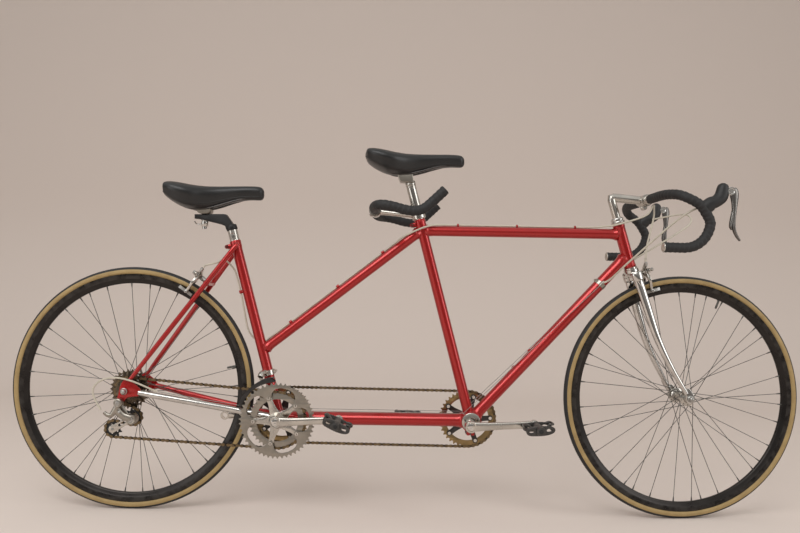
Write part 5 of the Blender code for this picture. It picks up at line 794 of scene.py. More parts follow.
def quick_lever(name, axle, half, way, body, node, steered):
    """A curved lever with a cupped tip on its round cam barrel."""
    cam = axle + SIDEWAYS * (half + 0.0184)
    across = way.cross(SIDEWAYS).normalized()
    barrel = spun("barrel", [(-8.5, 0), (-8.5, 5), (-7.8, 5.8), (7.8, 5.8), (8.5, 5), (8.5, 0)], cam, across, 32)
    knots = [(0.0, 0.0, 0.0046, 0.0036), (0.012, 0.0026, 0.0044, 0.0028), (0.024, 0.0036, 0.0052, 0.0022),
        (0.036, 0.0028, 0.0062, 0.002), (0.046, 0.0004, 0.0058, 0.0018), (0.051, -0.0022, 0.0042, 0.0014),
        (0.0522, -0.0032, 0.002, 0.0008)]
    rings = []
    angles = [2 * math.pi * turn / 20 for turn in range(20)]
    for along, lift, wide, tall in knots:
        middle = cam + way * along + SIDEWAYS * lift
        rings.append([middle + across * (wide * math.cos(turn)) + SIDEWAYS * (tall * math.sin(turn))
            for turn in angles])
    lever = joined(name, [barrel, skin("blade", rings)])
    if steered:
        lever.data.transform(STEER)
    dress(lever, CHROME, body, "chrome", node)


axle_and_skewer("rear_axle_turned", REAR_AXLE, 70, "frame", "rear_axle", False)
quick_lever("rear_quick_release", REAR_AXLE, 0.07, point(-0.34894, 0, 0.93715), "rear_qr",
    "rear_quick_release_lever", False)
axle_and_skewer("front_axle_turned", FRONT_AXLE, 50, "steering", "front_axle", True)
quick_lever("front_quick_release", FRONT_AXLE, 0.05, point(-0.50599, 0, 0.86254), "front_qr",
    "front_quick_release_lever", True)

# Both chains: riveted steel links a half inch apart, oiled to a dark bronze.
# One inner and one outer link are modelled, then laid pin by pin round their wheels.
PITCH = 0.0127
TIMING_LINE = 0.05
CHAIN = finish_of("oiled_outer_links", (0.25, 0.185, 0.105), (0.14, 0.1, 0.06), (0.26, 0.42), 1.0, 160, 0.2,
    1300, 0.00003)
CHAIN_DARK = finish_of("oiled_inner_links", (0.06, 0.045, 0.03), (0.03, 0.024, 0.018), (0.34, 0.52), 0.9, 160,
    0.2, 1300, 0.00003)
COG = finish_of("dark_cogs", (0.15, 0.115, 0.08), (0.075, 0.058, 0.044), (0.26, 0.44), 1.0, 90, 0.2, 1400,
    0.00003)


def pitch_radius(teeth):
    return PITCH / (2 * math.sin(math.pi / teeth))


def chain_pins(wheels):
    """Pin places round (centre, teeth, Y, way) wheels, and the angle of one pin on each."""
    radii = [pitch_radius(teeth) * way for _, teeth, _, way in wheels]
    spans = []
    for turn, (centre, _, _, _) in enumerate(wheels):
        other = wheels[(turn + 1) % len(wheels)][0]
        across = point(other.x - centre.x, 0, other.z - centre.z)
        along = across.normalized()
        normal = point(along.z, 0, -along.x)
        lean = (radii[turn] - radii[(turn + 1) % len(wheels)]) / across.length
        out = along * lean - normal * math.sqrt(1 - lean * lean)
        spans.append((point(centre.x, 0, centre.z) + out * radii[turn],
            point(other.x, 0, other.z) + out * radii[(turn + 1) % len(wheels)]))
    legs = []
    for turn, (centre, teeth, y, way) in enumerate(wheels):
        middle = point(centre.x, 0, centre.z)
        arrive, leave = spans[turn - 1][1] - middle, spans[turn][0] - middle
        first = math.atan2(arrive.z, arrive.x)
        wrap = (math.atan2(leave.z, leave.x) - first) % (2 * math.pi)
        if way > 0:
            wrap -= 2 * math.pi
        legs.append(("arc", middle, abs(radii[turn]), first, wrap, y, abs(wrap) * teeth / (2 * math.pi)))
        ahead = wheels[(turn + 1) % len(wheels)][2]
        legs.append(("run", spans[turn][0], spans[turn][1], y, ahead, 0,
            (spans[turn][1] - spans[turn][0]).length / PITCH))
    total = sum(leg[-1] for leg in legs)
    count = 2 * round(total / 2)
    pins, phases = [], []
    passed = 0.0
    for leg in legs:
        while len(pins) < count and len(pins) * total / count < passed + leg[-1]:
            share = (len(pins) * total / count - passed) / leg[-1]
            if leg[0] == "arc":
                angle = leg[3] + leg[4] * share
                pins.append(leg[1] + point(math.cos(angle), 0, math.sin(angle)) * leg[2] + SIDEWAYS * leg[5])
                if len(phases) * 2 < legs.index(leg) + 2:
                    phases.append(math.degrees(angle))
            else:
                pins.append(leg[1].lerp(leg[2], share) + SIDEWAYS * (leg[3] + (leg[4] - leg[3]) * share))
        passed += leg[-1]
    return pins, phases


def link(name, inner, outer, pin_radius, pin_half):
    """Two side plates and the rollers or pins that join them at both ends, with their sizes in millimetres."""
    waist = PITCH / 2
    loop = [around(point(0, 0, 0), 0.0042, angle) for angle in (80, 125, 180, 235, 280)] + [(waist, -0.0022)]
    loop += [around(point(PITCH, 0, 0), 0.0042, angle) for angle in (-100, -45, 0, 45, 100)] + [(waist, 0.0022)]
    parts = []
    for side in (-1, 1):
        low, high = sorted((side * inner / 1000, side * outer / 1000))
        parts.append(flat_plate("plate", loop, [], low, high, 0.0))
    pin = [(-pin_half, 0), (-pin_half, pin_radius), (pin_half, pin_radius), (pin_half, 0)]
    for along in (0, PITCH):
        parts.append(spun("pin", pin, point(along, 0, 0), SIDEWAYS, 10))
    return joined(name, parts)


def chain(name, wheels, node):
    pins, phases = chain_pins(wheels)
    outer = link("outer_link", 2.4, 3.1, 1.8, 3.4)
    inner = link("inner_link", 1.68, 2.3, 3.9, 1.65)
    places = []
    for turn, pin in enumerate(pins):
        ahead = pins[(turn + 1) % len(pins)] - pin
        along = ahead.normalized()
        side = (SIDEWAYS - along * along.y).normalized()
        place = Matrix.Identity(4)
        place.col[0] = (*(along * (ahead.length / PITCH)), 0)
        place.col[1] = (*side, 0)
        place.col[2] = (*along.cross(side), 0)
        place.col[3] = (*pin, 1)
        places.append(place)
    first = copied(name + "_outer", outer, places[0::2])
    second = copied(name + "_inner", inner, places[1::2])
    dress(first, CHAIN, "frame", "chain", node)
    dress(second, CHAIN_DARK, "frame", "chain", node)
    return phases


timing_phases = chain("timing_chain_linked", [(STOKER_BB, 39, TIMING_LINE, 1), (CAPTAIN_BB, 39, TIMING_LINE, 1)],
    "timing_chain")
COG_LINE = -0.0479
GUIDE = point(-0.747, COG_LINE, 0.263)
TENSION = point(-0.801, COG_LINE, 0.23)
drive_wheels = [(REAR_AXLE, 17, COG_LINE, 1), (STOKER_BB, 38, -0.043, 1), (TENSION, 11, COG_LINE, 1),
    (GUIDE, 11, COG_LINE, -1)]
drive_phases = chain("drive_chain_linked", drive_wheels, "drive_chain")

# The cassette: eight dark steel cogs on the freehub with spacers between them.
# A lockring with a splined mouth holds them against the smallest.


def toothed(centre, teeth, pin_angle):
    """A sprocket's outline: round seats for the rollers at the pins and a narrow tooth between them."""
    radius = pitch_radius(teeth)
    found = []
    for tooth in range(teeth):
        for phase, reach in ((0.0, -0.0038), (0.16, -0.0034), (0.28, -0.0014), (0.38, 0.0012), (0.45, 0.0023),
                (0.55, 0.0023), (0.62, 0.0012), (0.72, -0.0014), (0.84, -0.0034)):
            found.append(around(centre, radius + reach, pin_angle + 360 * (tooth + phase) / teeth))
    return found


cogs = []
for turn, teeth in enumerate([13, 14, 15, 17, 19, 21, 23, 26]):
    middle = -0.062 + 0.0047 * turn
    phase = drive_phases[0] if teeth == 17 else 7.0 * turn
    openings = [hole(REAR_AXLE, 0.0159, 36)]
    if teeth > 20:
        reach = (pitch_radius(teeth) - 0.0055 + 0.0225) / 2
        for window in range(6):
            spot = place_round(REAR_AXLE, reach, 60 * window + 9 * turn)
            openings.append(hole(spot, (pitch_radius(teeth) - 0.0055 - 0.0225) / 2 - 0.0006, 14))
    cogs.append(flat_plate("cog", toothed(REAR_AXLE, teeth, phase), openings, middle - 0.0009, middle + 0.0009,
        0.00025))
    if turn:
        spacer = [(-1.4, 16.2), (-1.4, 20.5), (1.4, 20.5), (1.4, 16.2)]
        cogs.append(spun("spacer", spacer, REAR_AXLE + SIDEWAYS * (middle - 0.00235), SIDEWAYS, 36, True))
lockring = [(0, 15.8), (0, 21.2), (-1.2, 21.2), (-2.2, 20), (-2.2, 16.4), (-1.6, 15.8)]
cogs.append(spun("lockring", lockring, REAR_AXLE - SIDEWAYS * 0.063, SIDEWAYS, 48, True))
dress(joined("cassette_cogs", cogs), COG, "cassette_body", "cogs", "cassette")

# The cranks: polished forged alloy, round at the boss, slim in the middle and round again at the pedal's eye.
# The stoker's right arm carries a five-armed spider. A chromed cap closes each boss.
SPIDER_ANGLE = 39.2
CRANK_LENGTH = 0.17
CRANK_WAY = point(math.cos(math.radians(3.2)), 0, math.sin(math.radians(3.2)))


def crank_arm(centre, side):
    """An arm with its boss and eye. Side is -1 for the right, whose arms point forward."""
    way = CRANK_WAY * (1 if side < 0 else -1)
    across = way.cross(SIDEWAYS).normalized()
    boss = [(38, 8.8), (38, 15), (39.5, 16.3), (60, 16.5), (78, 16.5), (82.6, 15.8), (84, 14.2)]
    boss += [(84, 11.2), (81.5, 10.8), (81.5, 8.8)]
    parts = [spun("boss", boss, centre, SIDEWAYS * side, 48, True)]
    cap = [(81.2, 0), (81.2, 10.6), (82.8, 10.4), (83.4, 9), (83.6, 3), (82.6, 2.8), (82.2, 0)]
    dust = spun("cap", cap, centre, SIDEWAYS * side, 36)
    rings = []
    stations = [(0.004, 0.0128, 0.006), (0.014, 0.0128, 0.0061), (0.028, 0.0116, 0.0061), (0.05, 0.0104, 0.006),
        (0.085, 0.0097, 0.0058), (0.12, 0.0096, 0.0056), (0.145, 0.0101, 0.0056), (0.155, 0.0106, 0.0057),
        (0.16, 0.0104, 0.0057)]
    for along, wide, thick in stations:
        middle = centre + way * along + SIDEWAYS * (side * 0.0776)
        corners = []
        for turn in range(32):
            angle = 2 * math.pi * turn / 32
            c, s = math.cos(angle), math.sin(angle)
            c = math.copysign(abs(c) ** 0.62, c)
            s = math.copysign(abs(s) ** 0.62, s)
            corners.append(middle + across * (wide * c) + SIDEWAYS * (thick * s))
        rings.append(corners)
    parts.append(skin("arm", rings))
    eye = [(71.5, 7.1), (71.5, 11.4), (72.7, 12.5), (82.8, 12.5), (84, 11.4), (84, 7.8), (83.2, 7)]
    parts.append(spun("eye", eye, centre + way * CRANK_LENGTH, SIDEWAYS * side, 40, True))
    return parts, dust


def sprocket_bolts(name, centre, first, y_outer, y_inner):
    """Five chainring bolts with dished heads, through both faces, whose places are in millimetres."""
    way = 1 if y_outer > y_inner else -1
    near, far = y_inner * way, y_outer * way
    bolt = [(near - 1, 0), (near - 1, 4.6), (near, 5), (far, 5.2), (far + 1, 4.6), (far + 1.1, 2.7),
        (far - 1, 2.5), (far - 1, 0)]
    found = []
    for turn in range(5):
        found.append(spun("bolt", bolt, place_round(centre, 0.065, first + 72 * turn), SIDEWAYS * way, 20))
    return joined(name, found)


def spider_outline(centre, first, root, tip, wide):
    """Five arms that flare out of the boss and end in round tabs."""
    shape = [(root, -36), (root * 1.35, -22), (0.047, -wide * 1.25), (0.058, -wide), (tip, -wide * 0.85),
        (tip + 0.0012, 0), (tip, wide * 0.85), (0.058, wide), (0.047, wide * 1.25), (root * 1.35, 22)]
    found = [around(centre, reach, first + 72 * turn + off) for turn in range(5) for reach, off in shape]
    return rounded(found, 3)


GOLD_RING = finish_of("bronze_gold_ring", (0.36, 0.255, 0.12), (0.25, 0.18, 0.09), (0.24, 0.38), 1.0, 45, 0.2,
    1500, 0.00002)
GREY_ARM = finish_of("dark_grey_alloy", (0.075, 0.071, 0.07), (0.045, 0.043, 0.042), (0.28, 0.42), 0.9, 40, 0.2,
    1500, 0.00002)
SATIN = finish_of("satin_alloy", (0.4, 0.37, 0.32), (0.29, 0.265, 0.23), (0.26, 0.38), 1.0, 30, 0.25, 1700,
    0.00003)
for word, centre, phase in (("captain", CAPTAIN_BB, timing_phases[1]), ("stoker", STOKER_BB, timing_phases[0])):
    body = word + "_cranks"
    parts, cap = crank_arm(centre, 1)
    spindle = [(-77.6, 0), (-77.6, 7.8), (-76.6, 8.5), (80, 8.5), (81, 7.8), (81, 0)]
    parts.append(spun("spindle", spindle, centre, SIDEWAYS, 32))
    dress(joined(f"{word}_left_crank_forged", parts), ALLOY, body, "polished_alloy", f"{word}_timing_crankset")
    dress(cap, CHROME, body, "chrome")
    cap.name = f"{word}_left_crank_cap"
    ring = flat_plate(f"{word}_timing_ring", toothed(centre, 39, phase), [hole(centre, 0.061, 72)], 0.0486,
        0.0514, 0.0004)
    dress(ring, GOLD_RING, body, "polished_alloy", f"{word}_timing_crankset")
    arms = flat_plate(f"{word}_timing_spider", spider_outline(centre, 3.2, 0.021, 0.0712, 7.0),
        [hole(centre, 0.016, 40)], 0.0442, 0.0484, 0.001, None, 2)
    dress(arms, GREY_ARM, body, "cage_grey")
    bolts = sprocket_bolts(f"{word}_timing_bolts", centre, 3.2, 51.4, 44.2)
    dress(bolts, CHROME, body, "steel")
    parts, cap = crank_arm(centre, -1)
    if word == "stoker":
        parts.append(flat_plate("spider", spider_outline(centre, SPIDER_ANGLE, 0.0225, 0.0712, 7.2),
            [hole(centre, 0.0155, 40)], -0.049, -0.045, 0.0011, None, 2))
        fairing = [(44, 16), (44.5, 23.5), (50, 22.2), (58, 19), (68, 16.8), (72, 16)]
        parts.append(spun("fairing", fairing, centre, -SIDEWAYS, 48, True))
    dress(joined(f"{word}_right_crank_forged", parts), ALLOY, body, "polished_alloy", f"{word}_right_crank")
    dress(cap, CHROME, body, "chrome")
    cap.name = f"{word}_right_crank_cap"

# The two chainrings: a big one cut away in five long windows, and a small one behind the spider.
# Five bolts hold both to the spider's tabs.
window = [(0.0895, -36), (0.0895, -27), (0.0868, -18), (0.077, -10.5), (0.066, -7.5), (0.057, -4.6),
    (0.057, 4.6), (0.066, 7.5), (0.077, 10.5), (0.0868, 18), (0.0895, 27)]
window_loop = []
for turn in range(5):
    window_loop += [around(STOKER_BB, reach, SPIDER_ANGLE + 72 * turn + off) for reach, off in window]
big_ring = flat_plate("big_ring", toothed(STOKER_BB, 50, 2.0), [rounded(window_loop, 4)], -0.0525, -0.0496,
    0.0005, None, 2)
small_ring = flat_plate("small_ring", toothed(STOKER_BB, 38, drive_phases[1]), [hole(STOKER_BB, 0.0575, 72)],
    -0.0443, -0.0417, 0.0004)
dress(joined("drive_chainrings_cut", [big_ring, small_ring]), SATIN, "stoker_cranks", "polished_alloy",
    "drive_chainrings")
ring_bolts = sprocket_bolts("drive_ring_bolts", STOKER_BB, SPIDER_ANGLE, -52.7, -42.0)
dress(ring_bolts, CHROME, "stoker_cranks", "steel")

# The pedals: cast grey bodies on steel axles, with a sprung rear latch and a front hook for the shoe's cleat.
# The stoker's left crank carries none, as in the photograph.
PEDAL_GREY = finish_of("cast_grey_pedal", (0.1, 0.095, 0.09), (0.055, 0.052, 0.05), (0.34, 0.5), 0.75, 50, 0.25,
    1200, 0.00006)


def pedal(name, centre, side, tilt, body, node):
    eye = centre + CRANK_WAY * (CRANK_LENGTH if side < 0 else -CRANK_LENGTH)
    place = Matrix.Translation(eye) @ Matrix.Rotation(math.radians(tilt), 4, "Y")
    out = SIDEWAYS * side
    axle = [(73, 0), (73, 6), (74.5, 6.6), (84.2, 6.6), (84.3, 10), (86.8, 10.5), (88, 9.2), (100, 8.5), (100, 0)]
    steel = spun("axle", axle, eye, out, 32)
    barrel = [(95, 0), (95, 10.5), (97.5, 11.6), (120, 11.2), (150, 12.2), (172, 12.2), (179, 11), (180, 6),
        (178.5, 5.2), (178.5, 0)]
    parts = [spun("barrel", barrel, eye, out, 40)]
    outline = [(-0.037, -0.004), (-0.031, -0.0115), (-0.013, -0.0132), (0.013, -0.0132), (0.032, -0.009),
        (0.0395, -0.001), (0.037, 0.0075), (0.018, 0.0115), (-0.014, 0.0118), (-0.034, 0.0085)]
    slots = [[(0.016, -0.0045), (0.031, -0.0035), (0.031, 0.003), (0.016, 0.0055)],
        [(-0.016, -0.006), (-0.029, -0.0045), (-0.029, 0.003), (-0.016, 0.0055)]]
    for first, last in ((0.101, 0.108), (0.1585, 0.169)):
        low, high = sorted((side * first, side * last))
        plate = flat_plate("side", rounded(outline, 4), [rounded(slot, 3) for slot in slots], low, high, 0.0012,
            place, 2)
        parts.append(plate)
    for along, height, wide, tall in ((-0.032, 0.002, 0.0052, 0.006), (0.0335, 0.0, 0.0045, 0.005)):
        route = [place @ point(along, side * reach, height) for reach in (0.1025, 0.1065, 0.135, 0.1635, 0.1675)]
        parts.append(tube("bar", route, [(0.003, 0.0034), (wide, tall), (wide, tall), (wide, tall),
            (0.003, 0.0034)], 20))
    hook = [place @ point(x, side * y, z) for x, y, z in ((0.022, 0.116, 0.01), (0.032, 0.117, 0.0125),
        (0.0375, 0.125, 0.0115), (0.0375, 0.145, 0.0115), (0.032, 0.153, 0.0125), (0.022, 0.154, 0.01))]
    parts.append(tube("hook", smooth_route(hook, 4), [0.003] * 21, 14))
    latch = [place @ point(x, side * 0.135, z) for x, z in ((-0.018, 0.004), (-0.026, 0.01), (-0.033, 0.0128),
        (-0.0385, 0.0095))]
    parts.append(tube("latch", smooth_route(latch, 3), [(0.016, 0.003)] * 9 + [(0.012, 0.0016)], 20))
    dress(joined(name, parts), PEDAL_GREY, body, "steel", node)
    dress(steel, STEEL, body, "steel", node)
    steel.name = name + "_axle"
    nut = spun(name + "_cap", [(178.2, 0), (178.2, 5.6), (179.6, 5.4), (180.2, 4), (179.6, 0)], eye, out, 6)
    dress(nut, BLACK_RUBBER, body, "steel")


pedal("captain_right_pedal_cast", CAPTAIN_BB, -1, -4.0, "captain_right_pedal_body", "captain_right_pedal")
pedal("captain_left_pedal_cast", CAPTAIN_BB, 1, 4.0, "captain_left_pedal_body", "captain_left_pedal")
pedal("stoker_right_pedal_cast", STOKER_BB, -1, 24.0, "stoker_right_pedal_body", "stoker_right_pedal")

# The rear derailleur: a knuckle on the hanger, four polished links down to a second knuckle, and a sprung cage.
# An arm reaches back for the cable, ending in a knurled adjuster under a dark boot.
HANGER = point(-0.776, 0, 0.306)
CAGE_PIVOT = point(-0.742, 0, 0.262)
OUTER = -0.0763
head = HANGER + SIDEWAYS * OUTER
knuckle = [(-5.5, 0), (-5.5, 4.8), (0, 5), (0.2, 11.2), (1.6, 12.5), (12, 12.3), (15, 11.2), (16, 9), (15, 7.8),
    (15, 0)]
mech = [spun("upper_knuckle", knuckle, head, -SIDEWAYS, 40)]
arm = smooth_route(places_from(head, (0, -0.0085, -0.004), (-0.009, -0.0085, -0.02), (-0.018, -0.0085, -0.0325),
    (-0.028, -0.0085, -0.033), (-0.038, -0.0085, -0.0262)), 4)
mech.append(tube("cable_arm", arm, [(0.0062 - 0.00015 * n, 0.0088 - 0.00026 * n) for n in range(len(arm))], 22))
for lift, reach, slim in ((0.0, 0.0, 1.0), (0.011, 0.0125, 0.72)):
    route = places_from(head, (lift - 0.008, reach - 0.0085, -0.012), (lift, reach - 0.0085, -0.024),
        (0.014 + lift * 0.6, reach - 0.008, -0.036))
    route = smooth_route(route + [CAGE_PIVOT + point(lift * 0.3, OUTER - 0.0075 + reach, 0.002)], 4)
    mech.append(tube("parallel_link", route, [(0.0048 * slim, 0.0098 * slim)] * len(route), 24))
low_knuckle = [(-59.5, 0), (-59.5, 13.2), (-61.2, 14.5), (-84, 14.5), (-86.6, 13.2), (-87.4, 10), (-86.8, 8.6),
    (-86.8, 0)]
mech.append(spun("lower_knuckle", low_knuckle, CAGE_PIVOT, SIDEWAYS, 40))
dress(joined("rear_derailleur_forged", mech), SATIN, "rear_mech", "polished_alloy", "rear_derailleur")
hanger_socket = [(14.8, 0), (14.8, 6.2), (16, 6), (16.4, 3.4), (15.2, 3.2), (15, 0)]
pivot_socket = [(-86.6, 0), (-86.6, 7), (-87.8, 6.6), (-88, 3.2), (-87, 3), (-86.8, 0)]
sockets = [spun("hanger_socket", hanger_socket, head, -SIDEWAYS, 24)]
sockets.append(spun("pivot_socket", pivot_socket, CAGE_PIVOT, SIDEWAYS, 24))
for spot in ((-0.006, -0.01), (0.004, -0.0245)):
    sockets.append(spun("link_rivet", [(0, 0), (0, 3.6), (14.5, 3.4), (15, 2.6), (15, 0)],
        head + point(spot[0], 0, spot[1]), -SIDEWAYS, 18))
dress(joined("rear_derailleur_bolts", sockets), STEEL, "rear_mech", "steel")
tip = head + point(-0.038, -0.0085, -0.0262)
end = head + point(-0.0462, -0.0083, -0.0212)
barrel = [(-1, 0), (-1, 3.6), (1.5, 4.2), (4, 4.2), (4.8, 3.4), (6, 4), (7.8, 3.8), (8.8, 3), (8.8, 0)]
dress(spun("rear_adjuster", barrel, tip, (end - tip), 20), DARK_STEEL_AND_HOLE_SHADE, "rear_mech", "cage_grey")

guide_flat = point(GUIDE.x, 0, GUIDE.z)
tension_flat = point(TENSION.x, 0, TENSION.z)
lean = math.degrees(math.atan2(tension_flat.z - guide_flat.z, tension_flat.x - guide_flat.x))
plate_loop = [around(guide_flat, 0.0128, lean + turn) for turn in (62, 90, 118, 146, 174, 202, 230, 258, 286)]
waist = guide_flat.lerp(tension_flat, 0.55)
plate_loop += [around(waist, 0.0075, lean - 90)]
plate_loop += [around(tension_flat, 0.0108, lean + turn) for turn in (-80, -50, -20, 10, 40, 70)]
plate_loop += [around(waist, 0.0095, lean + 90)]
high_end, low_end = (guide_flat.lerp(tension_flat, share) for share in (0.38, 0.66))
slot = [around(high_end, 0.003, lean + turn) for turn in (90, 135, 180, 225, 270)]
slot += [around(low_end, 0.003, lean + turn) for turn in (-90, -45, 0, 45, 90)]
cage = [flat_plate("outer_plate", plate_loop, [slot], -0.0572, -0.0554, 0.0004, None, 2),
    flat_plate("inner_plate", plate_loop, [slot], -0.0421, -0.0406, 0.0004, None, 2)]
cage.append(spun("cage_hub", [(-57.2, 0), (-57.2, 12), (-59, 12.2), (-59.2, 0)], CAGE_PIVOT, SIDEWAYS, 36))
dress(joined("rear_cage_plates", cage), ALLOY, "rear_cage", "polished_alloy", "rear_derailleur_cage")
wheels = []
for flat, phase in ((guide_flat, drive_phases[3]), (tension_flat, drive_phases[2])):
    openings = [hole(place_round(flat, 0.0125, 72 * turn + phase), 0.0026, 12) for turn in range(5)]
    wheels.append(flat_plate("jockey", toothed(flat, 11, phase), openings, -0.049, -0.0468, 0.0003))
    wheels.append(spun("bushing", [(-54, 0), (-54, 5.2), (-49.6, 6.8), (-46.2, 6.8), (-42.4, 5.2), (-42.4, 0)],
        flat, SIDEWAYS, 24))
dress(joined("rear_cage_pulleys", wheels), BLACK_RUBBER, "rear_cage", "cage_grey", "rear_derailleur_cage")
screw = [(-57, 0), (-57, 4.2), (-58.2, 4), (-58.4, 2), (-57.4, 1.8), (-57.2, 0)]
screws = [spun("screw", screw, flat, SIDEWAYS, 20) for flat in (guide_flat, tension_flat)]
dress(joined("rear_cage_screws", screws), STEEL, "rear_cage", "steel")

# The front derailleur: a hinged silver band on the stoker's seat tube, a link body and a dark cage.
# The cage's two plates follow the big ring and are bridged above it and at the tail.
BAND = point(-0.38971, 0, 0.38392)
band_half = [(-7, 14.9), (-7, 18), (-6.2, 18.9), (-4, 18.9), (-3.2, 18.3)]
band = [spun("band", both_ways(band_half), BAND, SEAT_UP, 48, True)]
band.append(spun("clamp_bolt", [(-10, 0), (-10, 3.6), (-9, 4.4), (9, 4.4), (10, 3.6), (10, 2), (8, 1.8), (8, 0)],
    BAND + SEAT_AHEAD * 0.0202, SIDEWAYS, 24))
route = smooth_route(places_from(BAND, (-0.004, -0.012, 0.001), (-0.008, -0.024, 0.003), (-0.0125, -0.036, 0),
    (-0.0146, -0.0425, -0.0075)), 4)
band.append(tube("link_body", route, [(0.0092 - 0.0001 * n, 0.0078) for n in range(len(route))], 24))
for spot, reach in ((point(-0.012, -0.034, 0.0), 9.5), (point(-0.0065, -0.022, 0.002), 9.0)):
    pivot = [(-reach, 0), (-reach, 3), (1 - reach, 3.6), (reach - 1, 3.6), (reach, 3), (reach, 0)]
    band.append(spun("link_pivot", pivot, BAND + spot, SEAT_AHEAD, 20))
wire_anchor = BAND + point(-0.015, -0.03, -0.013)
band.append(spun("wire_clamp", [(-4, 0), (-4, 4), (-3, 4.6), (1.5, 4.6), (2, 3.4), (4.5, 3.2), (4.5, 0)],
    wire_anchor, SIDEWAYS, 20))
dress(joined("front_derailleur_body", band), ALLOY, "frame", "polished_alloy", "front_derailleur_clamp")


def arc_outline(inner, outer, first, last, steps):
    loop = [around(STOKER_BB, outer, first + (last - first) * turn / steps) for turn in range(steps + 1)]
    return loop + [around(STOKER_BB, inner, last + (first - last) * turn / steps) for turn in range(steps + 1)]


def cage_side(low, high, tall):
    """One side plate: deep at the nose, shallower towards a rounded tail."""
    loop = []
    for turn in range(25):
        share = turn / 24
        swell = tall * (1 - 0.35 * share) * min(1, 0.35 + 6 * share, 0.45 + 5 * (1 - share))
        loop.append(around(STOKER_BB, 0.1051 + swell, 94 + 66 * share))
    for turn in range(25):
        share = 1 - turn / 24
        loop.append(around(STOKER_BB, 0.1051, 94 + 66 * share))
    return flat_plate("side", loop, [], low, high, 0.0004, None, 2)


cage = [cage_side(-0.0537, -0.0522, 0.0128), cage_side(-0.0365, -0.035, 0.0133)]
cage.append(flat_plate("nose_bridge", arc_outline(0.116, 0.1184, 95, 112, 6), [], -0.053, -0.0352, 0.0003))
cage.append(flat_plate("tail_bridge", arc_outline(0.1098, 0.112, 155, 159.5, 2), [], -0.053, -0.0352, 0.0003))
dress(joined("front_cage_pressed", cage), GREY_ARM, "front_mech", "cage_grey", "front_derailleur_cage")

# The fork: chromed steel, with two oval blades brazed into a sloping crown and raked forward to flat tips.
# It is modelled straight ahead, as is the rest of the front end, and then turned with the handlebar.
BLADE_SIZES = [(0.0, 0.0088, 0.0128), (0.22, 0.0088, 0.0126), (0.42, 0.0083, 0.0114), (0.58, 0.0077, 0.0098),
    (0.72, 0.007, 0.0082), (0.85, 0.0061, 0.007), (0.955, 0.0048, 0.006)]


def turned_front(piece):
    piece.data.transform(STEER)
    return piece


def dress_front(piece, look, slot, *nodes):
    return dress(turned_front(piece), look, "steering", slot, *nodes)


def blade_place(side, share):
    curve = max(0.0, (share - 0.42) / 0.58)
    down = HEAD_UP * (-0.3748 * share - 0.012 * (1 - share))
    forward = HEAD_AHEAD * (0.042 * (0.1 * share + 0.9 * curve**1.7))
    return CROWN + down + forward + SIDEWAYS * (side * (0.032 + 0.021 * min(1.0, share * 1.12)))


def blade_size(share):
    for (first, wide, tall), (last, slim, low) in zip(BLADE_SIZES, BLADE_SIZES[1:]):
        if share <= last:
            part = (share - first) / (last - first)
            return wide + (slim - wide) * part, tall + (low - tall) * part
    return BLADE_SIZES[-1][1:]


parts = []
for side in (-1, 1):
    shares = [0.955 * turn / 26 for turn in range(27)]
    parts.append(tube("blade", [blade_place(side, share) for share in shares],
        [blade_size(share) for share in shares], 32))
    socket_shares = (-0.024, -0.018, 0.0, 0.035, 0.045, 0.0475)
    swell = (0.0016, 0.0028, 0.0031, 0.0028, 0.0018, 0.0)
    socket_sizes = []
    for share, extra in zip(socket_shares, swell):
        wide, tall = blade_size(max(0, share))
        socket_sizes.append((wide + extra, tall + extra))
    parts.append(tube("socket", [blade_place(side, share) for share in socket_shares], socket_sizes, 32))
    tang_shares = (0.03, 0.055, 0.08, 0.105)
    tang = [blade_place(side, share) + SIDEWAYS * side * 0.0068 for share in tang_shares]
    parts.append(tube("tang", tang, [(0.003, 0.009), (0.0028, 0.0066), (0.0025, 0.0036), (0.0018, 0.001)], 20))
    tip = [(-0.0115, 0.029), (-0.004, 0.03), (0.01, 0.012), (0.0115, -0.002), (0.006, -0.0125),
        (-0.007, -0.0125), (-0.0125, -0.002)]
    outline = rounded([(FRONT_AXLE.x + x, FRONT_AXLE.z + z) for x, z in tip], 4)
    inner, outer = sorted((side * 0.05, side * 0.056))
    parts.append(flat_plate("tip", outline, [hole(FRONT_AXLE, 0.0053, 24)], inner, outer, 0.0008, None, 2))
crown_rings = []
for turn in range(25):
    y = -0.0405 + 0.081 * turn / 24
    swell = (1 - abs(y / 0.0407) ** 5) ** 0.5
    sag = -0.016 + 0.006 * (1 - (y / 0.0405) ** 2)
    ring = []
    for side in range(32):
        angle = 2 * math.pi * side / 32
        rise = HEAD_UP * (sag + 0.01 * swell * math.sin(angle))
        ring.append(CROWN + rise + SIDEWAYS * y + HEAD_AHEAD * (0.0152 * swell * math.cos(angle)))
    crown_rings.append(ring)
parts.append(skin("crown", crown_rings))
neck = [(-26, 0), (-26, 15), (-24, 16.6), (-4.5, 17.2), (-4, 20), (-3.2, 20.6), (4.6, 20.6), (5.4, 19.8)]
neck += [(5.8, 18), (6.6, 18.8), (10.2, 18.8), (11.3, 17.6), (11.7, 16), (11.7, 13.1), (150, 13.1), (150, 0)]
parts.append(spun("neck", neck, CROWN, HEAD_UP, 56))
FRONT_SEAT = CROWN - HEAD_UP * 0.013
post = [(0, 0), (0, 6.8), (26.8, 6.8), (28.3, 6), (28.3, 3.9), (50.5, 3.9), (51.8, 3), (52, 0)]
nut = [(44.7, 0), (44.7, 6.6), (46, 7), (48.6, 7), (50, 5.6), (50.8, 5), (50.8, 0)]
parts.append(spun("brake_post", post, FRONT_SEAT, HEAD_AHEAD, 32))
parts.append(spun("brake_nut", nut, FRONT_SEAT, HEAD_AHEAD, 6, False, 20))
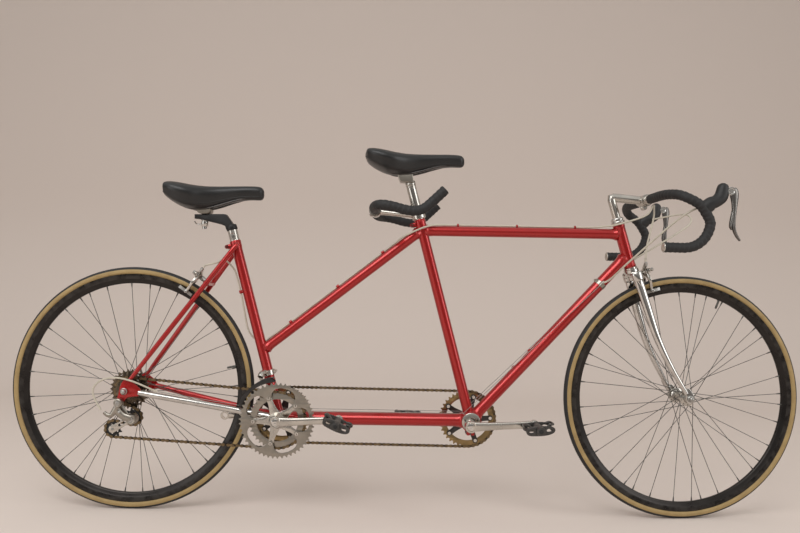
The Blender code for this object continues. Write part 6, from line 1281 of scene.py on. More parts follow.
dress_front(joined("fork_chromed", parts), CHROME, "chrome", "fork")

# The headset: bright turned steel cups and a ringed locknut above the head tube.
# The lower race sits on the fork's crown.
cup = [(0.3, 13.5), (0.3, 16.8), (1.2, 17.3), (4.6, 18.8), (5.6, 19.5), (8.4, 19.5), (9.2, 18.8), (9.4, 16.6),
    (10.4, 16.2), (10.4, 13.5)]
washer = [(10.7, 13.5), (10.7, 16.6), (11.2, 17), (11.8, 16.6), (11.8, 13.5)]
locknut = [(12.1, 13.5), (12.1, 16.6), (12.8, 17.4), (16.2, 17.4), (17, 16.6), (17.4, 15.6), (19.2, 15),
    (19.9, 14.2), (19.9, 13.5)]
rings = [spun("cup", cup, HEAD_HIGH, HEAD_UP, 56, True), spun("washer", washer, HEAD_HIGH, HEAD_UP, 48, True),
    spun("locknut", locknut, HEAD_HIGH, HEAD_UP, 48, True)]
dress_front(joined("headset_rings", rings), CHROME, "chrome", "headset_upper_race")

# The stem: polished cast alloy, a quill with a near-square corner and an extension to the bar's clamp.
# A pinch bolt closes the clamp from below.
STEM_TOP = point(0.55664, 0, 0.88815)
BAR = point(0.65364, 0, 0.88115)
BAR_OUT = 0.205
quill = [STEM_TOP - HEAD_UP * 0.15, STEM_TOP - HEAD_UP * 0.08, STEM_TOP - HEAD_UP * 0.016,
    STEM_TOP - HEAD_UP * 0.007 + point(0.0004, 0, 0)]
bend = places_from(STEM_TOP, (0.0012, 0, -0.0012), (0.0075, 0, -0.0004), (0.016, 0, -0.0011), (0.03, 0, -0.0021))
route = quill + bend + [STEM_TOP.lerp(BAR, share) for share in (0.45, 0.6, 0.75, 0.88, 0.955)]
sizes = [0.011, 0.011, 0.011, (0.0111, 0.0114), (0.0113, 0.0118), (0.0112, 0.012), (0.011, 0.0121),
    (0.0109, 0.0121), (0.0107, 0.0119), (0.0105, 0.0118), (0.0103, 0.0117), (0.0102, 0.0117), (0.0102, 0.0118)]
parts = [tube("quill", route, sizes, 40)]
barrel = [(-20, 11.7), (-20, 15.8), (-19, 16.7), (-15, 16.8), (15, 16.8), (19, 16.7), (20, 15.8), (20, 11.7)]
parts.append(spun("clamp", barrel, BAR, SIDEWAYS, 56, True))
ear = BAR + point(-0.002, 0, -0.0195)
ear_shape = [(-10, 0), (-10, 5.6), (-9, 6.5), (-1.2, 6.5), (-0.8, 6), (0.8, 6), (1.2, 6.5), (9, 6.5), (10, 5.6),
    (10, 0)]
parts.append(spun("ear", ear_shape, ear, SIDEWAYS, 32))
dress_front(joined("stem_polished", parts), ALLOY, "polished_alloy", "stem")
bolt = [(-11.8, 0), (-11.8, 3.8), (-11.2, 4.4), (-9.6, 4.4), (-9.6, 3), (9.6, 3), (9.6, 4.8), (12, 4.8),
    (12.4, 4), (12.4, 0)]
dress_front(spun("stem_bolt", bolt, ear, SIDEWAYS, 6, False, 20), STEEL, "steel", "stem")

# The handlebar: an alloy tube in a bright centre sleeve, wound with black cloth tape down both drops.
# Each end is closed by a bright plug. The tape's laps step up along a spiral.
TAPE = finish_of("black_bar_tape", (0.0085, 0.0082, 0.0085), (0.017, 0.0162, 0.0165), (0.55, 0.72), 0.0, 70, 0.3,
    2600, 0.00012)
TAPE_STEP = 0.0017


def evenly(route, gap):
    """The same route in equal steps."""
    found, left = [route[0]], gap
    for start, end in zip(route, route[1:]):
        length = (end - start).length
        while length - left > 0.3 * gap:
            found.append(start.lerp(end, left / length))
            left += gap
        left -= length
    found.append(route[-1])
    return found


def wound(name, route, low, high, lap_width):
    """Bar tape: fine rings whose radius jumps up once a turn, so each lap's edge winds round the bar."""
    path = evenly(route, TAPE_STEP)
    rings = []
    for turn, (place, ring) in enumerate(zip(path, tube_rings(path, 1.0, 28))):
        corners = []
        for side, corner in enumerate(ring):
            lap = (turn * TAPE_STEP / lap_width + side / 28) % 1
            lift = lap / 0.13 if lap < 0.13 else 1 - (lap - 0.13) / 0.87
            corners.append(place + (corner - place) * (low + (high - low) * lift))
        rings.append(corners)
    return skin(name, rings, 60)


def bar_half(side):
    knots = [(0.0, 0.04, 0.0), (0.0, 0.07, 0.0), (0.0, 0.105, 0.0), (0.004, 0.14, -0.001),
        (0.015, 0.172, -0.005), (0.025, 0.19, -0.0115), (0.0355, 0.199, -0.0185), (0.05, 0.203, -0.0265),
        (0.0645, BAR_OUT, -0.0375), (0.076, BAR_OUT, -0.053)]
    route = [BAR + point(forward, out, up) for forward, out, up in knots]
    drop = BAR + point(0.0215, 0, -0.0777)
    route += [place_round(drop, 0.067, turn, BAR_OUT) for turn in (0, -18, -36, -54, -72, -90)]
    route += [route[-1] - point(0.019, 0, 0), route[-1] - point(0.038, 0, 0), route[-1] - point(0.055, 0, 0)]
    return [point(place.x, place.y * side, place.z) for place in smooth_route(route, 6)]


halves = [wound("tape", bar_half(side), 0.012, 0.0133, 0.0125) for side in (-1, 1)]
dress_front(joined("drop_bar_tape", halves), TAPE, "bar_tape", "drop_handlebar")
centre = [(-41, 0), (-41, 11.5), (-30, 11.5), (-29.6, 12.2), (-29, 12.7), (-27, 13.3), (-21, 13.3)]
parts = [spun("sleeve", both_ways(centre), BAR, SIDEWAYS, 48)]
for side in (-1, 1):
    end = bar_half(side)[-1]
    plug = [(-0.8, 0), (-0.8, 11.9), (0.6, 12.6), (1.6, 11.8), (1.9, 8.6), (1.4, 7.4), (1.8, 5), (1.9, 0)]
    parts.append(spun("plug", plug, end, point(-1, 0, 0), 32))
dress_front(joined("drop_bar_metal", parts), ALLOY, "polished_alloy", "drop_handlebar")

# The brake hoods: moulded black rubber over the levers' brackets, standing up and forward on the bar.
# Each swallows the bar below and ends in a rounded nose, hollowed where the lever's head turns.
HOOD = finish_of("moulded_hood_rubber", (0.0075, 0.0072, 0.0075), (0.014, 0.0135, 0.0135), (0.42, 0.58), 0.0, 55,
    0.3, 1700, 0.00005)
HEAD_ROOM = 0.012


def lever_places(side):
    """A hood's seat on the bar, and the pin that its lever turns on."""
    seat = BAR + point(0.0844, side * BAR_OUT, -0.035)
    return seat, seat + point(0.0575, 0, 0.037)


for side, word in ((-1, "right"), (1, "left")):
    seat, pivot = lever_places(side)
    out = point(math.cos(math.radians(40)), 0, math.sin(math.radians(40)))
    spine = [seat - out * 0.015, seat - out * 0.012, seat, seat + out * 0.008]
    spine += places_from(seat, (0.018, 0, 0.01), (0.031, 0, 0.021), (0.0355, 0, 0.034), (0.0368, 0, 0.044),
        (0.037, 0, 0.052), (0.0372, 0, 0.057))
    widths = [(0.011, 0.014), (0.0128, 0.0175), (0.0138, 0.018), (0.0143, 0.0168), (0.0148, 0.0158),
        (0.015, 0.0172), (0.0148, 0.0166), (0.0142, 0.0152), (0.0126, 0.0118), (0.0055, 0.005)]
    route = smooth_route(spine, 4)
    rings = tube_rings(route, eased(widths, 4), 36)
    for ring in rings:
        for corner in ring:
            reach = math.hypot(corner.x - pivot.x, corner.z - pivot.z)
            if reach < HEAD_ROOM:
                corner.x = pivot.x + (corner.x - pivot.x) * HEAD_ROOM / reach
                corner.z = pivot.z + (corner.z - pivot.z) * HEAD_ROOM / reach
    dress_front(skin(f"brake_hood_{word}_rubber", rings, 50), HOOD, "hood_rubber", f"brake_hood_{word}")

# The brake levers: cast alloy blades with a polished round head on a steel pin.
# A short paddle for the gears stands behind each blade.
LEVER = finish_of("grey_cast_lever", (0.19, 0.178, 0.165), (0.12, 0.112, 0.105), (0.24, 0.38), 0.95, 40, 0.25,
    1300, 0.00004)
for side, word in ((-1, "right"), (1, "left")):
    _, pivot = lever_places(side)
    knots = [(0.007, 0.0085), (0.0088, 0.002), (0.01, -0.01), (0.0104, -0.03), (0.0098, -0.05), (0.0078, -0.075),
        (0.0094, -0.097), (0.0165, -0.114), (0.025, -0.1255)]
    widths = [(0.004, 0.0064), (0.0052, 0.0108), (0.0056, 0.0118), (0.006, 0.0084), (0.006, 0.0062),
        (0.006, 0.0052), (0.006, 0.0044), (0.0054, 0.0036), (0.0038, 0.0026)]
    route = smooth_route([pivot + point(x, 0, z) for x, z in knots], 5)
    blade = tube("blade", route, eased(widths, 5), 28)
    paddle_line = ((0.006, -0.05), (0.0045, -0.064), (0.0014, -0.08), (0.0008, -0.091), (0.0034, -0.0985))
    paddle_route = smooth_route([pivot + point(x, -side * 0.001, z) for x, z in paddle_line], 4)
    paddle_sizes = ((0.003, 0.003), (0.0048, 0.004), (0.005, 0.004), (0.005, 0.0034), (0.0034, 0.0016))
    paddle = tube("paddle", paddle_route, eased(paddle_sizes, 4), 24)
    dress(turned_front(joined(f"brake_lever_{word}_cast", [blade, paddle])), LEVER, f"{word}_lever",
        "lever_grey", f"brake_lever_{word}")
    head = [(-6, 0), (-6, 3), (-5.2, 3.4), (-5.2, 6.2), (-6.2, 7.4), (-6.2, 9.8), (-5, 10.8)]
    dress(turned_front(spun(f"brake_lever_{word}_head", both_ways(head), pivot, SIDEWAYS, 40)), CHROME,
        f"{word}_lever", "chrome", f"brake_lever_{word}")

# The brakes: forged side-pull arms, one in front of the other on a central bolt, with a spring behind.
# Each foot holds a rubber block in a steel shoe. The wire runs from an adjuster down to a clamp bolt.
WIRE = finish_of("bare_steel_wire", (0.36, 0.35, 0.33), (0.27, 0.26, 0.24), (0.3, 0.42), 1.0, 200, 0.25, 3000,
    0.00002)
TRACK_RADIUS = 0.3085
WIRE_RADIUS = 0.0008


def reach_down(start, down, axle):
    """How far down the pads lie on the rim's brake track."""
    away = start - axle
    along = away.dot(down)
    return -along - math.sqrt(along * along - away.length_squared + TRACK_RADIUS**2)


def brake(prefix, seat, out, down, axle, finish_piece):
    reach = reach_down(seat + out * 0.0365, down, axle)
    for layer, side, word in ((0, -1, "right"), (1, 1, "left")):
        near = 0.029 + layer * 0.0078
        body = f"{prefix}_arm_{word}"
        place = Matrix.Identity(4)
        place.col[0] = (*(SIDEWAYS * side), 0)
        place.col[1] = (*out, 0)
        place.col[2] = (*(-down), 0)
        place.col[3] = (*seat, 1)
        outline = [(-0.0095, 0.004), (-0.0035, 0.0108), (0.0095, 0.0098), (0.0215, 0.0035), (0.03, -0.0045),
            (0.0342, -0.016), (0.0342, -0.026), (0.029, -0.04)]
        outline += [(0.0266, -reach - 0.0036), (0.0196, -reach - 0.003), (0.0196, -reach + 0.0058),
            (0.0226, -0.034), (0.0248, -0.024), (0.02, -0.0125), (0.006, -0.0098), (-0.0068, -0.0068)]
        origin = point(0, 0, 0)
        arms = [flat_plate("arm", rounded(outline, 3), [hole(origin, 0.0044, 20)], near, near + 0.0075, 0.0014,
            place, 2)]
        if side < 0:
            finger = [(0.004, 0.0065), (0.012, 0.0082), (0.031, 0.0185), (0.0352, 0.0225), (0.0352, 0.0275),
                (0.029, 0.0282), (0.002, 0.0118)]
        else:
            finger = [(-0.004, 0.0108), (-0.033, 0.0098), (-0.0366, 0.0065), (-0.034, 0.001), (-0.009, 0.0002)]
        arms.append(flat_plate("finger", rounded(finger, 3), [], near + 0.0006, near + 0.0069, 0.0012, place, 2))
        dress(finish_piece(joined(f"{prefix}_brake_arm_{word}_forged", arms)), ALLOY, body, "polished_alloy",
            f"{prefix}_brake_arm_{word}")
        shoe = [(0.0158, -reach - 0.0046), (0.0199, -reach - 0.004), (0.0199, -reach + 0.004),
            (0.0158, -reach + 0.0046)]
        metal = [flat_plate("shoe", shoe, [], 0.015, 0.058, 0.0005, place)]
        foot = place @ point(0.0198, near + 0.00375, -reach + 0.0012)
        stud = [(0, 0), (0, 3), (5.8, 3), (5.8, 5), (6.6, 5.4), (10.4, 5.4), (11.4, 4.6), (12, 2.8), (12, 0)]
        metal.append(spun("stud", stud, foot, SIDEWAYS * side, 6, False, 20))
        if side < 0:
            spot = place @ point(0.0325, near + 0.00375, 0.0168)
            guide = [(0, 0), (0, 3), (1, 4), (6, 4), (7, 4.6), (11, 4.6), (11.8, 3.6), (11.8, 0)]
            metal.append(spun("adjuster", guide, spot, -down, 20))
            wire = [place @ point(0.0325, near + 0.00375, 0.0175), place @ point(0.0329, near + 0.0038, 0.002)]
            dress(finish_piece(tube(f"{prefix}_brake_wire_end", wire, WIRE_RADIUS, 10)), WIRE, body, "steel")
        else:
            spot = place @ point(-0.0305, near - 0.0012, 0.0052)
            clamp = [(0, 0), (0, 3.6), (8.2, 3.6), (8.6, 5.2), (9.2, 5.6), (12, 5.6), (13, 4.6), (13.4, 0)]
            metal.append(spun("wire_clamp", clamp, spot, out, 6, False, 20))
        dress(finish_piece(joined(f"{prefix}_brake_{word}_steel", metal)), STEEL, body, "steel")
        rubber = [(0.0114, -reach - 0.0044), (0.0162, -reach - 0.0047), (0.0162, -reach + 0.0047),
            (0.0114, -reach + 0.0044)]
        pad = flat_plate(f"{prefix}_brake_pad_{word}", rounded(rubber, 2), [], 0.0146, 0.0584, 0.0008, place)
        dress(finish_piece(pad), BLACK_RUBBER, body, "hood_rubber")


brake("front", FRONT_SEAT, HEAD_AHEAD, -HEAD_UP, FRONT_AXLE, turned_front)
REAR_OUT = point(-0.80822, 0, 0.58888)
STAY_DOWN = point(-0.58888, 0, -0.80822)
brake("rear", bridge, REAR_OUT, STAY_DOWN, REAR_AXLE, lambda piece: piece)
parts = [spun("rear_post", post, bridge, REAR_OUT, 32), spun("rear_nut", nut, bridge, REAR_OUT, 6, False, 20)]
dress(joined("rear_brake_bolt", parts), STEEL, "frame", "steel", "seatstay_left")

# The saddles: black leather over a padded shell, broad at the back and narrow at the nose.
# The cover is drawn in under its edge and closed there with a piped seam. Two steel rails run below.
LEATHER = finish_of("black_saddle_leather", (0.0075, 0.0076, 0.008), (0.014, 0.0138, 0.0138), (0.3, 0.42), 0.0,
    16, 0.3, 1500, 0.00009)
PIPING = finish_of("black_piping", (0.006, 0.006, 0.006), (0.012, 0.012, 0.012), (0.35, 0.5), 0.0, 60, 0.3, 1500,
    0.00005)
SADDLE_LENGTH = 0.2755
SADDLE_KNOTS = [(0, 0.46, 0.011, 0.4), (0.025, 0.74, 0.002, 0.53), (0.1, 0.94, 0.001, 0.74),
    (0.2, 1.0, 0.005, 0.92), (0.3, 0.89, 0.01, 1.0), (0.42, 0.61, 0.013, 0.99), (0.55, 0.43, 0.0135, 0.88),
    (0.7, 0.34, 0.013, 0.73), (0.85, 0.29, 0.0125, 0.66), (0.95, 0.25, 0.014, 0.66), (1.0, 0.16, 0.02, 0.64)]
SADDLE_LINE = list(zip(smooth_route([point(share, wide, dip) for share, wide, dip, _ in SADDLE_KNOTS], 8),
    smooth_route([point(share, depth, 0) for share, _, _, depth in SADDLE_KNOTS], 8)))


def closed_curve(corners, steps):
    """A smooth closed line through its corners."""
    found = []
    count = len(corners)
    for turn in range(count):
        four = [corners[(turn + shift) % count] for shift in (-1, 0, 1, 2)]
        found += [curve_place(*four, part / steps) for part in range(steps)]
    return found


def saddle_section(share, rear_x, top_z, depth_share, tilt):
    """The cover's section here: its crown, its full sides and the underside, rounded off at both ends."""
    for (first, shallow), (last, deep) in zip(SADDLE_LINE, SADDLE_LINE[1:]):
        if share <= last.x:
            break
    part = min(1.0, max(0.0, (share - first.x) / (last.x - first.x)))
    wide, dip = first.y + (last.y - first.y) * part, first.z + (last.z - first.z) * part
    depth = shallow.y + (deep.y - shallow.y) * part
    half = wide * 0.07
    x = rear_x + SADDLE_LENGTH * share
    lift = (share - 0.3) * SADDLE_LENGTH * math.tan(math.radians(tilt))
    top = top_z - dip + lift
    low = top_z - depth * depth_share + lift
    tall = top - low
    foot = min(half * 0.55, 0.024)
    side = [(half * 0.55, top - tall * 0.03), (half * 0.9, top - tall * 0.16), (half, top - tall * 0.36),
        (half * 0.93, top - tall * 0.62), (half * 0.8, low + tall * 0.15), (foot, low + tall * 0.03)]
    loop = [point(x, 0, top)] + [point(x, y, z) for y, z in side]
    loop += [point(x, 0, low)] + [point(x, -y, z) for y, z in reversed(side)]
    close = min(1.0, share / 0.035, (1 - share) / 0.03)
    shrink = 0.3 + 0.7 * math.sqrt(1 - (1 - close) ** 2)
    middle = point(x, 0, top - tall * 0.42)
    return [middle + (corner - middle) * shrink for corner in loop]


def saddle(word, rear_x, top_z, depth_share, tilt):
    shares = [0, 0.001, 0.003, 0.006, 0.011, 0.018, 0.026, 0.036, 0.048, 0.06]
    shares += [0.08 + 0.02 * turn for turn in range(44)]
    shares += [0.952, 0.963, 0.974, 0.983, 0.99, 0.995, 0.9985, 1.0]
    sections = [saddle_section(share, rear_x, top_z, depth_share, tilt) for share in shares]
    cover = skin(f"{word}_saddle_cover", [closed_curve(section, 4) for section in sections], 70)
    dress(cover, LEATHER, f"{word}_post", "saddle", f"{word}_saddle")
    edge = [section[5].lerp(section[4], 0.35) for section in sections[3:-3]]
    other = [section[9].lerp(section[10], 0.35) for section in sections[3:-3]]
    seam = evenly(list(reversed(edge)) + other, 0.004)
    dress(tube(f"{word}_saddle_piping", seam, 0.0013, 10), PIPING, f"{word}_post", "saddle")
    rails = []
    for side in (-1, 1):
        route = []
        for share, drop in ((0.9, 0.004), (0.8, 0.001), (0.68, -0.0022), (0.56, -0.003), (0.46, -0.0024),
                (0.38, -0.001), (0.3, -0.001), (0.22, 0.003), (0.12, 0.01)):
            section = saddle_section(share, rear_x, top_z, depth_share, tilt)
            spread = 0.0075 + 0.0135 * min(1, (0.95 - share) / 0.35)
            route.append(point(section[7].x, side * spread, section[7].z + drop + 0.0034))
        rails.append(tube("rail", smooth_route(route, 4), 0.003, 16))
    dress(joined(f"{word}_saddle_rails", rails), DARK_STEEL_AND_HOLE_SHADE, f"{word}_post", "steel")


saddle("captain", -0.129, 1.0115, 0.0715, 0.0)
saddle("stoker", -0.6855, 0.912, 0.078, 0.9)

# The seatposts: polished alloy tubes with dark flutes milled down their sides.
# The captain's ends in a plain clamp under the rails, the stoker's in a black arm set back.
DARK_FLUTE = finish_of("dark_flute", (0.09, 0.082, 0.072), (0.05, 0.046, 0.042), (0.4, 0.55), 0.8, 60, 0.25,
    1500, 0.00003)
BLACK_ALLOY = finish_of("black_alloy", (0.01, 0.01, 0.0105), (0.018, 0.0175, 0.0175), (0.34, 0.48), 0.3, 40,
    0.25, 1600, 0.00004)
BRONZE_CLAMP = finish_of("warm_grey_clamp", (0.3, 0.27, 0.225), (0.22, 0.2, 0.17), (0.34, 0.48), 0.85, 30, 0.25,
    1500, 0.00003)


def fluted_post(name, top, height, flute_low, flute_high):
    """A post with a shallow round-ended groove on each side, and a dark strip in each groove."""
    rings = []
    levels = [-0.09, -0.0885, -0.04, 0.0] + [height * turn / 34 for turn in range(1, 35)]
    for along in levels:
        ring = []
        for turn in range(60):
            angle = 2 * math.pi * turn / 60
            off = min(abs(abs(math.degrees(angle)) - 90), abs(abs(math.degrees(angle)) - 270))
            inside = flute_low < along < flute_high and off < 19
            radius = 0.0127 if inside else 0.0136
            ring.append(top + SEAT_UP * along + (SEAT_AHEAD * math.cos(angle) + SIDEWAYS * math.sin(angle))
                * radius)
        rings.append(ring)
    post = skin(name, rings, 35)
    strips = []
    for side in (-1, 1):
        for ahead in (-0.0026, 0.0, 0.0026):
            ends = [top + SEAT_UP * (flute_low + 0.004 + abs(ahead)) + SEAT_AHEAD * ahead,
                top + SEAT_UP * (flute_high - 0.004 - abs(ahead)) + SEAT_AHEAD * ahead]
            strips.append(tube("strip", [end + SIDEWAYS * side * 0.01245 for end in ends], (0.0007, 0.0008), 10))
    return post, joined(name + "_strips", strips)


post, strips = fluted_post("captain_seatpost_tube", CAPTAIN_SEAT_TOP, 0.105, 0.024, 0.094)
dress(strips, DARK_FLUTE, "captain_post", "cage_grey")
head = CAPTAIN_SEAT_TOP + SEAT_UP * 0.10765
block = [(-0.031, 0.9205), (0.006, 0.9185), (0.004, 0.935), (0.003, 0.9455), (-0.0395, 0.9455), (-0.0365, 0.933)]
lower = flat_plate("lower_cradle", [spot for corner in block for spot in (corner, corner)], [], -0.0205, 0.0205,
    0.0016, None, 2)
crown = spun("crown", [(96, 13.6), (97.5, 14.3), (106, 14.3), (108, 13), (108, 0), (96, 0)], CAPTAIN_SEAT_TOP,
    SEAT_UP, 40)
dress(joined("captain_seatpost_polished", [post, crown]), ALLOY, "captain_post", "polished_alloy",
    "captain_seatpost")
dress(lower, SATIN, "captain_post", "polished_alloy", "captain_seatpost")
lower.name = "captain_saddle_cradle"
post, strips = fluted_post("stoker_seatpost_tube", STOKER_SEAT_TOP, 0.036, 0.002, 0.021)
dress(strips, DARK_FLUTE, "stoker_post", "cage_grey")
dress(post, ALLOY, "stoker_post", "polished_alloy", "stoker_seatpost")
arm = [(-0.6002, 0.821), (-0.56, 0.8222), (-0.52, 0.8232), (-0.513, 0.8222), (-0.495, 0.7975), (-0.4935, 0.785),
    (-0.512, 0.78), (-0.515, 0.7895), (-0.525, 0.794), (-0.588, 0.8085), (-0.6, 0.8095)]
parts = [flat_plate("arm", arm, [], -0.0138, 0.0138, 0.0032, None, 3)]
socket = [(30, 13.7), (30, 14.6), (31, 15.2), (40, 15.2), (45, 14), (45, 0), (30, 0)]
parts.append(spun("socket", socket, STOKER_SEAT_TOP, SEAT_UP, 40))
dress(joined("stoker_setback_arm", parts), BLACK_ALLOY, "stoker_post", "cage_grey", "stoker_seatpost")
cradle = [(-0.5885, 0.8225), (-0.5575, 0.8225), (-0.5545, 0.833), (-0.556, 0.8395), (-0.592, 0.8395),
    (-0.5935, 0.833)]
clamp = flat_plate("stoker_saddle_cradle", rounded(cradle, 3), [], -0.0205, 0.0205, 0.0016, None, 2)
dress(clamp, BRONZE_CLAMP, "stoker_post", "steel", "stoker_seatpost")
place = point(-0.574, 0, 0.8095)
bolt = [(0, 0), (0, 8.5), (1.5, 10.4), (4, 10.4), (5.2, 8), (6.6, 7.8), (7.2, 9.6), (19, 9.8), (20.5, 9),
    (21.5, 6.6), (28, 6.2), (28.4, 0)]
metal = [spun("bolt", bolt, place, point(0, 0, -1), 28)]
small_route = [(-0.578, 0.7935), (-0.586, 0.7938), (-0.594, 0.7942), (-0.599, 0.797), (-0.6025, 0.802)]
lever = smooth_route([point(x, 0, z) for x, z in small_route], 4)
metal.append(tube("small_lever", lever, [(0.004, 0.0022)] * 9 + [(0.005, 0.002)] * 8, 16))
metal.append(spun("top_washer", [(0, 0), (0, 8.5), (1.2, 8.8), (2.2, 8), (2.2, 0)], point(-0.574, 0, 0.8238),
    point(0, 0, -1), 24))
dress(joined("stoker_clamp_bolt", metal), CHROME, "stoker_post", "chrome", "stoker_seatpost")

# The stoker's stem and bar: a collar round the captain's post, an extension back to a clamp, and a horn bar.
# The bar is wound with black tape up both horns.
STOKER_BAR = point(-0.099, 0, 0.839)
collar = CAPTAIN_SEAT_TOP + SEAT_UP * 0.0095
ring = [(-8, 13.9), (-8, 17.8), (-7, 18.8), (7, 18.8), (8, 17.8), (8, 13.9)]
route = [collar.lerp(STOKER_BAR, share) for share in (0.14, 0.22, 0.35, 0.5, 0.65, 0.8, 0.88)]
parts = [spun("collar", ring, collar, SEAT_UP, 48, True)]
parts.append(tube("extension", route, [(0.0112, 0.0075), (0.0106, 0.0075), (0.0102, 0.0076), (0.0099, 0.0078),
    (0.0097, 0.0081), (0.0096, 0.0085), (0.0096, 0.009)], 32))
parts.append(spun("clamp", barrel, STOKER_BAR, SIDEWAYS, 48, True))
bolt_ear = STOKER_BAR + point(-0.0105, 0, -0.01)
parts.append(spun("ear", [(-9.5, 0), (-9.5, 4.6), (-8.5, 5.4), (8.5, 5.4), (9.5, 4.6), (9.5, 0)], bolt_ear,
    SIDEWAYS, 28))
dress(joined("stoker_stem_polished", parts), ALLOY, "captain_post", "polished_alloy", "stoker_stem")
bolt = [(-11.2, 0), (-11.2, 3.4), (-10.5, 4), (-9.4, 4), (9.4, 4), (11.2, 4), (11.6, 3.2), (11.6, 0)]
dress(spun("stoker_stem_bolt", bolt, bolt_ear, SIDEWAYS, 6, False, 20), STEEL, "captain_post", "steel",
    "stoker_stem")


def horn(side):
    knots = [(0.0, 0.045, 0.0), (0.0, 0.075, 0.0), (0.0, 0.11, -0.001), (0.005, 0.155, -0.001),
        (0.014, 0.185, -0.001), (0.029, 0.198, -0.0015), (0.0534, 0.2, -0.006), (0.083, 0.2, -0.0136),
        (0.1088, 0.2, -0.0156), (0.1326, 0.2, -0.0075), (0.1576, 0.2, 0.0147), (0.1826, 0.2, 0.0386)]
    return smooth_route([STOKER_BAR + point(forward, out * side, up) for forward, out, up in knots], 6)


horns = [wound("tape", horn(side), 0.0121, 0.0133, 0.013) for side in (-1, 1)]
dress(joined("stoker_bar_tape", horns), TAPE, "captain_post", "bar_tape", "stoker_bar")
bare = [(-46, 0), (-46, 11.5), (46, 11.5), (46, 0)]
dress(spun("stoker_bar_centre", bare, STOKER_BAR, SIDEWAYS, 40), ALLOY, "captain_post", "polished_alloy",
    "stoker_bar")
for side, word in ((-1, "right"), (1, "left")):
    route = horn(side)
    along = (route[-1] - route[-2]).normalized()
    plug = [(-0.6, 0), (-0.6, 11.8), (0.2, 12.4), (0.9, 11.2), (1, 0)]
    dress(spun(f"stoker_bar_plug_{word}", plug, route[-1], along, 28), BLACK_RUBBER, "captain_post", "bar_tape",
        "stoker_bar")

# The cables: cream plastic housing over steel wire, with a bright ferrule at every end.
# The shift wires run bare from the stops on the down tube, over both shells and along to the derailleurs.
HOUSING = finish_of("cream_cable_housing", (0.56, 0.515, 0.42), (0.46, 0.42, 0.34), (0.34, 0.46), 0.0, 50, 0.3,
    1500, 0.00003)
HOUSING_RADIUS = 0.0025


def steered(x, y, z):
    """Where a place on the handlebar goes when the front end is turned."""
    return STEER @ (BAR + point(x, y, z))


def housing(name, route, node, body="frame", finish_piece=None):
    """A smooth run of housing with a ferrule over each end."""
    cover = tube(name, route, HOUSING_RADIUS, 14)
    ferrules = []
    for place, ahead in ((route[0], route[1]), (route[-1], route[-2])):
        shape = [(-0.2, 0), (-0.2, 1.9), (0.4, 2.8), (6, 2.8), (6.6, 2.5), (6.6, 0)]
        ferrules.append(spun("ferrule", shape, place, (ahead - place), 18))
    ends = joined(name + "_ferrules", ferrules)
    for piece in (cover, ends):
        if finish_piece:
            finish_piece(piece)
    dress(cover, HOUSING, body, "cable_housing", node)
    dress(ends, STEEL, body, "steel", node)


stop_axis = down_joint - down_way * 0.107
stops, wires = {}, {}
for side in (-1, 1):
    beside = side * 0.0183
    stops[side] = stop_axis + SIDEWAYS * side * 0.01839
    wires[side] = [stops[side], stops[side] - down_way * 0.002, place_round(CAPTAIN_SHELL, 0.0298, 134, beside),
        point(CAPTAIN_SHELL.x - 0.06, beside, 0.2824), point(STOKER_BB.x, beside, 0.2824)]
REAR_STOP = REAR_AXLE + point(0.088, -0.0645, -0.0015)
right_knots = [steered(0.1024, -0.18793, -0.029), steered(0.03, -0.178, -0.06),
    HEAD_HIGH + point(0.01, -0.1, -0.098), HEAD_LOW + point(-0.062, -0.034, -0.033), stops[-1]]
housing("rear_shift_housing", smooth_route(right_knots, 10), "rear_shift_cable")
left_knots = [steered(0.1024, 0.18793, -0.029), steered(0.172, 0.12, -0.02), steered(0.166, 0.07, -0.052),
    steered(0.092, 0.042, -0.098), HEAD_LOW + point(0.058, 0.036, 0.046), HEAD_LOW + point(-0.026, 0.03, -0.006),
    stops[1]]
housing("front_shift_housing", smooth_route(left_knots, 10), "front_shift_cable")
rear_wire = wires[-1] + [point(-0.43, -0.029, 0.291), REAR_STOP]
front_wire = wires[1][:-1] + [wires[1][-1] + point(0.016, 0, 0), STOKER_BB + point(-0.016, 0.0185, 0.0255),
    STOKER_BB + point(-0.04, -0.008, 0.05), BAND + point(-0.0165, -0.03, -0.018)]
dress(tube("rear_shift_wire", rear_wire, WIRE_RADIUS, 10), WIRE, "frame", "steel", "rear_shift_cable")
dress(tube("front_shift_wire", front_wire, WIRE_RADIUS, 10), WIRE, "frame", "steel", "front_shift_cable")
cable_end = FRONT_SEAT + HEAD_AHEAD * 0.03275 + HEAD_UP * 0.0299 - SIDEWAYS * 0.0325
front_brake_knots = places_from(BAR, (0.013, -0.034, -0.014), (0.0125, -0.033, -0.052), (-0.004, -0.031, -0.125))
front_brake_route = smooth_route(front_brake_knots + [cable_end], 10)
housing("front_brake_housing", front_brake_route, "front_brake_cable", "steering", turned_front)
TOP = 0.0171
way = (middle_low - middle_high).normalized()
off_middle = point(-way.z, 0, way.x) * -0.0163
span = (middle_low - middle_high).length


def along_middle(reach):
    return middle_high + way * reach + off_middle


def behind(height, y, back):
    return STOKER_BB + SEAT_UP * height - SEAT_AHEAD * back + SIDEWAYS * y


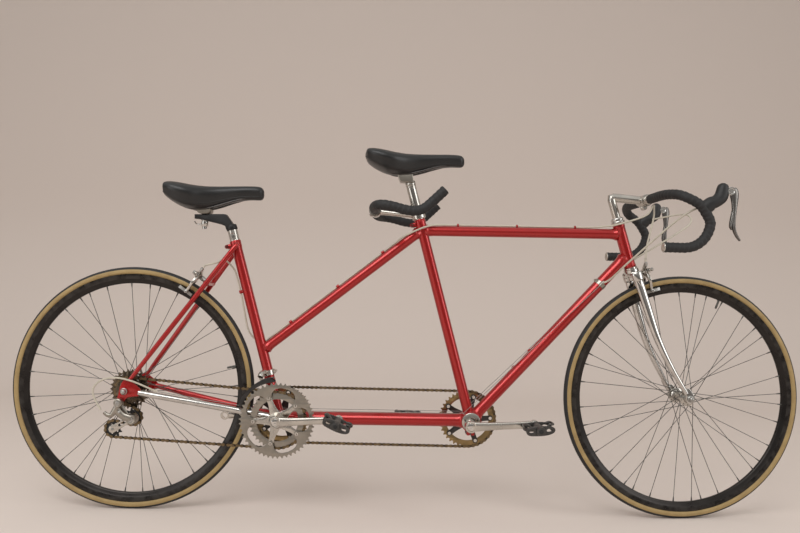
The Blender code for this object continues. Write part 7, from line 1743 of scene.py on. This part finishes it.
rear_end = bridge + REAR_OUT * 0.03275 - STAY_DOWN * 0.0299 - SIDEWAYS * 0.0325
rear_brake_knots = [steered(0.006, -0.045, -0.0185), steered(-0.012, -0.04, -0.045),
    HEAD_HIGH + point(0, -0.024, 0.002), *places_from(top_joint, (-0.05, -0.01, TOP + 0.003), (-0.1, 0, TOP),
    (-0.26, 0, TOP)), *places_from(top_rear, (0.09, 0, TOP), (0.036, -0.012, TOP - 0.001),
    (-0.002, -0.023, 0.006)), along_middle(0.055) - SIDEWAYS * 0.008, along_middle(0.1),
    along_middle(span * 0.55), along_middle(span - 0.09), along_middle(span - 0.038) + SIDEWAYS * 0.01,
    middle_low + point(-0.002, 0.022, 0.02), behind(0.231, 0.01, 0.016), behind(0.261, 0.0035, 0.026),
    behind(0.314, 0, 0.0225), behind(0.36, 0, 0.0198), behind(0.406, 0, 0.0195), behind(0.434, 0, 0.023),
    *places_from(bridge, (0.044, -0.012, 0.067), (0.028, -0.0235, 0.059)),
    rear_end + point(0.006, 0.0015, 0.0065), rear_end]
rear_brake_route = smooth_route(rear_brake_knots, 8)
housing("rear_brake_housing", rear_brake_route, "rear_brake_cable")
loop_knots = [REAR_STOP - point(0.003, 0, 0), *places_from(REAR_AXLE, (0.018, -0.083, 0.03),
    (-0.034, -0.086, 0.037), (-0.07, -0.086, 0.022), (-0.08, -0.086, -0.006)),
    HANGER + point(-0.0468, -0.0843, -0.0205)]
housing("rear_loop_housing", smooth_route(loop_knots, 10), "rear_shift_loop")

# The small fittings: a satin band with two cable stops round the down tube, painted guides brazed on for the
# rear brake's housing, and dark barrel adjusters on both brake cables.
band = [(-6, 15.8), (-6, 16.6), (-5.2, 17.2), (5.2, 17.2), (6, 16.6), (6, 15.8)]
parts = [spun("band", band, stop_axis - down_way * 0.003, down_way, 48, True)]
for side in (-1, 1):
    stop = [(-11, 0), (-11, 2.2), (-10, 3.4), (-2, 3.6), (-1.6, 4.4), (3, 4.6), (4, 4.2), (7.2, 4), (8, 3),
        (8, 0)]
    parts.append(spun("stop", stop, stops[side], down_way, 24))
bolt_place = stop_axis - down_way * 0.003 + down_upward * 0.0165
parts.append(spun("band_bolt", [(-5.8, 0), (-5.8, 3), (-5, 3.6), (5, 3.6), (5.8, 3), (5.8, 0)], bolt_place,
    SIDEWAYS, 20))
dress(joined("down_tube_cable_stops", parts), SATIN, "frame", "polished_alloy")
guides = []


def guide(place, along, foot):
    """A painted guide: a ring round the housing on a small foot brazed to the tube."""
    ring = [(-4.5, 2.6), (-4.5, 3.7), (-3.6, 4.2), (3.6, 4.2), (4.5, 3.7), (4.5, 2.6)]
    guides.append(spun("ring", ring, place, along, 24, True))
    guides.append(tube("foot", [place + foot * 0.003, place + foot * 0.0062],
        [(0.0026, 0.0042), (0.0036, 0.0056)], 16))


for x in (0.4579, 0.2962, 0.1316):
    share = (x - top_joint.x) / (top_rear.x - top_joint.x)
    guide(top_joint.lerp(top_rear, share) + point(0, 0, TOP), top_rear - top_joint, point(0, 0, -1))
for x in (-0.0764, -0.2002, -0.3296):
    share = (x - off_middle.x - middle_high.x) / (middle_low.x - middle_high.x)
    guide(middle_high.lerp(middle_low, share) + off_middle, way, -off_middle.normalized())
guide(behind(0.366, 0, 0.0198), SEAT_UP, SEAT_AHEAD)
painted(joined("cable_guides", guides))
for route, name, body, turn in ((front_brake_route, "front_adjuster", "steering", True),
        (rear_brake_route, "rear_adjuster_barrel", "frame", False)):
    reach = evenly(list(reversed(route)), 0.001)
    place, ahead = reach[8], reach[9]
    shape = [(0, 2.6), (0, 4), (1, 4.6), (6, 4.6), (7, 4), (9, 3.8), (10, 3.2), (10, 2.6)]
    collar_piece = spun(name, shape, place, (ahead - place), 20, True)
    if turn:
        turned_front(collar_piece)
    dress(collar_piece, BLACK_RUBBER, body, "cage_grey")
